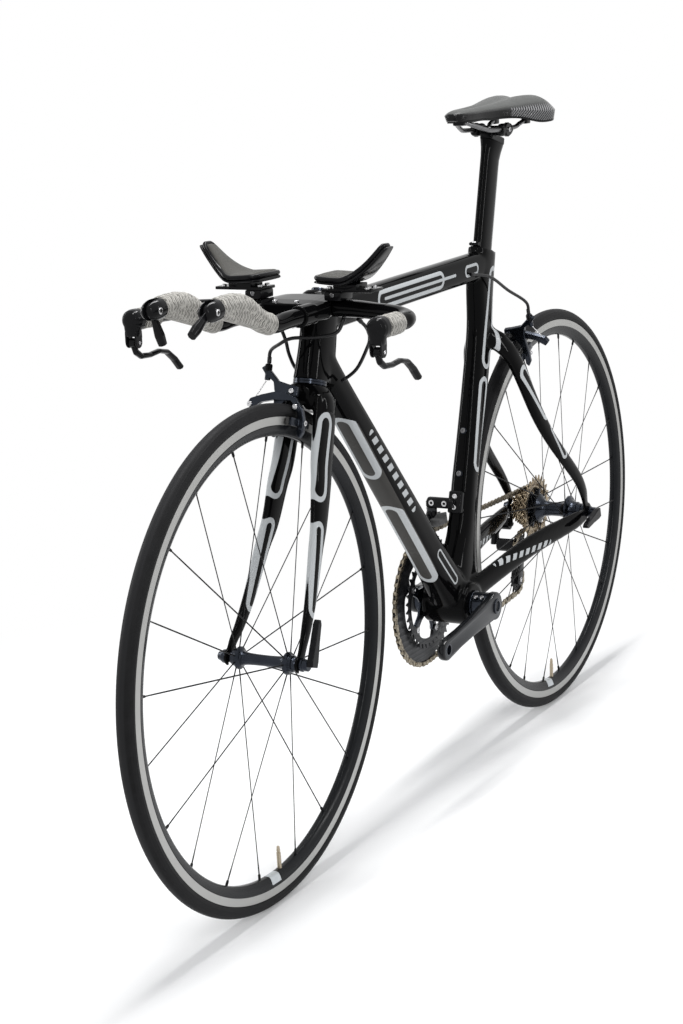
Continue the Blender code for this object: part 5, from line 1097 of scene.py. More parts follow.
def toothed(teeth, phase, short=0.0):
    """A sprocket's outline: round seats for the rollers and slim teeth between them."""
    radius = pitch_radius(teeth)
    step = 2 * math.pi / teeth
    root = radius - 0.0042
    tooth = ((root, -0.5), (root + 0.0002, -0.31), (radius - 0.0018, -0.235), (radius + 0.0026 - short, -0.075))
    tooth += ((radius + 0.0030 - short, 0.0), (radius + 0.0026 - short, 0.075), (radius - 0.0018, 0.235))
    tooth += ((root + 0.0002, 0.31),)
    return [polar(reach, phase + (k + 0.5 + turn) * step) for k in range(teeth) for reach, turn in tooth]


class Wrap:
    """A sprocket that the chain runs over: its centre, teeth, turning sense and side."""

    def __init__(self, centre, teeth, sense, left):
        self.x, self.z = centre
        self.teeth = teeth
        self.radius = pitch_radius(teeth)
        self.sense = sense
        self.centre = Vector((self.x, left, self.z))


def chain_route():
    """The chain's path as arcs and straight runs, measured in links."""
    guide = (REAR_AXLE.x + 0.0340, REAR_AXLE.z - 0.0600)
    rear_y = cog_y(DRIVEN_COG)
    wraps = [
        Wrap((BRACKET.x, BRACKET.z), RING_TEETH, -1, RING_Y),
        Wrap(polar(CAGE_LENGTH, CAGE_ANGLE, guide), JOCKEY_TEETH, -1, rear_y),
        Wrap(guide, JOCKEY_TEETH, 1, rear_y),
        Wrap((REAR_AXLE.x, REAR_AXLE.z), COGS[DRIVEN_COG], -1, rear_y),
    ]
    lines = []
    for a, b in zip(wraps, wraps[1:] + wraps[:1]):
        dx, dz = b.x - a.x, b.z - a.z
        offset = math.asin((a.sense * a.radius - b.sense * b.radius) / math.hypot(dx, dz))
        normal = math.atan2(dz, dx) - math.pi / 2 + offset
        lines.append([normal if wrap.sense > 0 else normal + math.pi for wrap in (a, b)])
    route = []
    total = 0.0
    for i, wrap in enumerate(wraps):
        enter, (leave, meet) = lines[i - 1][1], lines[i]
        links = ((leave - enter) * wrap.sense % (2 * math.pi)) * wrap.teeth / (2 * math.pi)
        route.append(("arc", wrap, enter, total, links))
        total += links
        after = wraps[(i + 1) % len(wraps)]
        start, end = around(wrap.centre, wrap.radius, leave), around(after.centre, after.radius, meet)
        links = math.hypot(end.x - start.x, end.z - start.z) / PITCH
        route.append(("run", (start, end), 0.0, total, links))
        total += links
    return route, wraps


ROUTE, WRAPS = chain_route()


def chain_point(link):
    """A pin's place, for a distance along the chain in links."""
    for kind, shape, enter, start, links in ROUTE:
        if link <= start + links:
            break
    share = link - start
    if kind == "arc":
        return around(shape.centre, shape.radius, enter + shape.sense * share * 2 * math.pi / shape.teeth)
    first, last = shape
    t = share / links
    point = first.lerp(last, t)
    point.y = first.y + (last.y - first.y) * t * t * (3 - 2 * t)
    return point


def wrap_phase(teeth, x):
    """The angle at which a roller sits on the sprocket with these teeth at this place."""
    for kind, shape, enter, start, _links in ROUTE:
        if kind == "arc" and shape.teeth == teeth and abs(shape.x - x) < WELD:
            return enter + shape.sense * (math.ceil(start) - start) * 2 * math.pi / teeth
    raise ValueError("no such sprocket")


def add_link(shape, outer):
    """A chain link lying along X: two waisted plates, with rollers inside or pin heads outside."""
    half, end, waist = PITCH / 2, 0.0041, 0.0029
    outline = [polar(end, math.radians(degrees), (half, 0.0)) for degrees in (-75, -25, 25, 75)]
    outline = [*outline, (0.0, waist), *[(-x, z) for x, z in reversed(outline)], (0.0, -waist)]
    for side in (1, -1):
        shape.plate([outline], 0.0008, LEFT * side * (0.00245 if outer else 0.00160))
    reach, radius, sides = (0.0031, 0.0017, 8) if outer else (0.0012, 0.0038, 10)
    for x in (-half, half):
        shape.rod(Vector((x, -reach, 0)), Vector((x, reach, 0)), radius, sides, 0.0002)
    return shape


def chain():
    """Inner and outer links, set on the pins in turn."""
    pins = [chain_point(link) for link in range(LINK_COUNT)]
    worn = chain_nickel("worn", (0.33, 0.29, 0.22), (0.09, 0.075, 0.055))
    for first_link, name in enumerate(("chain_outer_links", "chain_inner_links")):
        spots = []
        for k in range(first_link, LINK_COUNT, 2):
            first, last = pins[k], pins[(k + 1) % LINK_COUNT]
            along = (last - first).normalized()
            left = (LEFT - along * along.y).normalized()
            turn = Matrix((along, left, along.cross(left))).transposed().to_euler()
            spots.append(((first + last) / 2, turn))
        made = repeated(name, add_link(Shape(), first_link == 0), spots, worn)
        attach(made, BODY_OF["chain"], "chain_metal")
        if first_link == 0:
            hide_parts("chain")


def cassette():
    """Ten sprockets, their dark carrier and the lockring."""
    shape = Shape()
    for index, teeth in enumerate(COGS):
        phase = wrap_phase(teeth, REAR_AXLE.x) if index == DRIVEN_COG else 0.35 * index
        inner = circle(0.0163, 24)
        if teeth > 17:
            hole = pitch_radius(teeth) - 0.0115
            inner = [polar(hole - (0.0026 if k % 4 == 0 else 0.0), k * math.pi / 12) for k in range(24)]
        shape.plate([toothed(teeth, phase), inner], 0.0016, REAR_AXLE + LEFT * cog_y(index), edge=0.00015)
    bronze = chain_nickel("bronze", (0.40, 0.33, 0.23), (0.16, 0.12, 0.08))
    shape.skin("cassette", bronze, 30, "cassette_sprockets")
    inner_end, outer_end = REAR_FLANGE_RIGHT - 0.0038, SMALLEST_COG_Y - 0.0020
    tube = [(outer_end, 0.0053), (outer_end, 0.0163), (inner_end, 0.0163), (inner_end, 0.0053)]
    shape = Shape().turned(tube, REAR_AXLE, LEFT, 40, closed=True)
    for k in range(6):
        along = around(Vector(), 1, 2 * math.pi * k / 6)
        middle = REAR_AXLE + along * 0.0235 + LEFT * (cog_y(8) + 0.0004)
        shape.block(middle, (0.020, 0.0090, 0.0050), along, along.cross(LEFT))
    shape.fit("cassette_carrier", METAL, "cassette", 30)
    notch = ((0.0118, 0.0), (0.0118, 0.1), (0.0104, 0.14), (0.0104, 0.22))
    ring = [polar(reach, 2 * math.pi * k / 24 + turn) for k in range(24) for reach, turn in notch]
    shape = Shape().plate([circle(0.0168, 48), ring], 0.0022, REAR_AXLE + LEFT * (outer_end - 0.0006), edge=0.0003)
    shape.fit("cassette_lockring", STEEL, "cassette", 30)


def spider_angles():
    return [CRANK_ANGLE + math.pi + 2 * math.pi * k / 5 for k in range(5)]


def chainring(node, teeth, phase, y, steps, opening, tab):
    """A chainring with five tabs that reach in to its bolts."""
    inner = []
    for k in range(steps):
        angle = 2 * math.pi * k / steps
        lobe = max(0.0, math.cos(5 * (angle - CRANK_ANGLE - math.pi))) ** 3
        inner.append(polar(opening - tab * lobe, angle))
    shape = Shape().plate([toothed(teeth, phase), inner], 0.0019, BRACKET + LEFT * y, edge=0.0002)
    if teeth == RING_TEETH:
        step = [(-0.0022, 0.0890), (-0.0022, 0.0800), (-0.0013, 0.0780), (-0.0008, 0.0780), (-0.0008, 0.0905)]
        shape.turned(step, BRACKET + LEFT * y, LEFT, 120, closed=True)
    shape.skin(node, GRAPHITE, 30)


def chainrings():
    phase = wrap_phase(RING_TEETH, BRACKET.x)
    chainring("chainring_large", RING_TEETH, phase, RING_Y, 160, 0.0690, 0.0140)
    chainring("chainring_small", SMALL_RING_TEETH, 0.04, SMALL_RING_Y, 120, 0.0600, 0.0100)
    spots = []
    for angle in spider_angles():
        for face, out in ((RING_Y - 0.0008, -LEFT), (SMALL_RING_Y + 0.0008, LEFT)):
            spots.append((around(BRACKET, 0.0555, angle, face), out))
    screws("chainring_bolts", spots, "cranks", 0.0048, 0.0016)


def crank_arm(side, hand):
    """One crank arm, a flat plate waisted along its length; the right one carries the spindle and the five-armed
    spider.
    """
    direction = around(Vector(), side, CRANK_ANGLE)
    up = direction.cross(LEFT)
    up = -up if up.z < 0 else up
    along = ARM_Y if side > 0 else RIGHT_ARM_Y
    out = LEFT * side
    centre = BRACKET + out * along
    neck = [(0.040, -0.0168), (0.085, -0.0142), (0.130, -0.0138)]
    outline = [polar(0.0215, math.radians(degrees)) for degrees in range(60, 301, 12)] + neck
    outline += [polar(0.0160, math.radians(degrees), (CRANK_LENGTH, 0.0)) for degrees in range(-84, 85, 12)]
    outline += [(x, -z) for x, z in reversed(neck)]
    eye_hole = circle(0.0074, 28, (CRANK_LENGTH, 0.0))
    shape = Shape().plate([outline, eye_hole], ARM_THICKNESS, centre, direction, up, edge=0.0028)
    shape.skin(f"crank_arm_{hand}", crank_finish(), 40)
    cap = [(0.0002, 0.0118), (0.0014, 0.0118), (0.0018, 0.0110), (0.0018, 0.0078), (-0.0008, 0.0070), (-0.0008, 0)]
    shape = Shape().turned(cap, BRACKET + out * (along + ARM_THICKNESS / 2), out, 40)
    eye = [(0.0002, 0.0072), (0.0002, 0.0098), (-0.0006, 0.0102), (-0.0122, 0.0102), (-0.0122, 0.0072)]
    shape.turned(eye, centre + direction * CRANK_LENGTH + out * (ARM_THICKNESS / 2), out, 28, closed=True)
    if side > 0:
        sleeve = [(0, 0.0125), (0, 0.0190), (0.0225, 0.0196), (0.0225, 0.0125)]
        shape.turned(sleeve, BRACKET + LEFT * 0.0412, LEFT, 40, closed=True)
    else:
        tab = (RING_Y + SMALL_RING_Y) / 2
        half = [(0.0230, 0.50), (0.0350, 0.20), (0.0520, 0.135), (0.0590, 0.09), (0.0610, 0.0)]
        arm = [(radius, -turn) for radius, turn in half] + half[3:0:-1]
        star = [polar(radius, angle + turn) for angle in spider_angles() for radius, turn in arm]
        shape.plate([star], 0.0040, BRACKET + LEFT * tab, edge=0.0010)
        shape.rod(BRACKET + LEFT * (tab + 0.002), BRACKET - LEFT * (along - 0.003), 0.0200, 40, 0.0010)
        shape.rod(BRACKET - LEFT * (along - 0.010), BRACKET + LEFT * (ARM_Y + 0.0035), 0.0120, 32)
    shape.fit(f"crank_fittings_{hand}", METAL, "cranks", 34)
    if side > 0:
        foot = BRACKET + direction * 0.0140
        spots = [(foot + up * 0.0165 + LEFT * y, up) for y in (0.0475, 0.0575)]
        screws("crank_pinch_bolts", spots, "cranks", 0.0036, 0.0034)


def bracket_cup(side, hand):
    flutes = [polar(0.0213 if k % 4 < 2 else 0.0206, 2 * math.pi * k / 64) for k in range(64)]
    start = BRACKET + LEFT * side * (SHELL_WIDTH / 2 + 0.0018)
    sleeve = [(-0.0120, 0.0127), (-0.0120, 0.0200), (0, 0.0200), (0, 0.0127)]
    shape = Shape().plate([flutes, circle(0.0127, 32)], 0.0030, start, edge=0.0003)
    shape.turned(sleeve, start, LEFT * side, 32, closed=True).skin(f"bottom_bracket_cup_{hand}", METAL, 34)


def jockey(node, wrap):
    outline = toothed(JOCKEY_TEETH, wrap_phase(JOCKEY_TEETH, wrap.x), short=0.0004)
    cuts = [circle(0.0021, 10, polar(0.0128, math.radians(72 * k))) for k in range(5)]
    shape = Shape().plate([outline, circle(0.0041, 24), *cuts], 0.0018, wrap.centre, edge=0.0002)
    half = [(0.0030, 0.0086), (0.0036, 0.0080), (0.0036, 0.0042)]
    shape.turned([*mirrored(half), *half], wrap.centre, LEFT, 28, closed=True).skin(node, SATIN, 34)


class BICYCLE_OT_drivetrain(bpy.types.Operator):
    """Build the cranks, chainrings, chain, cassette and bottom bracket cups"""

    bl_idname = "bicycle.drivetrain"
    bl_label = "Drivetrain"

    def execute(self, context):
        chain()
        cassette()
        chainrings()
        for build in (crank_arm, bracket_cup):
            for side, hand in SIDES:
                build(side, hand)
        return {"FINISHED"}


# Derailleurs


def derailleur_bodies():
    """The guide wheels, the knuckles, both cages and the front clamp."""
    jockey("jockey_wheel_upper", WRAPS[2])
    jockey("jockey_wheel_lower", WRAPS[1])
    for node, rounds in (("rear_derailleur_knuckle", 6), ("rear_derailleur_link", 8)):
        Shape(node).melted(node, PLASTIC, 0.0007, rounds)
    for end in ("rear", "front"):
        edged(f"{end}_derailleur_cage", GRAPHITE, 0.0003)
    Shape("front_derailleur_clamp").melted("front_derailleur_clamp", PLASTIC, 0.0006, 5)


def rear_derailleur_screws():
    lower, upper = WRAPS[1], WRAPS[2]
    spots = [(wrap.centre + LEFT * 0.0070, LEFT) for wrap in (upper, lower)] + [(lower.centre - LEFT * 0.0070, -LEFT)]
    screws("cage_screws", spots, "derailleur_cage", 0.0040, 0.0014)
    hanger = REAR_AXLE + Vector((0.005, -0.0920, -0.030))
    screws("hanger_bolt", [(hanger, -LEFT)], "frame_body", 0.0068, 0.0026, DARK_STEEL, "anodised_black")


def front_derailleur_link():
    """A ringed barrel over the link that pushes the cage, with their pins and bolts."""
    nose = seat(0.152, 0.0106 + SEAT_GAP)
    pivot = Vector((nose.x + 0.0130, 0, nose.z + 0.0014))
    barrel = [(-0.0440, 0), (-0.0440, 0.0050), (-0.0425, 0.0070), (-0.0400, 0.0078), (-0.0060, 0.0078)]
    barrel += [(-0.0020, 0.0066), (0.0, 0.0040), (0.0, 0)]
    knuckle = Shape().turned(barrel, pivot, LEFT, 32)
    knuckle.fit("front_derailleur_knuckle", PLASTIC, "frame_body", 40, "anodised_black")
    low = Vector((pivot.x, RING_Y + 0.0095, nose.z - 0.0245))
    bulge = [(0.0004, 0.0040), (0.0020, 0.0066), (0.0060, 0.0086), (0.0110, 0.0086), (0.0155, 0.0068), (0.0172, 0.0040)]
    link = [ring_points(low + UP * rise, LEFT, FORWARD, half * 0.9, half, 2.3, 28) for rise, half in bulge]
    Shape().loft(link).fit("front_derailleur_link", PLASTIC, "front_derailleur", 50)
    spots = [(pivot + Vector((0.0076, y, 0)), FORWARD) for y in (-0.0125, -0.0340)]
    screws("front_derailleur_pins", spots, "frame_body", 0.0044, 0.0012)
    spots = [(nose + SEAT_FORE * 0.0104 + SEAT_UP * rise, SEAT_FORE) for rise in (0.0085, -0.0085)]
    screws("front_derailleur_bolts", spots, "frame_body", 0.0038, 0.0026)


class BICYCLE_OT_derailleurs(bpy.types.Operator):
    """Build both derailleurs with their cages, pulleys and screws"""

    bl_idname = "bicycle.derailleurs"
    bl_label = "Derailleurs"

    def execute(self, context):
        derailleur_bodies()
        rear_derailleur_screws()
        front_derailleur_link()
        return {"FINISHED"}


# Frame


def down_tube_ends():
    return steer(HEAD_BOTTOM + 0.030, -0.012), BRACKET + Vector((0.004, 0, 0.012))


def dropout_centre(end, side):
    return AXLE[end] + LEFT * side * (HUB_WIDTH[end] / 2 + DROPOUT / 2 + SEAT_GAP)


def chainstay_rows(side):
    end = dropout_centre("rear", side)
    return [
        (BRACKET + Vector((-0.010, side * 0.0235, 0.010)), 0.0100, 0.0180),
        (BRACKET + Vector((-0.060, side * 0.0295, 0.0225)), 0.0080, 0.0175),
        (BRACKET.lerp(REAR_AXLE, 0.50) + Vector((0, side * 0.0470, 0.0150)), 0.0080, 0.0175),
        (BRACKET.lerp(REAR_AXLE, 0.84) + Vector((0, side * 0.0625, 0.0030)), 0.0060, 0.0150),
        (BRACKET.lerp(REAR_AXLE, 0.945) + Vector((0, end.y, -0.001)), DROPOUT / 2, 0.0125),
        (end + Vector((0.004, 0, -0.002)), DROPOUT / 2, 0.0110),
    ]


def seatstay_rows(side):
    end = dropout_centre("rear", side)
    rows = [
        (0.262, 0.0120, 0.328, 0.0080, 0.0150),
        (0.240, 0.0290, 0.309, 0.0080, 0.0165),
        (0.218, 0.0390, 0.280, 0.0078, 0.0170),
        (0.180, 0.0545, 0.201, 0.0070, 0.0160),
        (0.142, 0.0620, 0.151, 0.0062, 0.0135),
        (0.097, 0.0672, 0.109, 0.0056, 0.0125),
        (0.048, 0.0700, 0.067, 0.0052, 0.0118),
        (0.022, 0.0695, 0.038, 0.0044, 0.0112),
    ]
    rows = [(REAR_AXLE + Vector((x, side * y, z)), wide, deep) for x, y, z, wide, deep in rows]
    rows.append((end + Vector((0.008, 0, 0.014)), DROPOUT / 2, 0.0100))
    return [*rows, (end + Vector((0, 0, -0.006)), DROPOUT / 2, 0.0095)]


def calliper(end):
    """A brake's bolt on the frame or fork, its way out and its way up."""
    if end == "front":
        out, up = STEER_FORE, STEER_UP
    else:
        up = around(Vector(), 1, REAR_BRAKE_ANGLE)
        out = LEFT.cross(up)
        out = -out if out.x > 0 else out
    return AXLE[end] + up * BRAKE_HEIGHT - out * BRAKE_SETBACK, out, up


def frame_paint():
    """Outlines and bars of the frame's decoration, each in its tube's own directions."""
    line = bpy.context.scene.bike_paint.line
    front, rear = down_tube_ends()
    run = (rear - front).normalized()
    low = run.cross(LEFT).normalized()
    low = -low if low.z > 0 else low
    top_front, top_rear = steer(HEAD_TOP - 0.0020, -0.018), seat(SEAT_TUBE - 0.022, -0.006)
    top_run = (top_rear - top_front).normalized()
    top_up = top_run.cross(LEFT).normalized()
    chainstay_middle = BRACKET.lerp(REAR_AXLE, 0.42) + UP * 0.0170
    chainstay_run = (REAR_AXLE - BRACKET).normalized()
    stay = seatstay_rows(1)
    upper, lower = stay[2][0] + Vector((0, 0, -0.004)), stay[5][0]
    stay_run = lower - upper
    stay_run.y = 0
    stay_run.normalize()
    stay_up = stay_run.cross(LEFT).normalized()
    bands = []
    for share, long in ((0.30, 0.066), (0.70, 0.092)):
        bands.append((front.lerp(rear, share) + low * 0.0240, run, LEFT, long, 0.0135, line * 1.15, low, 0.012))
    panel = (front.lerp(rear, 0.52) + low * 0.0240, run, LEFT, 0.190, 0.0185, 0.0, low, 0.014)
    for side in (LEFT, -LEFT):
        bands += [
            (front.lerp(rear, 0.44), run, low, 0.095, 0.0062, 0.0, side, 0.030, (0.0210, 0.5)),
            (front.lerp(rear, 0.86), run, low, 0.040, 0.0062, line * 0.4, side, 0.030),
            (top_front.lerp(top_rear, 0.46), top_run, top_up, 0.105, 0.0105, line * 0.8, side, 0.030),
            (top_front.lerp(top_rear, 0.52), top_run, top_up, 0.118, 0.0022, 0.0, side, 0.030),
            (top_front.lerp(top_rear, 0.86), top_run, top_up, 0.022, 0.0070, line * 0.6, side, 0.030),
            (seat(0.440, -0.018), SEAT_UP, SEAT_FORE, 0.076, 0.0120, line, side, 0.030),
            (seat(0.275, -0.015), SEAT_UP, SEAT_FORE, 0.070, 0.0110, line, side, 0.030),
            (chainstay_middle, chainstay_run, UP, 0.085, 0.0048, 0.0, side, 0.080, (0.0190, -0.6)),
            (upper.lerp(lower, 0.28), stay_run, stay_up, 0.052, 0.0098, line, side, 0.080),
            (upper.lerp(lower, 0.80), stay_run, stay_up, 0.036, 0.0070, line * 0.7, side, 0.080),
        ]
    return lacquer("frame lacquer", bands, [panel])


def tyre_groove(end, side_drop, share, drop):
    """The room round a tyre, its section stepped down from the crown towards the sides."""
    half, crown = TYRE_WIDTH / 2 + TYRE_ROOM, WHEEL_RADIUS + TYRE_ROOM
    left = [(-half, 0), (-half, crown - side_drop), (-half * share, crown - drop)]
    return Shape().turned([*left, (0, crown), *mirrored(left)], AXLE[end], LEFT, 120)


def axle_slots(end):
    """The open slots in which an axle sits."""
    room = 2 * AXLE_RADIUS + 0.0014
    shape = Shape()
    for side in (1, -1):
        middle = AXLE[end] + LEFT * side * (HUB_WIDTH[end] / 2 + DROPOUT / 2) - UP * 0.012
        shape.block(middle, (room, 0.020, 0.024 + room), edge=0.0)
    return shape


def post_ring(along, grow=0.0):
    """The aero seatpost's outline, a rounded nose and a slightly narrower tail."""
    half_chord, half_width = POST_CHORD / 2 + grow, POST_WIDTH / 2 + grow
    return ring_points(seat(along, -0.002), LEFT, SEAT_FORE, half_width, half_chord, 2.4, 40, 0.12)


def upright_tubes(shape):
    """The head tube and the seat tube, each as rows of (height, half width, nose, tail)."""
    head = [
        (HEAD_BOTTOM - 0.0040, 0.0205, 0.0270, -0.0300),
        (HEAD_BOTTOM + 0.014, 0.0200, 0.0272, -0.0460),
        (HEAD_BOTTOM + 0.42 * HEAD_TUBE, 0.0190, 0.0262, -0.0480),
        (HEAD_BOTTOM + 0.80 * HEAD_TUBE, 0.0190, 0.0262, -0.0440),
        (HEAD_TOP + 0.0040, 0.0205, 0.0270, -0.0420),
    ]
    seated = [
        (0.004, 0.0270, 0.036, -0.055),
        (0.040, 0.0250, 0.032, -0.060),
        (0.080, 0.0215, 0.021, -0.050),
        (0.122, 0.0200, 0.0106, -0.040),
        (0.180, 0.0195, 0.011, -0.034),
        (0.250, 0.0185, 0.009, -0.036),
        (0.340, 0.0175, 0.009, -0.045),
        (0.420, 0.0165, 0.012, -0.046),
        (0.485, 0.0165, 0.028, -0.039),
        (SEAT_TUBE, 0.0165, 0.031, -0.036),
    ]
    tubes = ((head, steer, STEER_FORE, 2.5, 0.08), (seated, seat, SEAT_FORE, 2.6, 0.15))
    for rows, point, fore, square, pinch in tubes:
        rings = []
        for s, half, nose, tail in smooth_rows(rows, 5):
            middle = point(s, (nose + tail) / 2)
            rings.append(ring_points(middle, LEFT, fore, half, (nose - tail) / 2, square, 40, pinch))
        shape.loft(rings)


def frame_forms():
    """The frame's tubes, stays and bridges, still apart."""
    shape = Shape()
    upright_tubes(shape)
    front, rear = steer(HEAD_TOP - 0.0020, -0.018), seat(SEAT_TUBE - 0.022, -0.006)
    rows = [(front, 0.0175, 0.0225), (front.lerp(rear, 0.12), 0.0165, 0.0215)]
    rows += [(front.lerp(rear, 0.88), 0.0155, 0.0215), (rear, 0.0155, 0.0215)]
    shape.loft(swept_rings(smooth_rows(rows, 8), squareness=3.0, count=40))
    front, rear = down_tube_ends()
    rows = [(front, 0.0185, 0.0240), (front.lerp(rear, 0.10), 0.0190, 0.0205), (front.lerp(rear, 0.45), 0.0205, 0.0230)]
    rows += [(front.lerp(rear, 0.80), 0.0215, 0.0265), (rear, 0.0265, 0.0300)]
    shape.loft(swept_rings(smooth_rows(rows, 8), squareness=3.4, count=40))
    half_shell = LEFT * SHELL_WIDTH / 2
    shape.rod(BRACKET - half_shell, BRACKET + half_shell, SHELL_RADIUS, 48, 0.0015)
    for side in (1, -1):
        shape.loft(swept_rings(smooth_rows(chainstay_rows(side), 6), squareness=2.8, count=28))
        shape.loft(swept_rings(smooth_rows(seatstay_rows(side), 5), squareness=2.4, count=28))
        shape.plate([circle(0.0150, 32)], DROPOUT, dropout_centre("rear", side))
    hanger = [(-0.004, -0.010), (0.012, -0.010), (0.0135, -0.030), (0.009, -0.036), (0.001, -0.036), (-0.003, -0.030)]
    shape.plate([hanger], DROPOUT - 0.0002, dropout_centre("rear", -1))
    foot, out, up = calliper("rear")
    end = foot - out * SEAT_GAP
    rows = [(seat(0.424, -0.030), 0.0150, 0.0130), (REAR_AXLE + Vector((0.240, 0, 0.322)), 0.0330, 0.0120)]
    rows += [(end - out * 0.0220 + up * 0.002, 0.0230, 0.0110), (end, 0.0150, 0.0100)]
    shape.loft(swept_rings(smooth_rows(rows, 5), squareness=2.8, count=32))
    return shape.block(BRACKET + Vector((-0.048, 0, 0.011)), (0.050, 0.050, 0.0265), edge=0.003)


def frame_skin():
    """The frame's forms melted into one moulded shell, then cut for its bearings and wheel."""
    fork_room = 0.085 + HEAD_BOTTOM - FORK_LENGTH
    stem_foot = fork_room + HEAD_TUBE
    stem_room = STEM_RADIUS + 0.0150
    steering = [(0, 0), (0, NOTCH_RADIUS), (fork_room, NOTCH_RADIUS), (fork_room, 0.0155), (stem_foot, 0.0155)]
    steering += [(stem_foot, stem_room), (stem_foot + 0.05, stem_room), (stem_foot + 0.05, 0)]
    cutters = [
        tyre_groove("rear", 0.008, 0.6, 0.0012),
        Shape().turned(steering, steer(FORK_LENGTH - 0.085), STEER_UP, 48),
        Shape().rod(BRACKET - LEFT * 0.05, BRACKET + LEFT * 0.05, 0.0208, 48),
        Shape().loft([post_ring(s, SEAT_GAP) for s in (SEAT_TUBE - POST_SINK - 0.006, SEAT_TUBE + 0.030)]),
        axle_slots("rear"),
    ]
    frame_forms().melted("frame", frame_paint(), 0.0024, 6, cutters, 34)


def bottle_fittings():
    start, end = down_tube_ends()
    out = (end - start).cross(LEFT).normalized()
    out = -out if out.z < 0 else out
    spots = []
    for share, depth in ((0.50, 0.0235), (0.635, 0.0248)):
        spots.append((start.lerp(end, share) + out * (depth + 0.0025), out))
    for s, depth in ((0.262, 0.0090), (0.196, 0.0106)):
        spots.append((seat(s, depth + 0.0025), SEAT_FORE))
    collar = [(-0.0042, 0), (-0.0042, 0.0050), (-0.0004, 0.0050), (0, 0.0046), (0, 0)]
    shape = Shape()
    for point, direction in spots:
        shape.turned(collar, point, direction, 28)
    shape.fit("bottle_collars", METAL, "frame_body", 34)
    screws("bottle_screws", spots, "frame_body", 0.0038, 0.0024, DARK_STEEL)


def headset_seal():
    bore = STEERER_RADIUS + 0.0008
    rows = [(0, bore), (0, 0.0220), (0.0006, 0.0226), (0.0034, 0.0226), (0.0038, 0.0221), (0.0042, 0.0226)]
    rows += [(0.0066, 0.0226), (0.0072, 0.0220), (0.0072, bore)]
    shape = Shape().turned(rows, steer(FORK_LENGTH + SEAT_GAP), STEER_UP, 56, closed=True)
    shape.skin("headset_lower_bearing", METAL, 30, "headset_seal")


class BICYCLE_OT_frame(bpy.types.Operator):
    """Build the moulded frame, its decoration and its bottle collars"""

    bl_idname = "bicycle.frame"
    bl_label = "Frame"

    def execute(self, context):
        frame_skin()
        bottle_fittings()
        headset_seal()
        return {"FINISHED"}


# Fork


def fork_rows(side):
    """Each blade's rows: centre, half width and half depth, from the crown to the tip."""
    rows = [
        (FORK_LENGTH - 0.014, 0.0000, 0.0250, 0.0080, 0.0250),
        (FORK_LENGTH - 0.055, -0.0015, 0.0268, 0.0080, 0.0266),
        (0.2650, -0.0020, 0.0290, 0.0076, 0.0260),
        (0.2350, -0.0005, 0.0325, 0.0074, 0.0236),
        (0.1850, 0.0015, 0.0363, 0.0070, 0.0190),
        (0.1500, 0.0090, 0.0400, 0.0065, 0.0158),
        (0.1100, 0.0148, 0.0435, 0.0060, 0.0136),
        (0.0750, 0.0208, 0.0465, 0.0055, 0.0118),
        (0.0420, 0.0300, 0.0495, 0.0048, 0.0098),
        (0.0180, 0.0390, 0.0522, 0.0030, 0.0092),
        (-0.0040, 0.0430, 0.0526, 0.00225, 0.0100),
    ]
    return [(steer(s, fore, side * left), wide, deep) for s, fore, left, wide, deep in rows]


def fork_paint():
    """A long loop down each blade, turned round its leading edge."""
    line = bpy.context.scene.bike_paint.line
    rows = fork_rows(1)
    top = rows[1][0]
    run = rows[5][0] - top
    run.y = 0
    run.normalize()
    across = run.cross(LEFT).normalized()
    across = -across if across.x < 0 else across
    bands = []
    for side in (LEFT, -LEFT):
        look = (side + across * 0.8).normalized()
        for down, long, fore, wide in ((0.040, 0.056, 0.0085, 0.0125), (0.188, 0.060, 0.0045, 0.0085)):
            bands.append((top + run * down + across * fore, run, across, long, wide, line, look, 0.080))
    return lacquer("fork lacquer", bands)


def fork_skin():
    shape = Shape()
    top = FORK_LENGTH
    rows = [(top - 0.034, -0.0010, 0.0370, 0.0270, 2.8), (top - 0.014, 0.0005, 0.0340, 0.0280, 2.4)]
    rows = smooth_rows([*rows, (top, 0.0, 0.0240, 0.0250, 2.0)], 6)
    shape.loft([ring_points(steer(s, fore), LEFT, STEER_FORE, *sizes, 48) for s, fore, *sizes in rows])
    shape.rod(steer(top - 0.010), steer(HEAD_TOP + STEM_HEIGHT - 0.006), STEERER_RADIUS, 48)
    for side in (1, -1):
        shape.loft(swept_rings(smooth_rows(fork_rows(side), 6), squareness=2.4, count=36))
        shape.plate([circle(0.0120, 32)], DROPOUT, dropout_centre("front", side))
    cutters = [tyre_groove("front", TYRE_ROOM + 0.006, 0.5, 0.0004), axle_slots("front")]
    shape.melted("fork", fork_paint(), 0.0016, 6, cutters, 34)


class BICYCLE_OT_fork(bpy.types.Operator):
    """Build the bladed fork"""

    bl_idname = "bicycle.fork"
    bl_label = "Fork"

    def execute(self, context):
        fork_skin()
        return {"FINISHED"}


# Seatpost and saddle

# The saddle's plan and side shape: (share of length, half width, edge drop, top height, depth).
SADDLE_ROWS = [
    (0.052, 0.0040, 0.0025, 0.0260, 0.0060),
    (0.057, 0.0085, 0.0040, 0.0282, 0.0100),
    (0.070, 0.0125, 0.0050, 0.0302, 0.0130),
    (0.10, 0.0170, 0.0062, 0.0322, 0.0150),
    (0.17, 0.0208, 0.0075, 0.0344, 0.0135),
    (0.32, 0.0240, 0.0085, 0.0364, 0.0082),
    (0.47, 0.0312, 0.0105, 0.0388, 0.0068),
    (0.62, 0.0450, 0.0150, 0.0425, 0.0072),
    (0.78, 0.0610, 0.0240, 0.0475, 0.0100),
    (0.90, 0.0680, 0.0270, 0.0495, 0.0090),
    (0.97, 0.0610, 0.0230, 0.0482, 0.0085),
    (1.00, 0.0470, 0.0160, 0.0450, 0.0075),
]


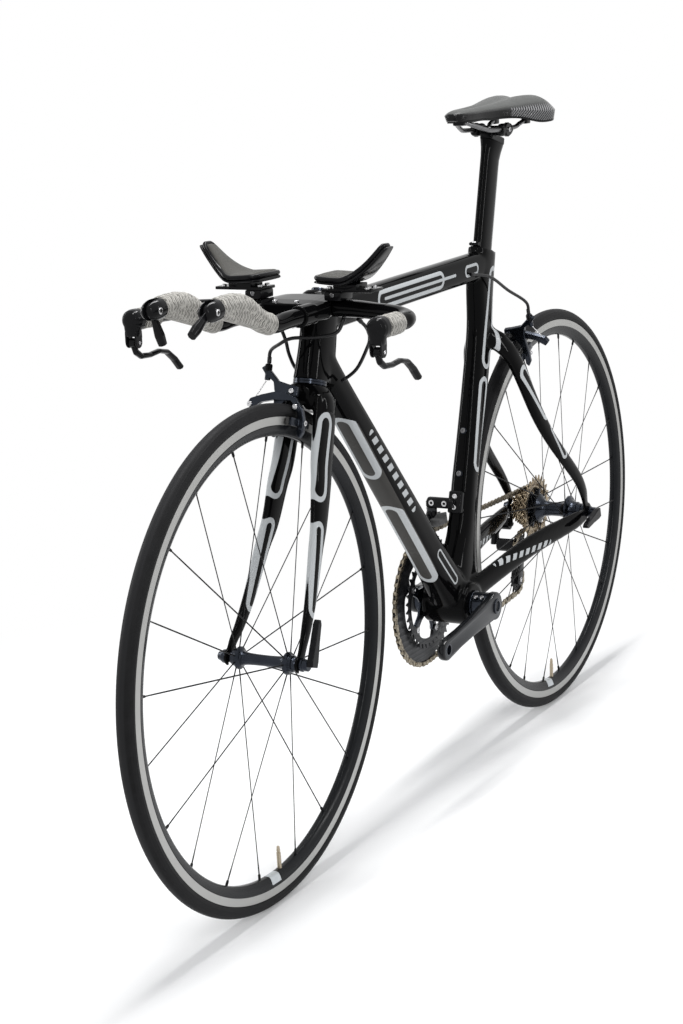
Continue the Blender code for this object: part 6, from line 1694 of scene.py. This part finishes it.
def saddle_place(back, left, rise):
    """A point measured back from the saddle's nose, at the height of the rails."""
    post = seat(POST_TOP)
    return Vector((post.x + SADDLE_SETBACK - back, left, post.z + RAIL_RISE + rise))


def ramp(value, start, length):
    """Nothing up to a start, growing to one over a length."""
    return min(1.0, max(0.0, value - start) / length)


def saddle_ring(row, start, end, count=30):
    """One section of the saddle between two depths below its top, crowned and turned down at the edges."""
    share, half, drop, top, thick = row
    rows = []
    for depth in (start, end):
        line = []
        low = ramp(share, 0.12, 0.25) if depth > 0 else 1.0
        for k in range(count + 1):
            v = math.sin(math.pi / 2 * (-1 + 2 * k / count))
            channel = 0.0040 * math.exp(-((v / 0.22) ** 2)) * ramp(share, 0.15, 0.12)
            channel += 0.0060 * math.exp(-((v / 0.30) ** 2)) * ramp(share, 0.80, 0.20)
            skirt = 0.4 * thick * low * abs(v) ** 6 if depth > 0 else 0.0
            height = top - drop * low * abs(v) ** 3 - channel - depth - skirt
            line.append(saddle_place(share * SADDLE_LENGTH, v * (half - 0.22 * depth), height))
        rows.append(line)
    return [*rows[0], *reversed(rows[1])]


def rail_points(side):
    spots = [(0.044, 0.0045, 0.0150), (0.052, 0.0095, 0.0130), (0.085, RAIL_SPREAD * 0.85, 0.0040)]
    spots += [(0.110, RAIL_SPREAD, 0.0), (0.190, RAIL_SPREAD, 0.0), (0.208, 0.0250, 0.0050), (0.232, 0.0265, 0.0110)]
    return [saddle_place(back, side * left, rise) for back, left, rise in spots]


def saddle():
    rows = smooth_rows(SADDLE_ROWS, 5)
    cover = Shape().loft([saddle_ring(row, 0.0, row[4]) for row in rows])
    cover.skin("saddle_cover", saddle_hide(), 62, "saddle_cushion")
    inner = [row for row in rows if 0.11 < row[0] < 0.985]
    shape = Shape().loft([saddle_ring(row, row[4] + 2 * SEAT_GAP, row[4] + SHELL_SKIN * 0.8) for row in inner])
    shape.block(saddle_place(0.046, 0, 0.0156), (0.018, 0.018, 0.0110), edge=0.0025)
    for side in (1, -1):
        shape.block(saddle_place(0.230, side * 0.0265, 0.0188), (0.016, 0.0095, 0.0304), edge=0.0020)
    shape.skin("saddle_shell", PLASTIC, 40, "saddle_base")
    wire = smooth_path([*reversed(rail_points(1)), *rail_points(-1)], 6)
    rails = Shape().loft(tube_rings(wire, RAIL_RADIUS, 16))
    rails.skin("saddle_rails", DARK_STEEL, 50, "saddle_rail_wire", "polished_metal")


def seatpost():
    foot, head = SEAT_TUBE - POST_SINK, POST_HEAD - 0.024
    rings = [post_ring(foot + (head - foot) * k / 12) for k in range(13)]
    rows = [(0.024, -0.002, POST_WIDTH / 2, POST_CHORD / 2, 0.12), (0.012, -0.003, 0.0105, 0.0275, 0.05)]
    for below, fore, wide, deep, pinch in smooth_rows([*rows, (0.0, -0.004, 0.0125, 0.0305, 0.05)], 5)[1:]:
        rings.append(ring_points(seat(POST_HEAD - below, fore), LEFT, SEAT_FORE, wide, deep, 2.5, 40, pinch))
    stripes = [(seat(0.615, -0.0195), SEAT_UP, SEAT_FORE, 0.060, 0.0009, 0.0, side, 0.02) for side in (LEFT, -LEFT)]
    Shape().loft(rings).skin("seatpost", lacquer("post lacquer", stripes), 40)


def saddle_clamps():
    """Both clamps with their screws, and the yoke that holds the rails."""
    Shape("seatpost_clamp").melted("seatpost_clamp", PLASTIC, 0.0006, 4)
    Shape("saddle_clamp").melted("saddle_clamp", PLASTIC, 0.0008, 6)
    wedge = seat(SEAT_TUBE + 0.0040, 0.0335 + 2 * SEAT_GAP - 0.0040)
    screws("post_wedge_screw", [(wedge, SEAT_UP)], "frame_body", 0.0030, 0.0026)
    middle = Vector((seat(POST_HEAD, -0.004).x, 0, seat(POST_TOP).z + RAIL_RISE - 0.0015))
    spots = [(middle + Vector((x, 0, 0.0020)), UP) for x in (0.0060, -0.0060)]
    spots += [(middle + out * (RAIL_SPREAD + 0.0060), out) for out in (LEFT, -LEFT)]
    screws("saddle_clamp_bolts", spots, "frame_body", 0.0036, 0.0032)
    cap = [(0, 0), (0, 0.0100), (0.0012, 0.0108), (0.0052, 0.0108), (0.0062, 0.0098), (0.0062, 0)]
    yoke = Shape()
    for out in (LEFT, -LEFT):
        yoke.turned(cap, middle + out * (RAIL_SPREAD + 0.0005), out, 32)
    half = LEFT * (RAIL_SPREAD + 0.001)
    yoke.rod(middle - half, middle + half, 0.0062, 28)
    yoke.fit("saddle_yoke", PLASTIC, "frame_body", 34, "anodised_black")


class BICYCLE_OT_saddle(bpy.types.Operator):
    """Build the seatpost, its clamps, the saddle and its rails"""

    bl_idname = "bicycle.saddle"
    bl_label = "Saddle and post"

    def execute(self, context):
        saddle()
        seatpost()
        saddle_clamps()
        return {"FINISHED"}


# Cockpit


def bar_rows():
    t, c = BAR_THICKNESS / 2, BAR_CHORD / 2
    rows = [
        (0.0, 0.0, BAR_RISE, t, c),
        (0.0, 0.074, BAR_RISE, t, c),
        (0.010, 0.115, BAR_RISE - 0.001, t * 0.96, c * 0.92),
        (0.022, 0.148, BAR_RISE - 0.002, t, c * 0.80),
        (0.034, 0.168, HORN_RISE + 0.001, t, t * 1.25),
        (0.052, HORN_Y, HORN_RISE, t, t * 1.04),
        (0.070, HORN_Y, HORN_RISE, t, t),
        (HORN_FORWARD - BAR_FORWARD, HORN_Y, HORN_RISE, t, t),
    ]
    return [(cockpit(BAR_FORWARD + ahead, left, rise), high, deep) for ahead, left, rise, high, deep in rows]


def extension_points(side):
    points = [(0.0700, EXTENSION_RISE), (0.1480, EXTENSION_RISE), (0.1900, EXTENSION_RISE - 0.001)]
    points += [(0.2260, 0.0200), (0.2580, 0.0392), (0.2900, 0.0450), (0.3255, 0.0435)]
    return [cockpit(forward, side * EXTENSION_Y, rise) for forward, rise in points]


def wound(node, path, inner):
    """Tape wound on a tube: its turns overlap in small steps that climb round the bar."""
    tape = bpy.context.scene.bike_tape
    sides = 40
    lengths = [0.0]
    for a, b in zip(path, path[1:]):
        lengths.append(lengths[-1] + (b - a).length)
    total = lengths[-1]
    steps = int(total / 0.0012)
    marks = [total * k / steps for k in range(steps + 1)]
    rows = []
    side = LEFT
    index = 0
    for s in marks:
        while index < len(path) - 2 and lengths[index + 1] < s:
            index += 1
        t = (s - lengths[index]) / (lengths[index + 1] - lengths[index])
        point = path[index].lerp(path[index + 1], t)
        tangent = heading(path, index).lerp(heading(path, index + 1), t).normalized()
        side = (side - tangent * side.dot(tangent)).normalized()
        other = tangent.cross(side)
        ends = min(1.0, min(s, total - s) / 0.003)
        row = []
        for i in range(sides):
            angle = 2 * math.pi * i / sides
            phase = (s / tape.turn + i / sides) % 1.0
            lift = tape.step * (0.25 + 0.75 * phase) * min(1.0, (1.0 - phase) / 0.06)
            lump = 0.00018 * math.sin(5 * angle + 60 * s) * math.sin(140 * s)
            thick = TAPE_THICKNESS - 0.0006 + lift + lump
            reach = inner + thick * (0.55 + 0.45 * math.sqrt(max(0.0, ends)))
            row.append(point + (side * math.cos(angle) + other * math.sin(angle)) * reach)
        rows.append(row)
    inside = []
    for row in (rows[-1], rows[0]):
        centre = sum(row, Vector()) / len(row)
        inside.append([centre + (point - centre).normalized() * inner for point in row])
    shape = Shape().loft([*rows, *inside], closed=True, uv=[*marks, total + 0.002, -0.002, 0.0])
    shape.skin(node, tape_cloth(), 60, node + "_wrap")


def shift_lever(hand, pivot):
    """The shift lever, a broad paddle on its round base."""
    node = f"shift_lever_{hand}"
    shape = Shape(node)
    tip = max((vert.co for vert in shape.bm.verts), key=lambda co: (co - pivot).length).copy()
    along = (tip - pivot).normalized()
    for vert in shape.bm.verts:
        reach = (vert.co - pivot).dot(along)
        if reach > 0.010:
            vert.co -= along * (reach - 0.010) * 0.28
            vert.co.y += (vert.co.y - pivot.y) * 0.35
    shape.melted(node, PLASTIC, 0.0005, 8)


def base_bar():
    rows = smooth_rows(bar_rows(), 7)
    right = [(Vector((p.x, -p.y, p.z)), high, deep) for p, high, deep in reversed(rows[1:])]
    Shape().loft(swept_rings([*right, *rows], hint=UP, count=40)).skin("base_bar", black_lacquer(), 40)


def bar_tape(side, hand):
    start = cockpit(BAR_FORWARD + 0.073, side * HORN_Y, HORN_RISE)
    end = cockpit(HORN_FORWARD - 0.0045, side * HORN_Y, HORN_RISE)
    wound(f"bar_tape_{hand}", [start.lerp(end, k / 6) for k in range(7)], BAR_THICKNESS / 2 + SEAT_GAP)


def extension(side, hand):
    """An extension with its tape, its slotted shifter pod and its shift lever."""
    points = extension_points(side)
    path, coarse = smooth_path(points, 8), smooth_path(points, 2)
    Shape().loft(tube_rings(path, EXTENSION_RADIUS, 32)).skin(f"extension_{hand}", black_lacquer(), 40)
    tip, out = path[-1], (coarse[-1] - coarse[-2]).normalized()
    profile = [(-0.004, 0), (-0.004, 0.0122), (-0.0032, 0.0130), (0.004, 0.0135), (0.012, 0.0134), (0.018, 0.0120)]
    profile += [(0.0225, 0.0098), (0.0250, 0.0075), (0.026, 0.0045), (0.026, 0)]
    pod = Shape().turned(profile, tip, out, 40).made(f"shifter_pod_{hand}", PLASTIC, 34)
    slot = Shape().block(tip + out * 0.0160, (0.0300, 0.0084, 0.0400), out, UP, edge=0.0)
    attach(carved(pod, [slot], 34), "steering", "satin_black")
    pivot = tip + out * 0.0125
    spots = [(pivot + way * 0.0118, way) for way in (LEFT, -LEFT)]
    screws(f"shifter_screws_{hand}", spots, "steering", 0.0042, 0.0016)
    taped = coarse[4:]
    taped[-1] = taped[-1] - out * 0.0045
    taped[0] = taped[0].lerp(taped[1], 0.35)
    wound(f"extension_tape_{hand}", smooth_path(taped, 5), EXTENSION_RADIUS + SEAT_GAP)
    shift_lever(hand, pivot)


def stem():
    """A faceted stem: the steerer's collar, a wide fairing over the bar and two clamp noses."""
    top = HEAD_TOP + STEM_HEIGHT
    foot = steer(HEAD_TOP + 2 * SEAT_GAP)
    rows = [(HEAD_TOP + 2 * SEAT_GAP, 0.0205, 0.0262), (top - 0.004, 0.0200, 0.0255), (top, 0.0160, 0.0210)]
    shape = Shape().loft([ring_points(steer(s), LEFT, STEER_FORE, wide, deep, 2.2, 40) for s, wide, deep in rows])
    rows = [(0.006, 0.0180, 0.0100, 0.0145), (0.030, 0.0460, 0.0145, 0.0120), (0.070, 0.0580, 0.0140, 0.0105)]
    rows += [(0.096, 0.0540, 0.0125, 0.0095)]
    shape.loft([ring_points(cockpit(x, 0, rise), LEFT, UP, wide, high, 4.0, 48) for x, wide, high, rise in rows])
    slots = Shape()
    for side in (1, -1):
        start = cockpit(0.090, side * EXTENSION_Y, EXTENSION_RISE)
        shape.rod(start, cockpit(0.1250, side * EXTENSION_Y, EXTENSION_RISE), 0.0142, 40, 0.0008)
        middle = cockpit(0.1120, side * EXTENSION_Y, EXTENSION_RISE - 0.0140)
        slots.block(middle, (0.0270, 0.0018, 0.0200), edge=0.0)
    room = Shape().rod(steer(HEAD_TOP - 0.050), foot, STEM_RADIUS + 0.0012, 40)
    shape.melted("stem", black_lacquer(), 0.0011, 3, [room, slots], 34)
    cap = [(0, 0), (0, 0.0118), (0.0046, 0.0115), (0.0060, 0.0104), (0.0060, 0.0052), (0.0042, 0.0050), (0.0042, 0)]
    Shape().turned(cap, steer(top - 0.0006), STEER_UP, 40).fit("stem_cap", METAL, "steering", 30)
    spots = [(steer(top + 0.0036), STEER_UP)]
    for side in (1, -1):
        lean = Vector((0, 0.3 * side, -1))
        inner = side * (EXTENSION_Y - 0.0100)
        spots += [(cockpit(x, inner, EXTENSION_RISE - 0.0118), lean) for x in (0.1030, 0.1190)]
        spots.append((cockpit(0.0840, side * 0.0160, 0.0222), UP))
    screws("stem_bolts", spots, "steering", 0.0034, 0.0030)


def pad_curve(v):
    """How far out and how high a pad's middle line is, at a share of its width."""
    return 0.042 + 0.088 * v + 0.004 * v**3, 0.0030 * (1 - v) ** 2 + 0.0440 * max(0.0, (v - 0.42) / 0.58) ** 1.7


def pad_rings(side, low, high, grow=0.0, round_off=0.0):
    """Sections across a winged pad or its cup, between two heights above the cup's top surface."""
    chords = [(0.00, 0.0260), (0.04, 0.0315), (0.12, 0.0350), (0.30, 0.0370), (0.50, 0.0345)]
    chords += [(0.66, 0.0255), (0.80, 0.0185), (0.92, 0.0138), (0.98, 0.0105), (1.00, 0.0075)]
    rings = []
    for v, half in smooth_rows(chords, 4):
        v = min(1.0, max(0.0, v))
        left, rise = pad_curve(v)
        across, climb = (after - before for before, after in zip(pad_curve(v - 0.01), pad_curve(v + 0.01)))
        normal = Vector((0, -side * climb, across)).normalized()
        outward = Vector((0, side * across, climb)).normalized()
        ends = min(1.0, min(v, 1 - v) / 0.06)
        half_high = (high - low) * (1 - round_off * (1 - math.sqrt(1 - (1 - ends) ** 2))) / 2
        reach = grow if v > 0.5 else -grow
        centre = cockpit(PAD_FORWARD + 0.003 * v, side * left, PAD_RISE + rise)
        centre += outward * reach * (1 - ends) + normal * (low + half_high)
        rings.append(ring_points(centre, FORWARD, normal, half + grow, half_high, 3.2, 36))
    return rings


def arm_rest(side, hand):
    """A winged cup on its brackets, with its pad, its rolled edge and its screws."""
    top = BAR_RISE + BAR_THICKNESS / 2 + SEAT_GAP
    shape = Shape().loft(pad_rings(side, -0.0058, -0.0001, 0.0016, 0.5))
    shape.block(cockpit(0.0500, side * 0.0590, top + 0.0060), (0.034, 0.0250, 0.0120), edge=0.0030)
    shape.block(cockpit(0.0500, side * 0.0800, top + 0.0140), (0.034, 0.072, 0.0042), edge=0.0012)
    shape.block(cockpit(0.0520, side * 0.0780, top + 0.0190), (0.032, 0.034, 0.0070), edge=0.0015)
    shape.skin(f"arm_rest_{hand}", PLASTIC, 34)
    pad = Shape().loft(pad_rings(side, 0.0, 0.0072, -0.0026, 0.8))
    pad.skin(f"arm_pad_{hand}", pad_cloth(), 70, f"arm_pad_{hand}_cushion")
    rims = pad_rings(side, -0.0010, 0.0050, -0.0010)
    fore, aft = [ring[0] for ring in rims], [ring[len(ring) // 2] for ring in rims]
    edge = Shape().loft(tube_rings([*fore, *reversed(aft)], 0.0032, 14), closed=True)
    edge.fit(f"arm_rest_{hand}_edge", PLASTIC, "steering", 60)
    spots = [(cockpit(x, side * y, top + 0.0161), UP) for x in (0.0400, 0.0600) for y in (0.1060, 0.0520)]
    screws(f"arm_rest_bolts_{hand}", spots, "steering", 0.0034, 0.0026)
    spots = [(cockpit(x, side * 0.0590, top + 0.0080), way) for x, way in ((0.0668, FORWARD), (0.0332, -FORWARD))]
    screws(f"arm_rest_pins_{hand}", spots, "steering", 0.0030, 0.0014, DARK_STEEL)


class BICYCLE_OT_cockpit(bpy.types.Operator):
    """Build the base bar, the stem, the extensions, their tape and the arm rests"""

    bl_idname = "bicycle.cockpit"
    bl_label = "Cockpit"

    def execute(self, context):
        base_bar()
        for side, hand in SIDES:
            bar_tape(side, hand)
            extension(side, hand)
        stem()
        for side, hand in SIDES:
            arm_rest(side, hand)
        return {"FINISHED"}


# Controls


def brake_lever(side, hand):
    """A lever and its bracket: a domed cap on the bar's end, a neck and two cheeks for the lever's pin."""
    horn = cockpit(HORN_FORWARD, side * HORN_Y, HORN_RISE)
    cap = [(-0.0008, 0), (-0.0008, 0.0138), (0.0004, 0.0147), (0.0100, 0.0147), (0.0150, 0.0136), (0.0182, 0.0108)]
    cap += [(0.0198, 0.0070), (0.0200, 0)]
    shape = Shape().turned(cap, horn, FORWARD, 48)
    neck = [(-0.0040, 0.0118, 0.0094), (-0.0120, 0.0108, 0.0094), (-0.0180, 0.0094, 0.0088), (-0.0204, 0.0086, 0.0080)]
    middle = horn + FORWARD * 0.0104
    shape.loft([ring_points(middle + UP * rise, LEFT, FORWARD, wide, deep, 2.8, 32) for rise, wide, deep in neck])
    cheek = [(0.0078, 0.0150), (-0.0078, 0.0150), (-0.0074, -0.0004)]
    cheek += [polar(-0.0072, angle) for angle in (0.3, 0.8, 1.3, 1.57, 1.84, 2.34, 2.84)]
    cheek.append((0.0074, -0.0004))
    for way in (LEFT, -LEFT):
        shape.plate([cheek], 0.0022, middle - UP * 0.0290 + way * 0.0074)
    shape.melted(f"brake_bracket_{hand}", PLASTIC, 0.0005, 4)
    Shape(f"brake_lever_{hand}").melted(f"brake_lever_{hand}", PLASTIC, 0.0005, 14)
    pivot = horn + Vector((0.0105, 0, -0.0290))
    spots = [(pivot + way * 0.0086, way) for way in (LEFT, -LEFT)]
    screws(f"lever_pins_{hand}", spots, "steering", 0.0026, 0.0010)


def brake(end):
    """One calliper: its two arms, blocks in their holders, the adjuster, the inner wire and the bolts."""
    foot, out, up = calliper(end)
    wheel = AXLE[end]
    turn = 1 if end == "front" else -1
    away = LEFT * turn
    reach = RIM_EDGE_RADIUS - BRAKE_TRACK / 2 - 0.0005
    rim_middle = wheel + up * math.sqrt(reach**2 - 0.006**2) + out * 0.006
    bolts = {
        1: [foot + away * 0.0143 - up * 0.0220 + out * 0.0278, foot - away * 0.0560 - up * 0.0205 + out * 0.0246],
        -1: [foot + out * 0.0163],
    }
    for way, points in bolts.items():
        side = away * way
        hand = HAND[turn * way]
        node = f"{end}_brake_arm_{hand}"
        body = BODY_OF[node]
        Shape(node).melted(node, METAL, 0.0006, 14)
        middle = rim_middle + side * (RIM_WIDTH / 2 + 0.0016 + 0.0040)
        along = (wheel - middle).cross(away)
        along = (along - away * along.dot(away)).normalized()
        over = away.cross(along)
        block = Shape().block(middle - side * 0.0022, (0.0520, 0.0046, 0.0096), along, over, 0.0014)
        block.fit(f"{end}_brake_block_{hand}", RUBBER, body, 40)
        holder = Shape().block(middle + side * 0.0018, (0.0480, 0.0040, 0.0106), along, over, 0.0010)
        holder.fit(f"{end}_brake_holder_{hand}", METAL, body, 40)
        spots = [(middle + side * 0.0098, side), *[(point, out) for point in points]]
        screws(f"{end}_brake_bolts_{hand}", spots, body, 0.0036, 0.0022)
    top = foot + out * 0.0128 - away * 0.0400
    knurl = [(0.0250, 0), (0.0250, 0.0046)]
    for k in range(7):
        knurl += [(0.0258 + 0.0012 * k, 0.0052), (0.0262 + 0.0012 * k, 0.0048)]
    adjuster = Shape().turned([*knurl, (0.0346, 0.0042), (0.0350, 0)], top, up, 24)
    adjuster.fit(f"{end}_brake_adjuster", PLASTIC, BODY_OF[f"{end}_brake_arm_{HAND[-turn]}"], 30)
    start, low = top + up * 0.0150, foot - away * 0.0545 - up * 0.0170 + out * 0.0206
    wire = Shape().loft(tube_rings([start, start.lerp(low, 0.5), low], 0.0007, 8))
    wire.fit(f"{end}_brake_wire", STEEL, "steering" if end == "front" else "frame_body", 50)


class BICYCLE_OT_controls(bpy.types.Operator):
    """Build the brake levers with their brackets, and both callipers"""

    bl_idname = "bicycle.controls"
    bl_label = "Levers and brakes"

    def execute(self, context):
        for side, hand in SIDES:
            brake_lever(side, hand)
        for end in AXLE:
            brake(end)
        return {"FINISHED"}


# Cables


def cable(node, points):
    """A cable's housing on one smooth curve, with a ferrule at each end."""
    path = smooth_path(points, 6)
    shape = Shape().loft(tube_rings(path, CABLE_RADIUS, 16))
    collar = [(0, 0), (0, 0.0026), (0.0004, 0.00295), (0.0080, 0.00295), (0.0086, 0.0025), (0.0086, 0)]
    for first, second in ((path[0], path[1]), (path[-1], path[-2])):
        shape.turned(collar, first, (second - first).normalized(), 16)
    return shape.made(node + "_housing", HOUSING, 50)


def cables():
    """The brake cables ride with one body; the frame cables curve from the base bar down to the frame and stay fixed
    where they are built.
    """
    under = BAR_RISE - BAR_THICKNESS / 2 - 5 * SEAT_GAP
    foot, out, up = calliper("front")
    adjuster = foot + out * 0.0128 + up * 0.0356 - LEFT * 0.0400
    route = [(0.0720, -0.0200, -0.0350), (0.0732, 0.0000, -0.0262), (0.0640, 0.0300, -0.0250)]
    route = [cockpit(*point) for point in (*route, (0.0540, 0.0560, -0.0200), (BAR_FORWARD, 0.0640, under))]
    place(cable("front_brake_cable", [adjuster, adjuster + up * 0.016, *route]), "front_brake_cable")
    bends = {
        1: [
            (0.0299, 0.0880, -0.0158),
            (0.0128, 0.0830, -0.0314),
            (-0.0064, 0.0680, -0.0491),
            (-0.0158, 0.0470, -0.0778),
        ],
        -1: [
            (0.0340, 0.0400, -0.0158),
            (0.0312, 0.0330, -0.0353),
            (0.0263, 0.0310, -0.0558),
            (0.0091, 0.0300, -0.0785),
        ],
    }
    for side, start_y in ((1, 0.0840), (-1, 0.0460)):
        node = f"frame_cable_{HAND[side]}"
        port = steer(HEAD_BOTTOM + 0.006, -0.0460, side * (0.0205 + CABLE_RADIUS + SEAT_GAP))
        route = [(BAR_FORWARD, start_y, under), *bends[side]]
        route = [cockpit(forward, side * left, rise) for forward, left, rise in route]
        made = cable(node, [*route, port])
        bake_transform(made)
        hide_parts(node)
    foot, out, up = calliper("rear")
    anchor = foot + out * 0.0128 + up * 0.0356 + LEFT * 0.0400
    start = REAR_AXLE + Vector((0.334, 0.0189, 0.431))
    bends = [(0, 0, 0), (-0.050, 0.0095, -0.0095), (-0.107, 0.0130, -0.0360)]
    route = [start + Vector(bend) for bend in bends]
    place(cable("rear_brake_cable", [*route, anchor + up * 0.022, anchor]), "rear_brake_cable")


class BICYCLE_OT_cables(bpy.types.Operator):
    """Build the brake and shift cables"""

    bl_idname = "bicycle.cables"
    bl_label = "Cables"

    def execute(self, context):
        cables()
        return {"FINISHED"}


# Stage


def studio_world(scene):
    """A soft light from all round that looks white where it is seen."""
    world = bpy.data.worlds.new("studio")
    scene.world = world
    world.use_nodes = True
    kit = Nodes(world.node_tree)
    kit.tree.nodes.clear()
    soft = kit.add("ShaderNodeBackground", {"Color": (0.95, 0.97, 1.0), "Strength": 0.42}).outputs[0]
    white = kit.add("ShaderNodeBackground", {"Color": (1.0, 1.0, 1.0), "Strength": 1.0}).outputs[0]
    mixed = kit.add("ShaderNodeMixShader", {0: kit.seen(), 1: soft, 2: white}).outputs[0]
    kit.add("ShaderNodeOutputWorld", {"Surface": mixed})


def floor_finish():
    """A pale floor that shows white where the lamps reach it and keeps the shadows."""
    kit = Finish("pale floor", Base_Color=(0.86, 0.86, 0.86), Roughness=0.9, Specular_IOR_Level=0.1)
    seen = kit.seen()
    kit.set(Emission_Color=(1.0, 1.0, 1.0), Emission_Strength=kit.product(seen, 0.10))
    reach = kit.add("ShaderNodeVectorMath", {0: kit.place}, operation="LENGTH").outputs["Value"]
    words = {"Value": reach, "From Min": 0.75, "From Max": 1.25}
    fade = kit.add("ShaderNodeMapRange", words, interpolation_type="SMOOTHSTEP").outputs["Result"]
    white = kit.add("ShaderNodeEmission").outputs[0]
    mixed = kit.add("ShaderNodeMixShader", {0: kit.product(fade, seen), 1: kit.shader.outputs[0], 2: white}).outputs[0]
    kit.feed(kit.tree.nodes["Material Output"].inputs["Surface"], mixed)
    return kit.material


def floor(radius):
    bm = bmesh.new()
    bmesh.ops.create_circle(bm, cap_ends=True, radius=radius, segments=96)
    mesh = bpy.data.meshes.new("floor")
    bm.to_mesh(mesh)
    bm.free()
    mesh.materials.append(floor_finish())
    made = link_object("floor", mesh)
    made.location.z = -0.0002


def lamp(name, spot, aim, size, power):
    data = bpy.data.lights.new(name, "AREA")
    data.energy = power
    data.shape = "RECTANGLE"
    data.size, data.size_y = size
    made = link_object(name, data)
    made.location = spot
    made.rotation_euler = (Vector(aim) - Vector(spot)).to_track_quat("-Z", "Y").to_euler()


def camera(scene):
    data = bpy.data.cameras.new("camera")
    data.lens = scene.bike_stage.lens
    data.sensor_width = 36.0
    data.clip_start = 0.05
    data.clip_end = 60.0
    made = link_object("camera", data)
    right = Vector((-0.46858, 0.88263, -0.03735))
    upward = Vector((-0.20658, -0.06837, 0.97604))
    back = Vector((0.85893, 0.46506, 0.21437))
    turn = Matrix((right, upward, back)).transposed().to_4x4()
    made.matrix_world = Matrix.Translation((2.80518, 1.38148, 1.12022)) @ turn
    scene.camera = made


class BICYCLE_OT_stage(bpy.types.Operator):
    """Set the camera, the floor and the lamps"""

    bl_idname = "bicycle.stage"
    bl_label = "Stage"

    def execute(self, context):
        scene = context.scene
        stage = scene.bike_stage
        scene.view_settings.view_transform = "Standard"
        studio_world(scene)
        floor(stage.floor)
        lamp("overhead", (0.0, 0.0, 2.7), (0.0, 0.0, 0.0), (2.6, 0.30), stage.key)
        lamp("front", (3.2, 1.9, 2.2), (0.0, 0.0, 0.5), (0.22, 1.8), stage.fill * 1.2)
        lamp("right", (0.6, -3.0, 1.4), (0.0, 0.0, 0.5), (0.22, 1.8), stage.fill)
        lamp("left", (-1.2, 3.0, 1.6), (0.0, 0.0, 0.5), (0.22, 1.8), stage.fill)
        camera(scene)
        return {"FINISHED"}


class BICYCLE_PT_panel(bpy.types.Panel):
    """The sidebar's list of pieces"""

    bl_label = "Time-Trial Bicycle"
    bl_idname = "BICYCLE_PT_panel"
    bl_space_type = "VIEW_3D"
    bl_region_type = "UI"
    bl_category = "Bicycle"

    def draw(self, context):
        for key, settings in SETTINGS.items():
            box = self.layout.box()
            group = getattr(context.scene, key)
            for name in settings.__annotations__:
                box.prop(group, name)
        for operator in OPERATORS:
            self.layout.operator(operator.bl_idname)


OPERATORS = (
    BICYCLE_OT_stage,
    BICYCLE_OT_frame,
    BICYCLE_OT_fork,
    BICYCLE_OT_wheels,
    BICYCLE_OT_saddle,
    BICYCLE_OT_cockpit,
    BICYCLE_OT_controls,
    BICYCLE_OT_drivetrain,
    BICYCLE_OT_derailleurs,
    BICYCLE_OT_cables,
)
CLASSES = (*SETTINGS.values(), *OPERATORS, BICYCLE_PT_panel)


def register():
    for item in CLASSES:
        bpy.utils.register_class(item)
    for key, settings in SETTINGS.items():
        setattr(bpy.types.Scene, key, bpy.props.PointerProperty(type=settings))


def unregister():
    for key in SETTINGS:
        delattr(bpy.types.Scene, key)
    for item in reversed(CLASSES):
        bpy.utils.unregister_class(item)


def main():
    register()
    for operator in OPERATORS:
        group, name = operator.bl_idname.split(".")
        getattr(getattr(bpy.ops, group), name)()


if __name__ == "__main__":
    main()
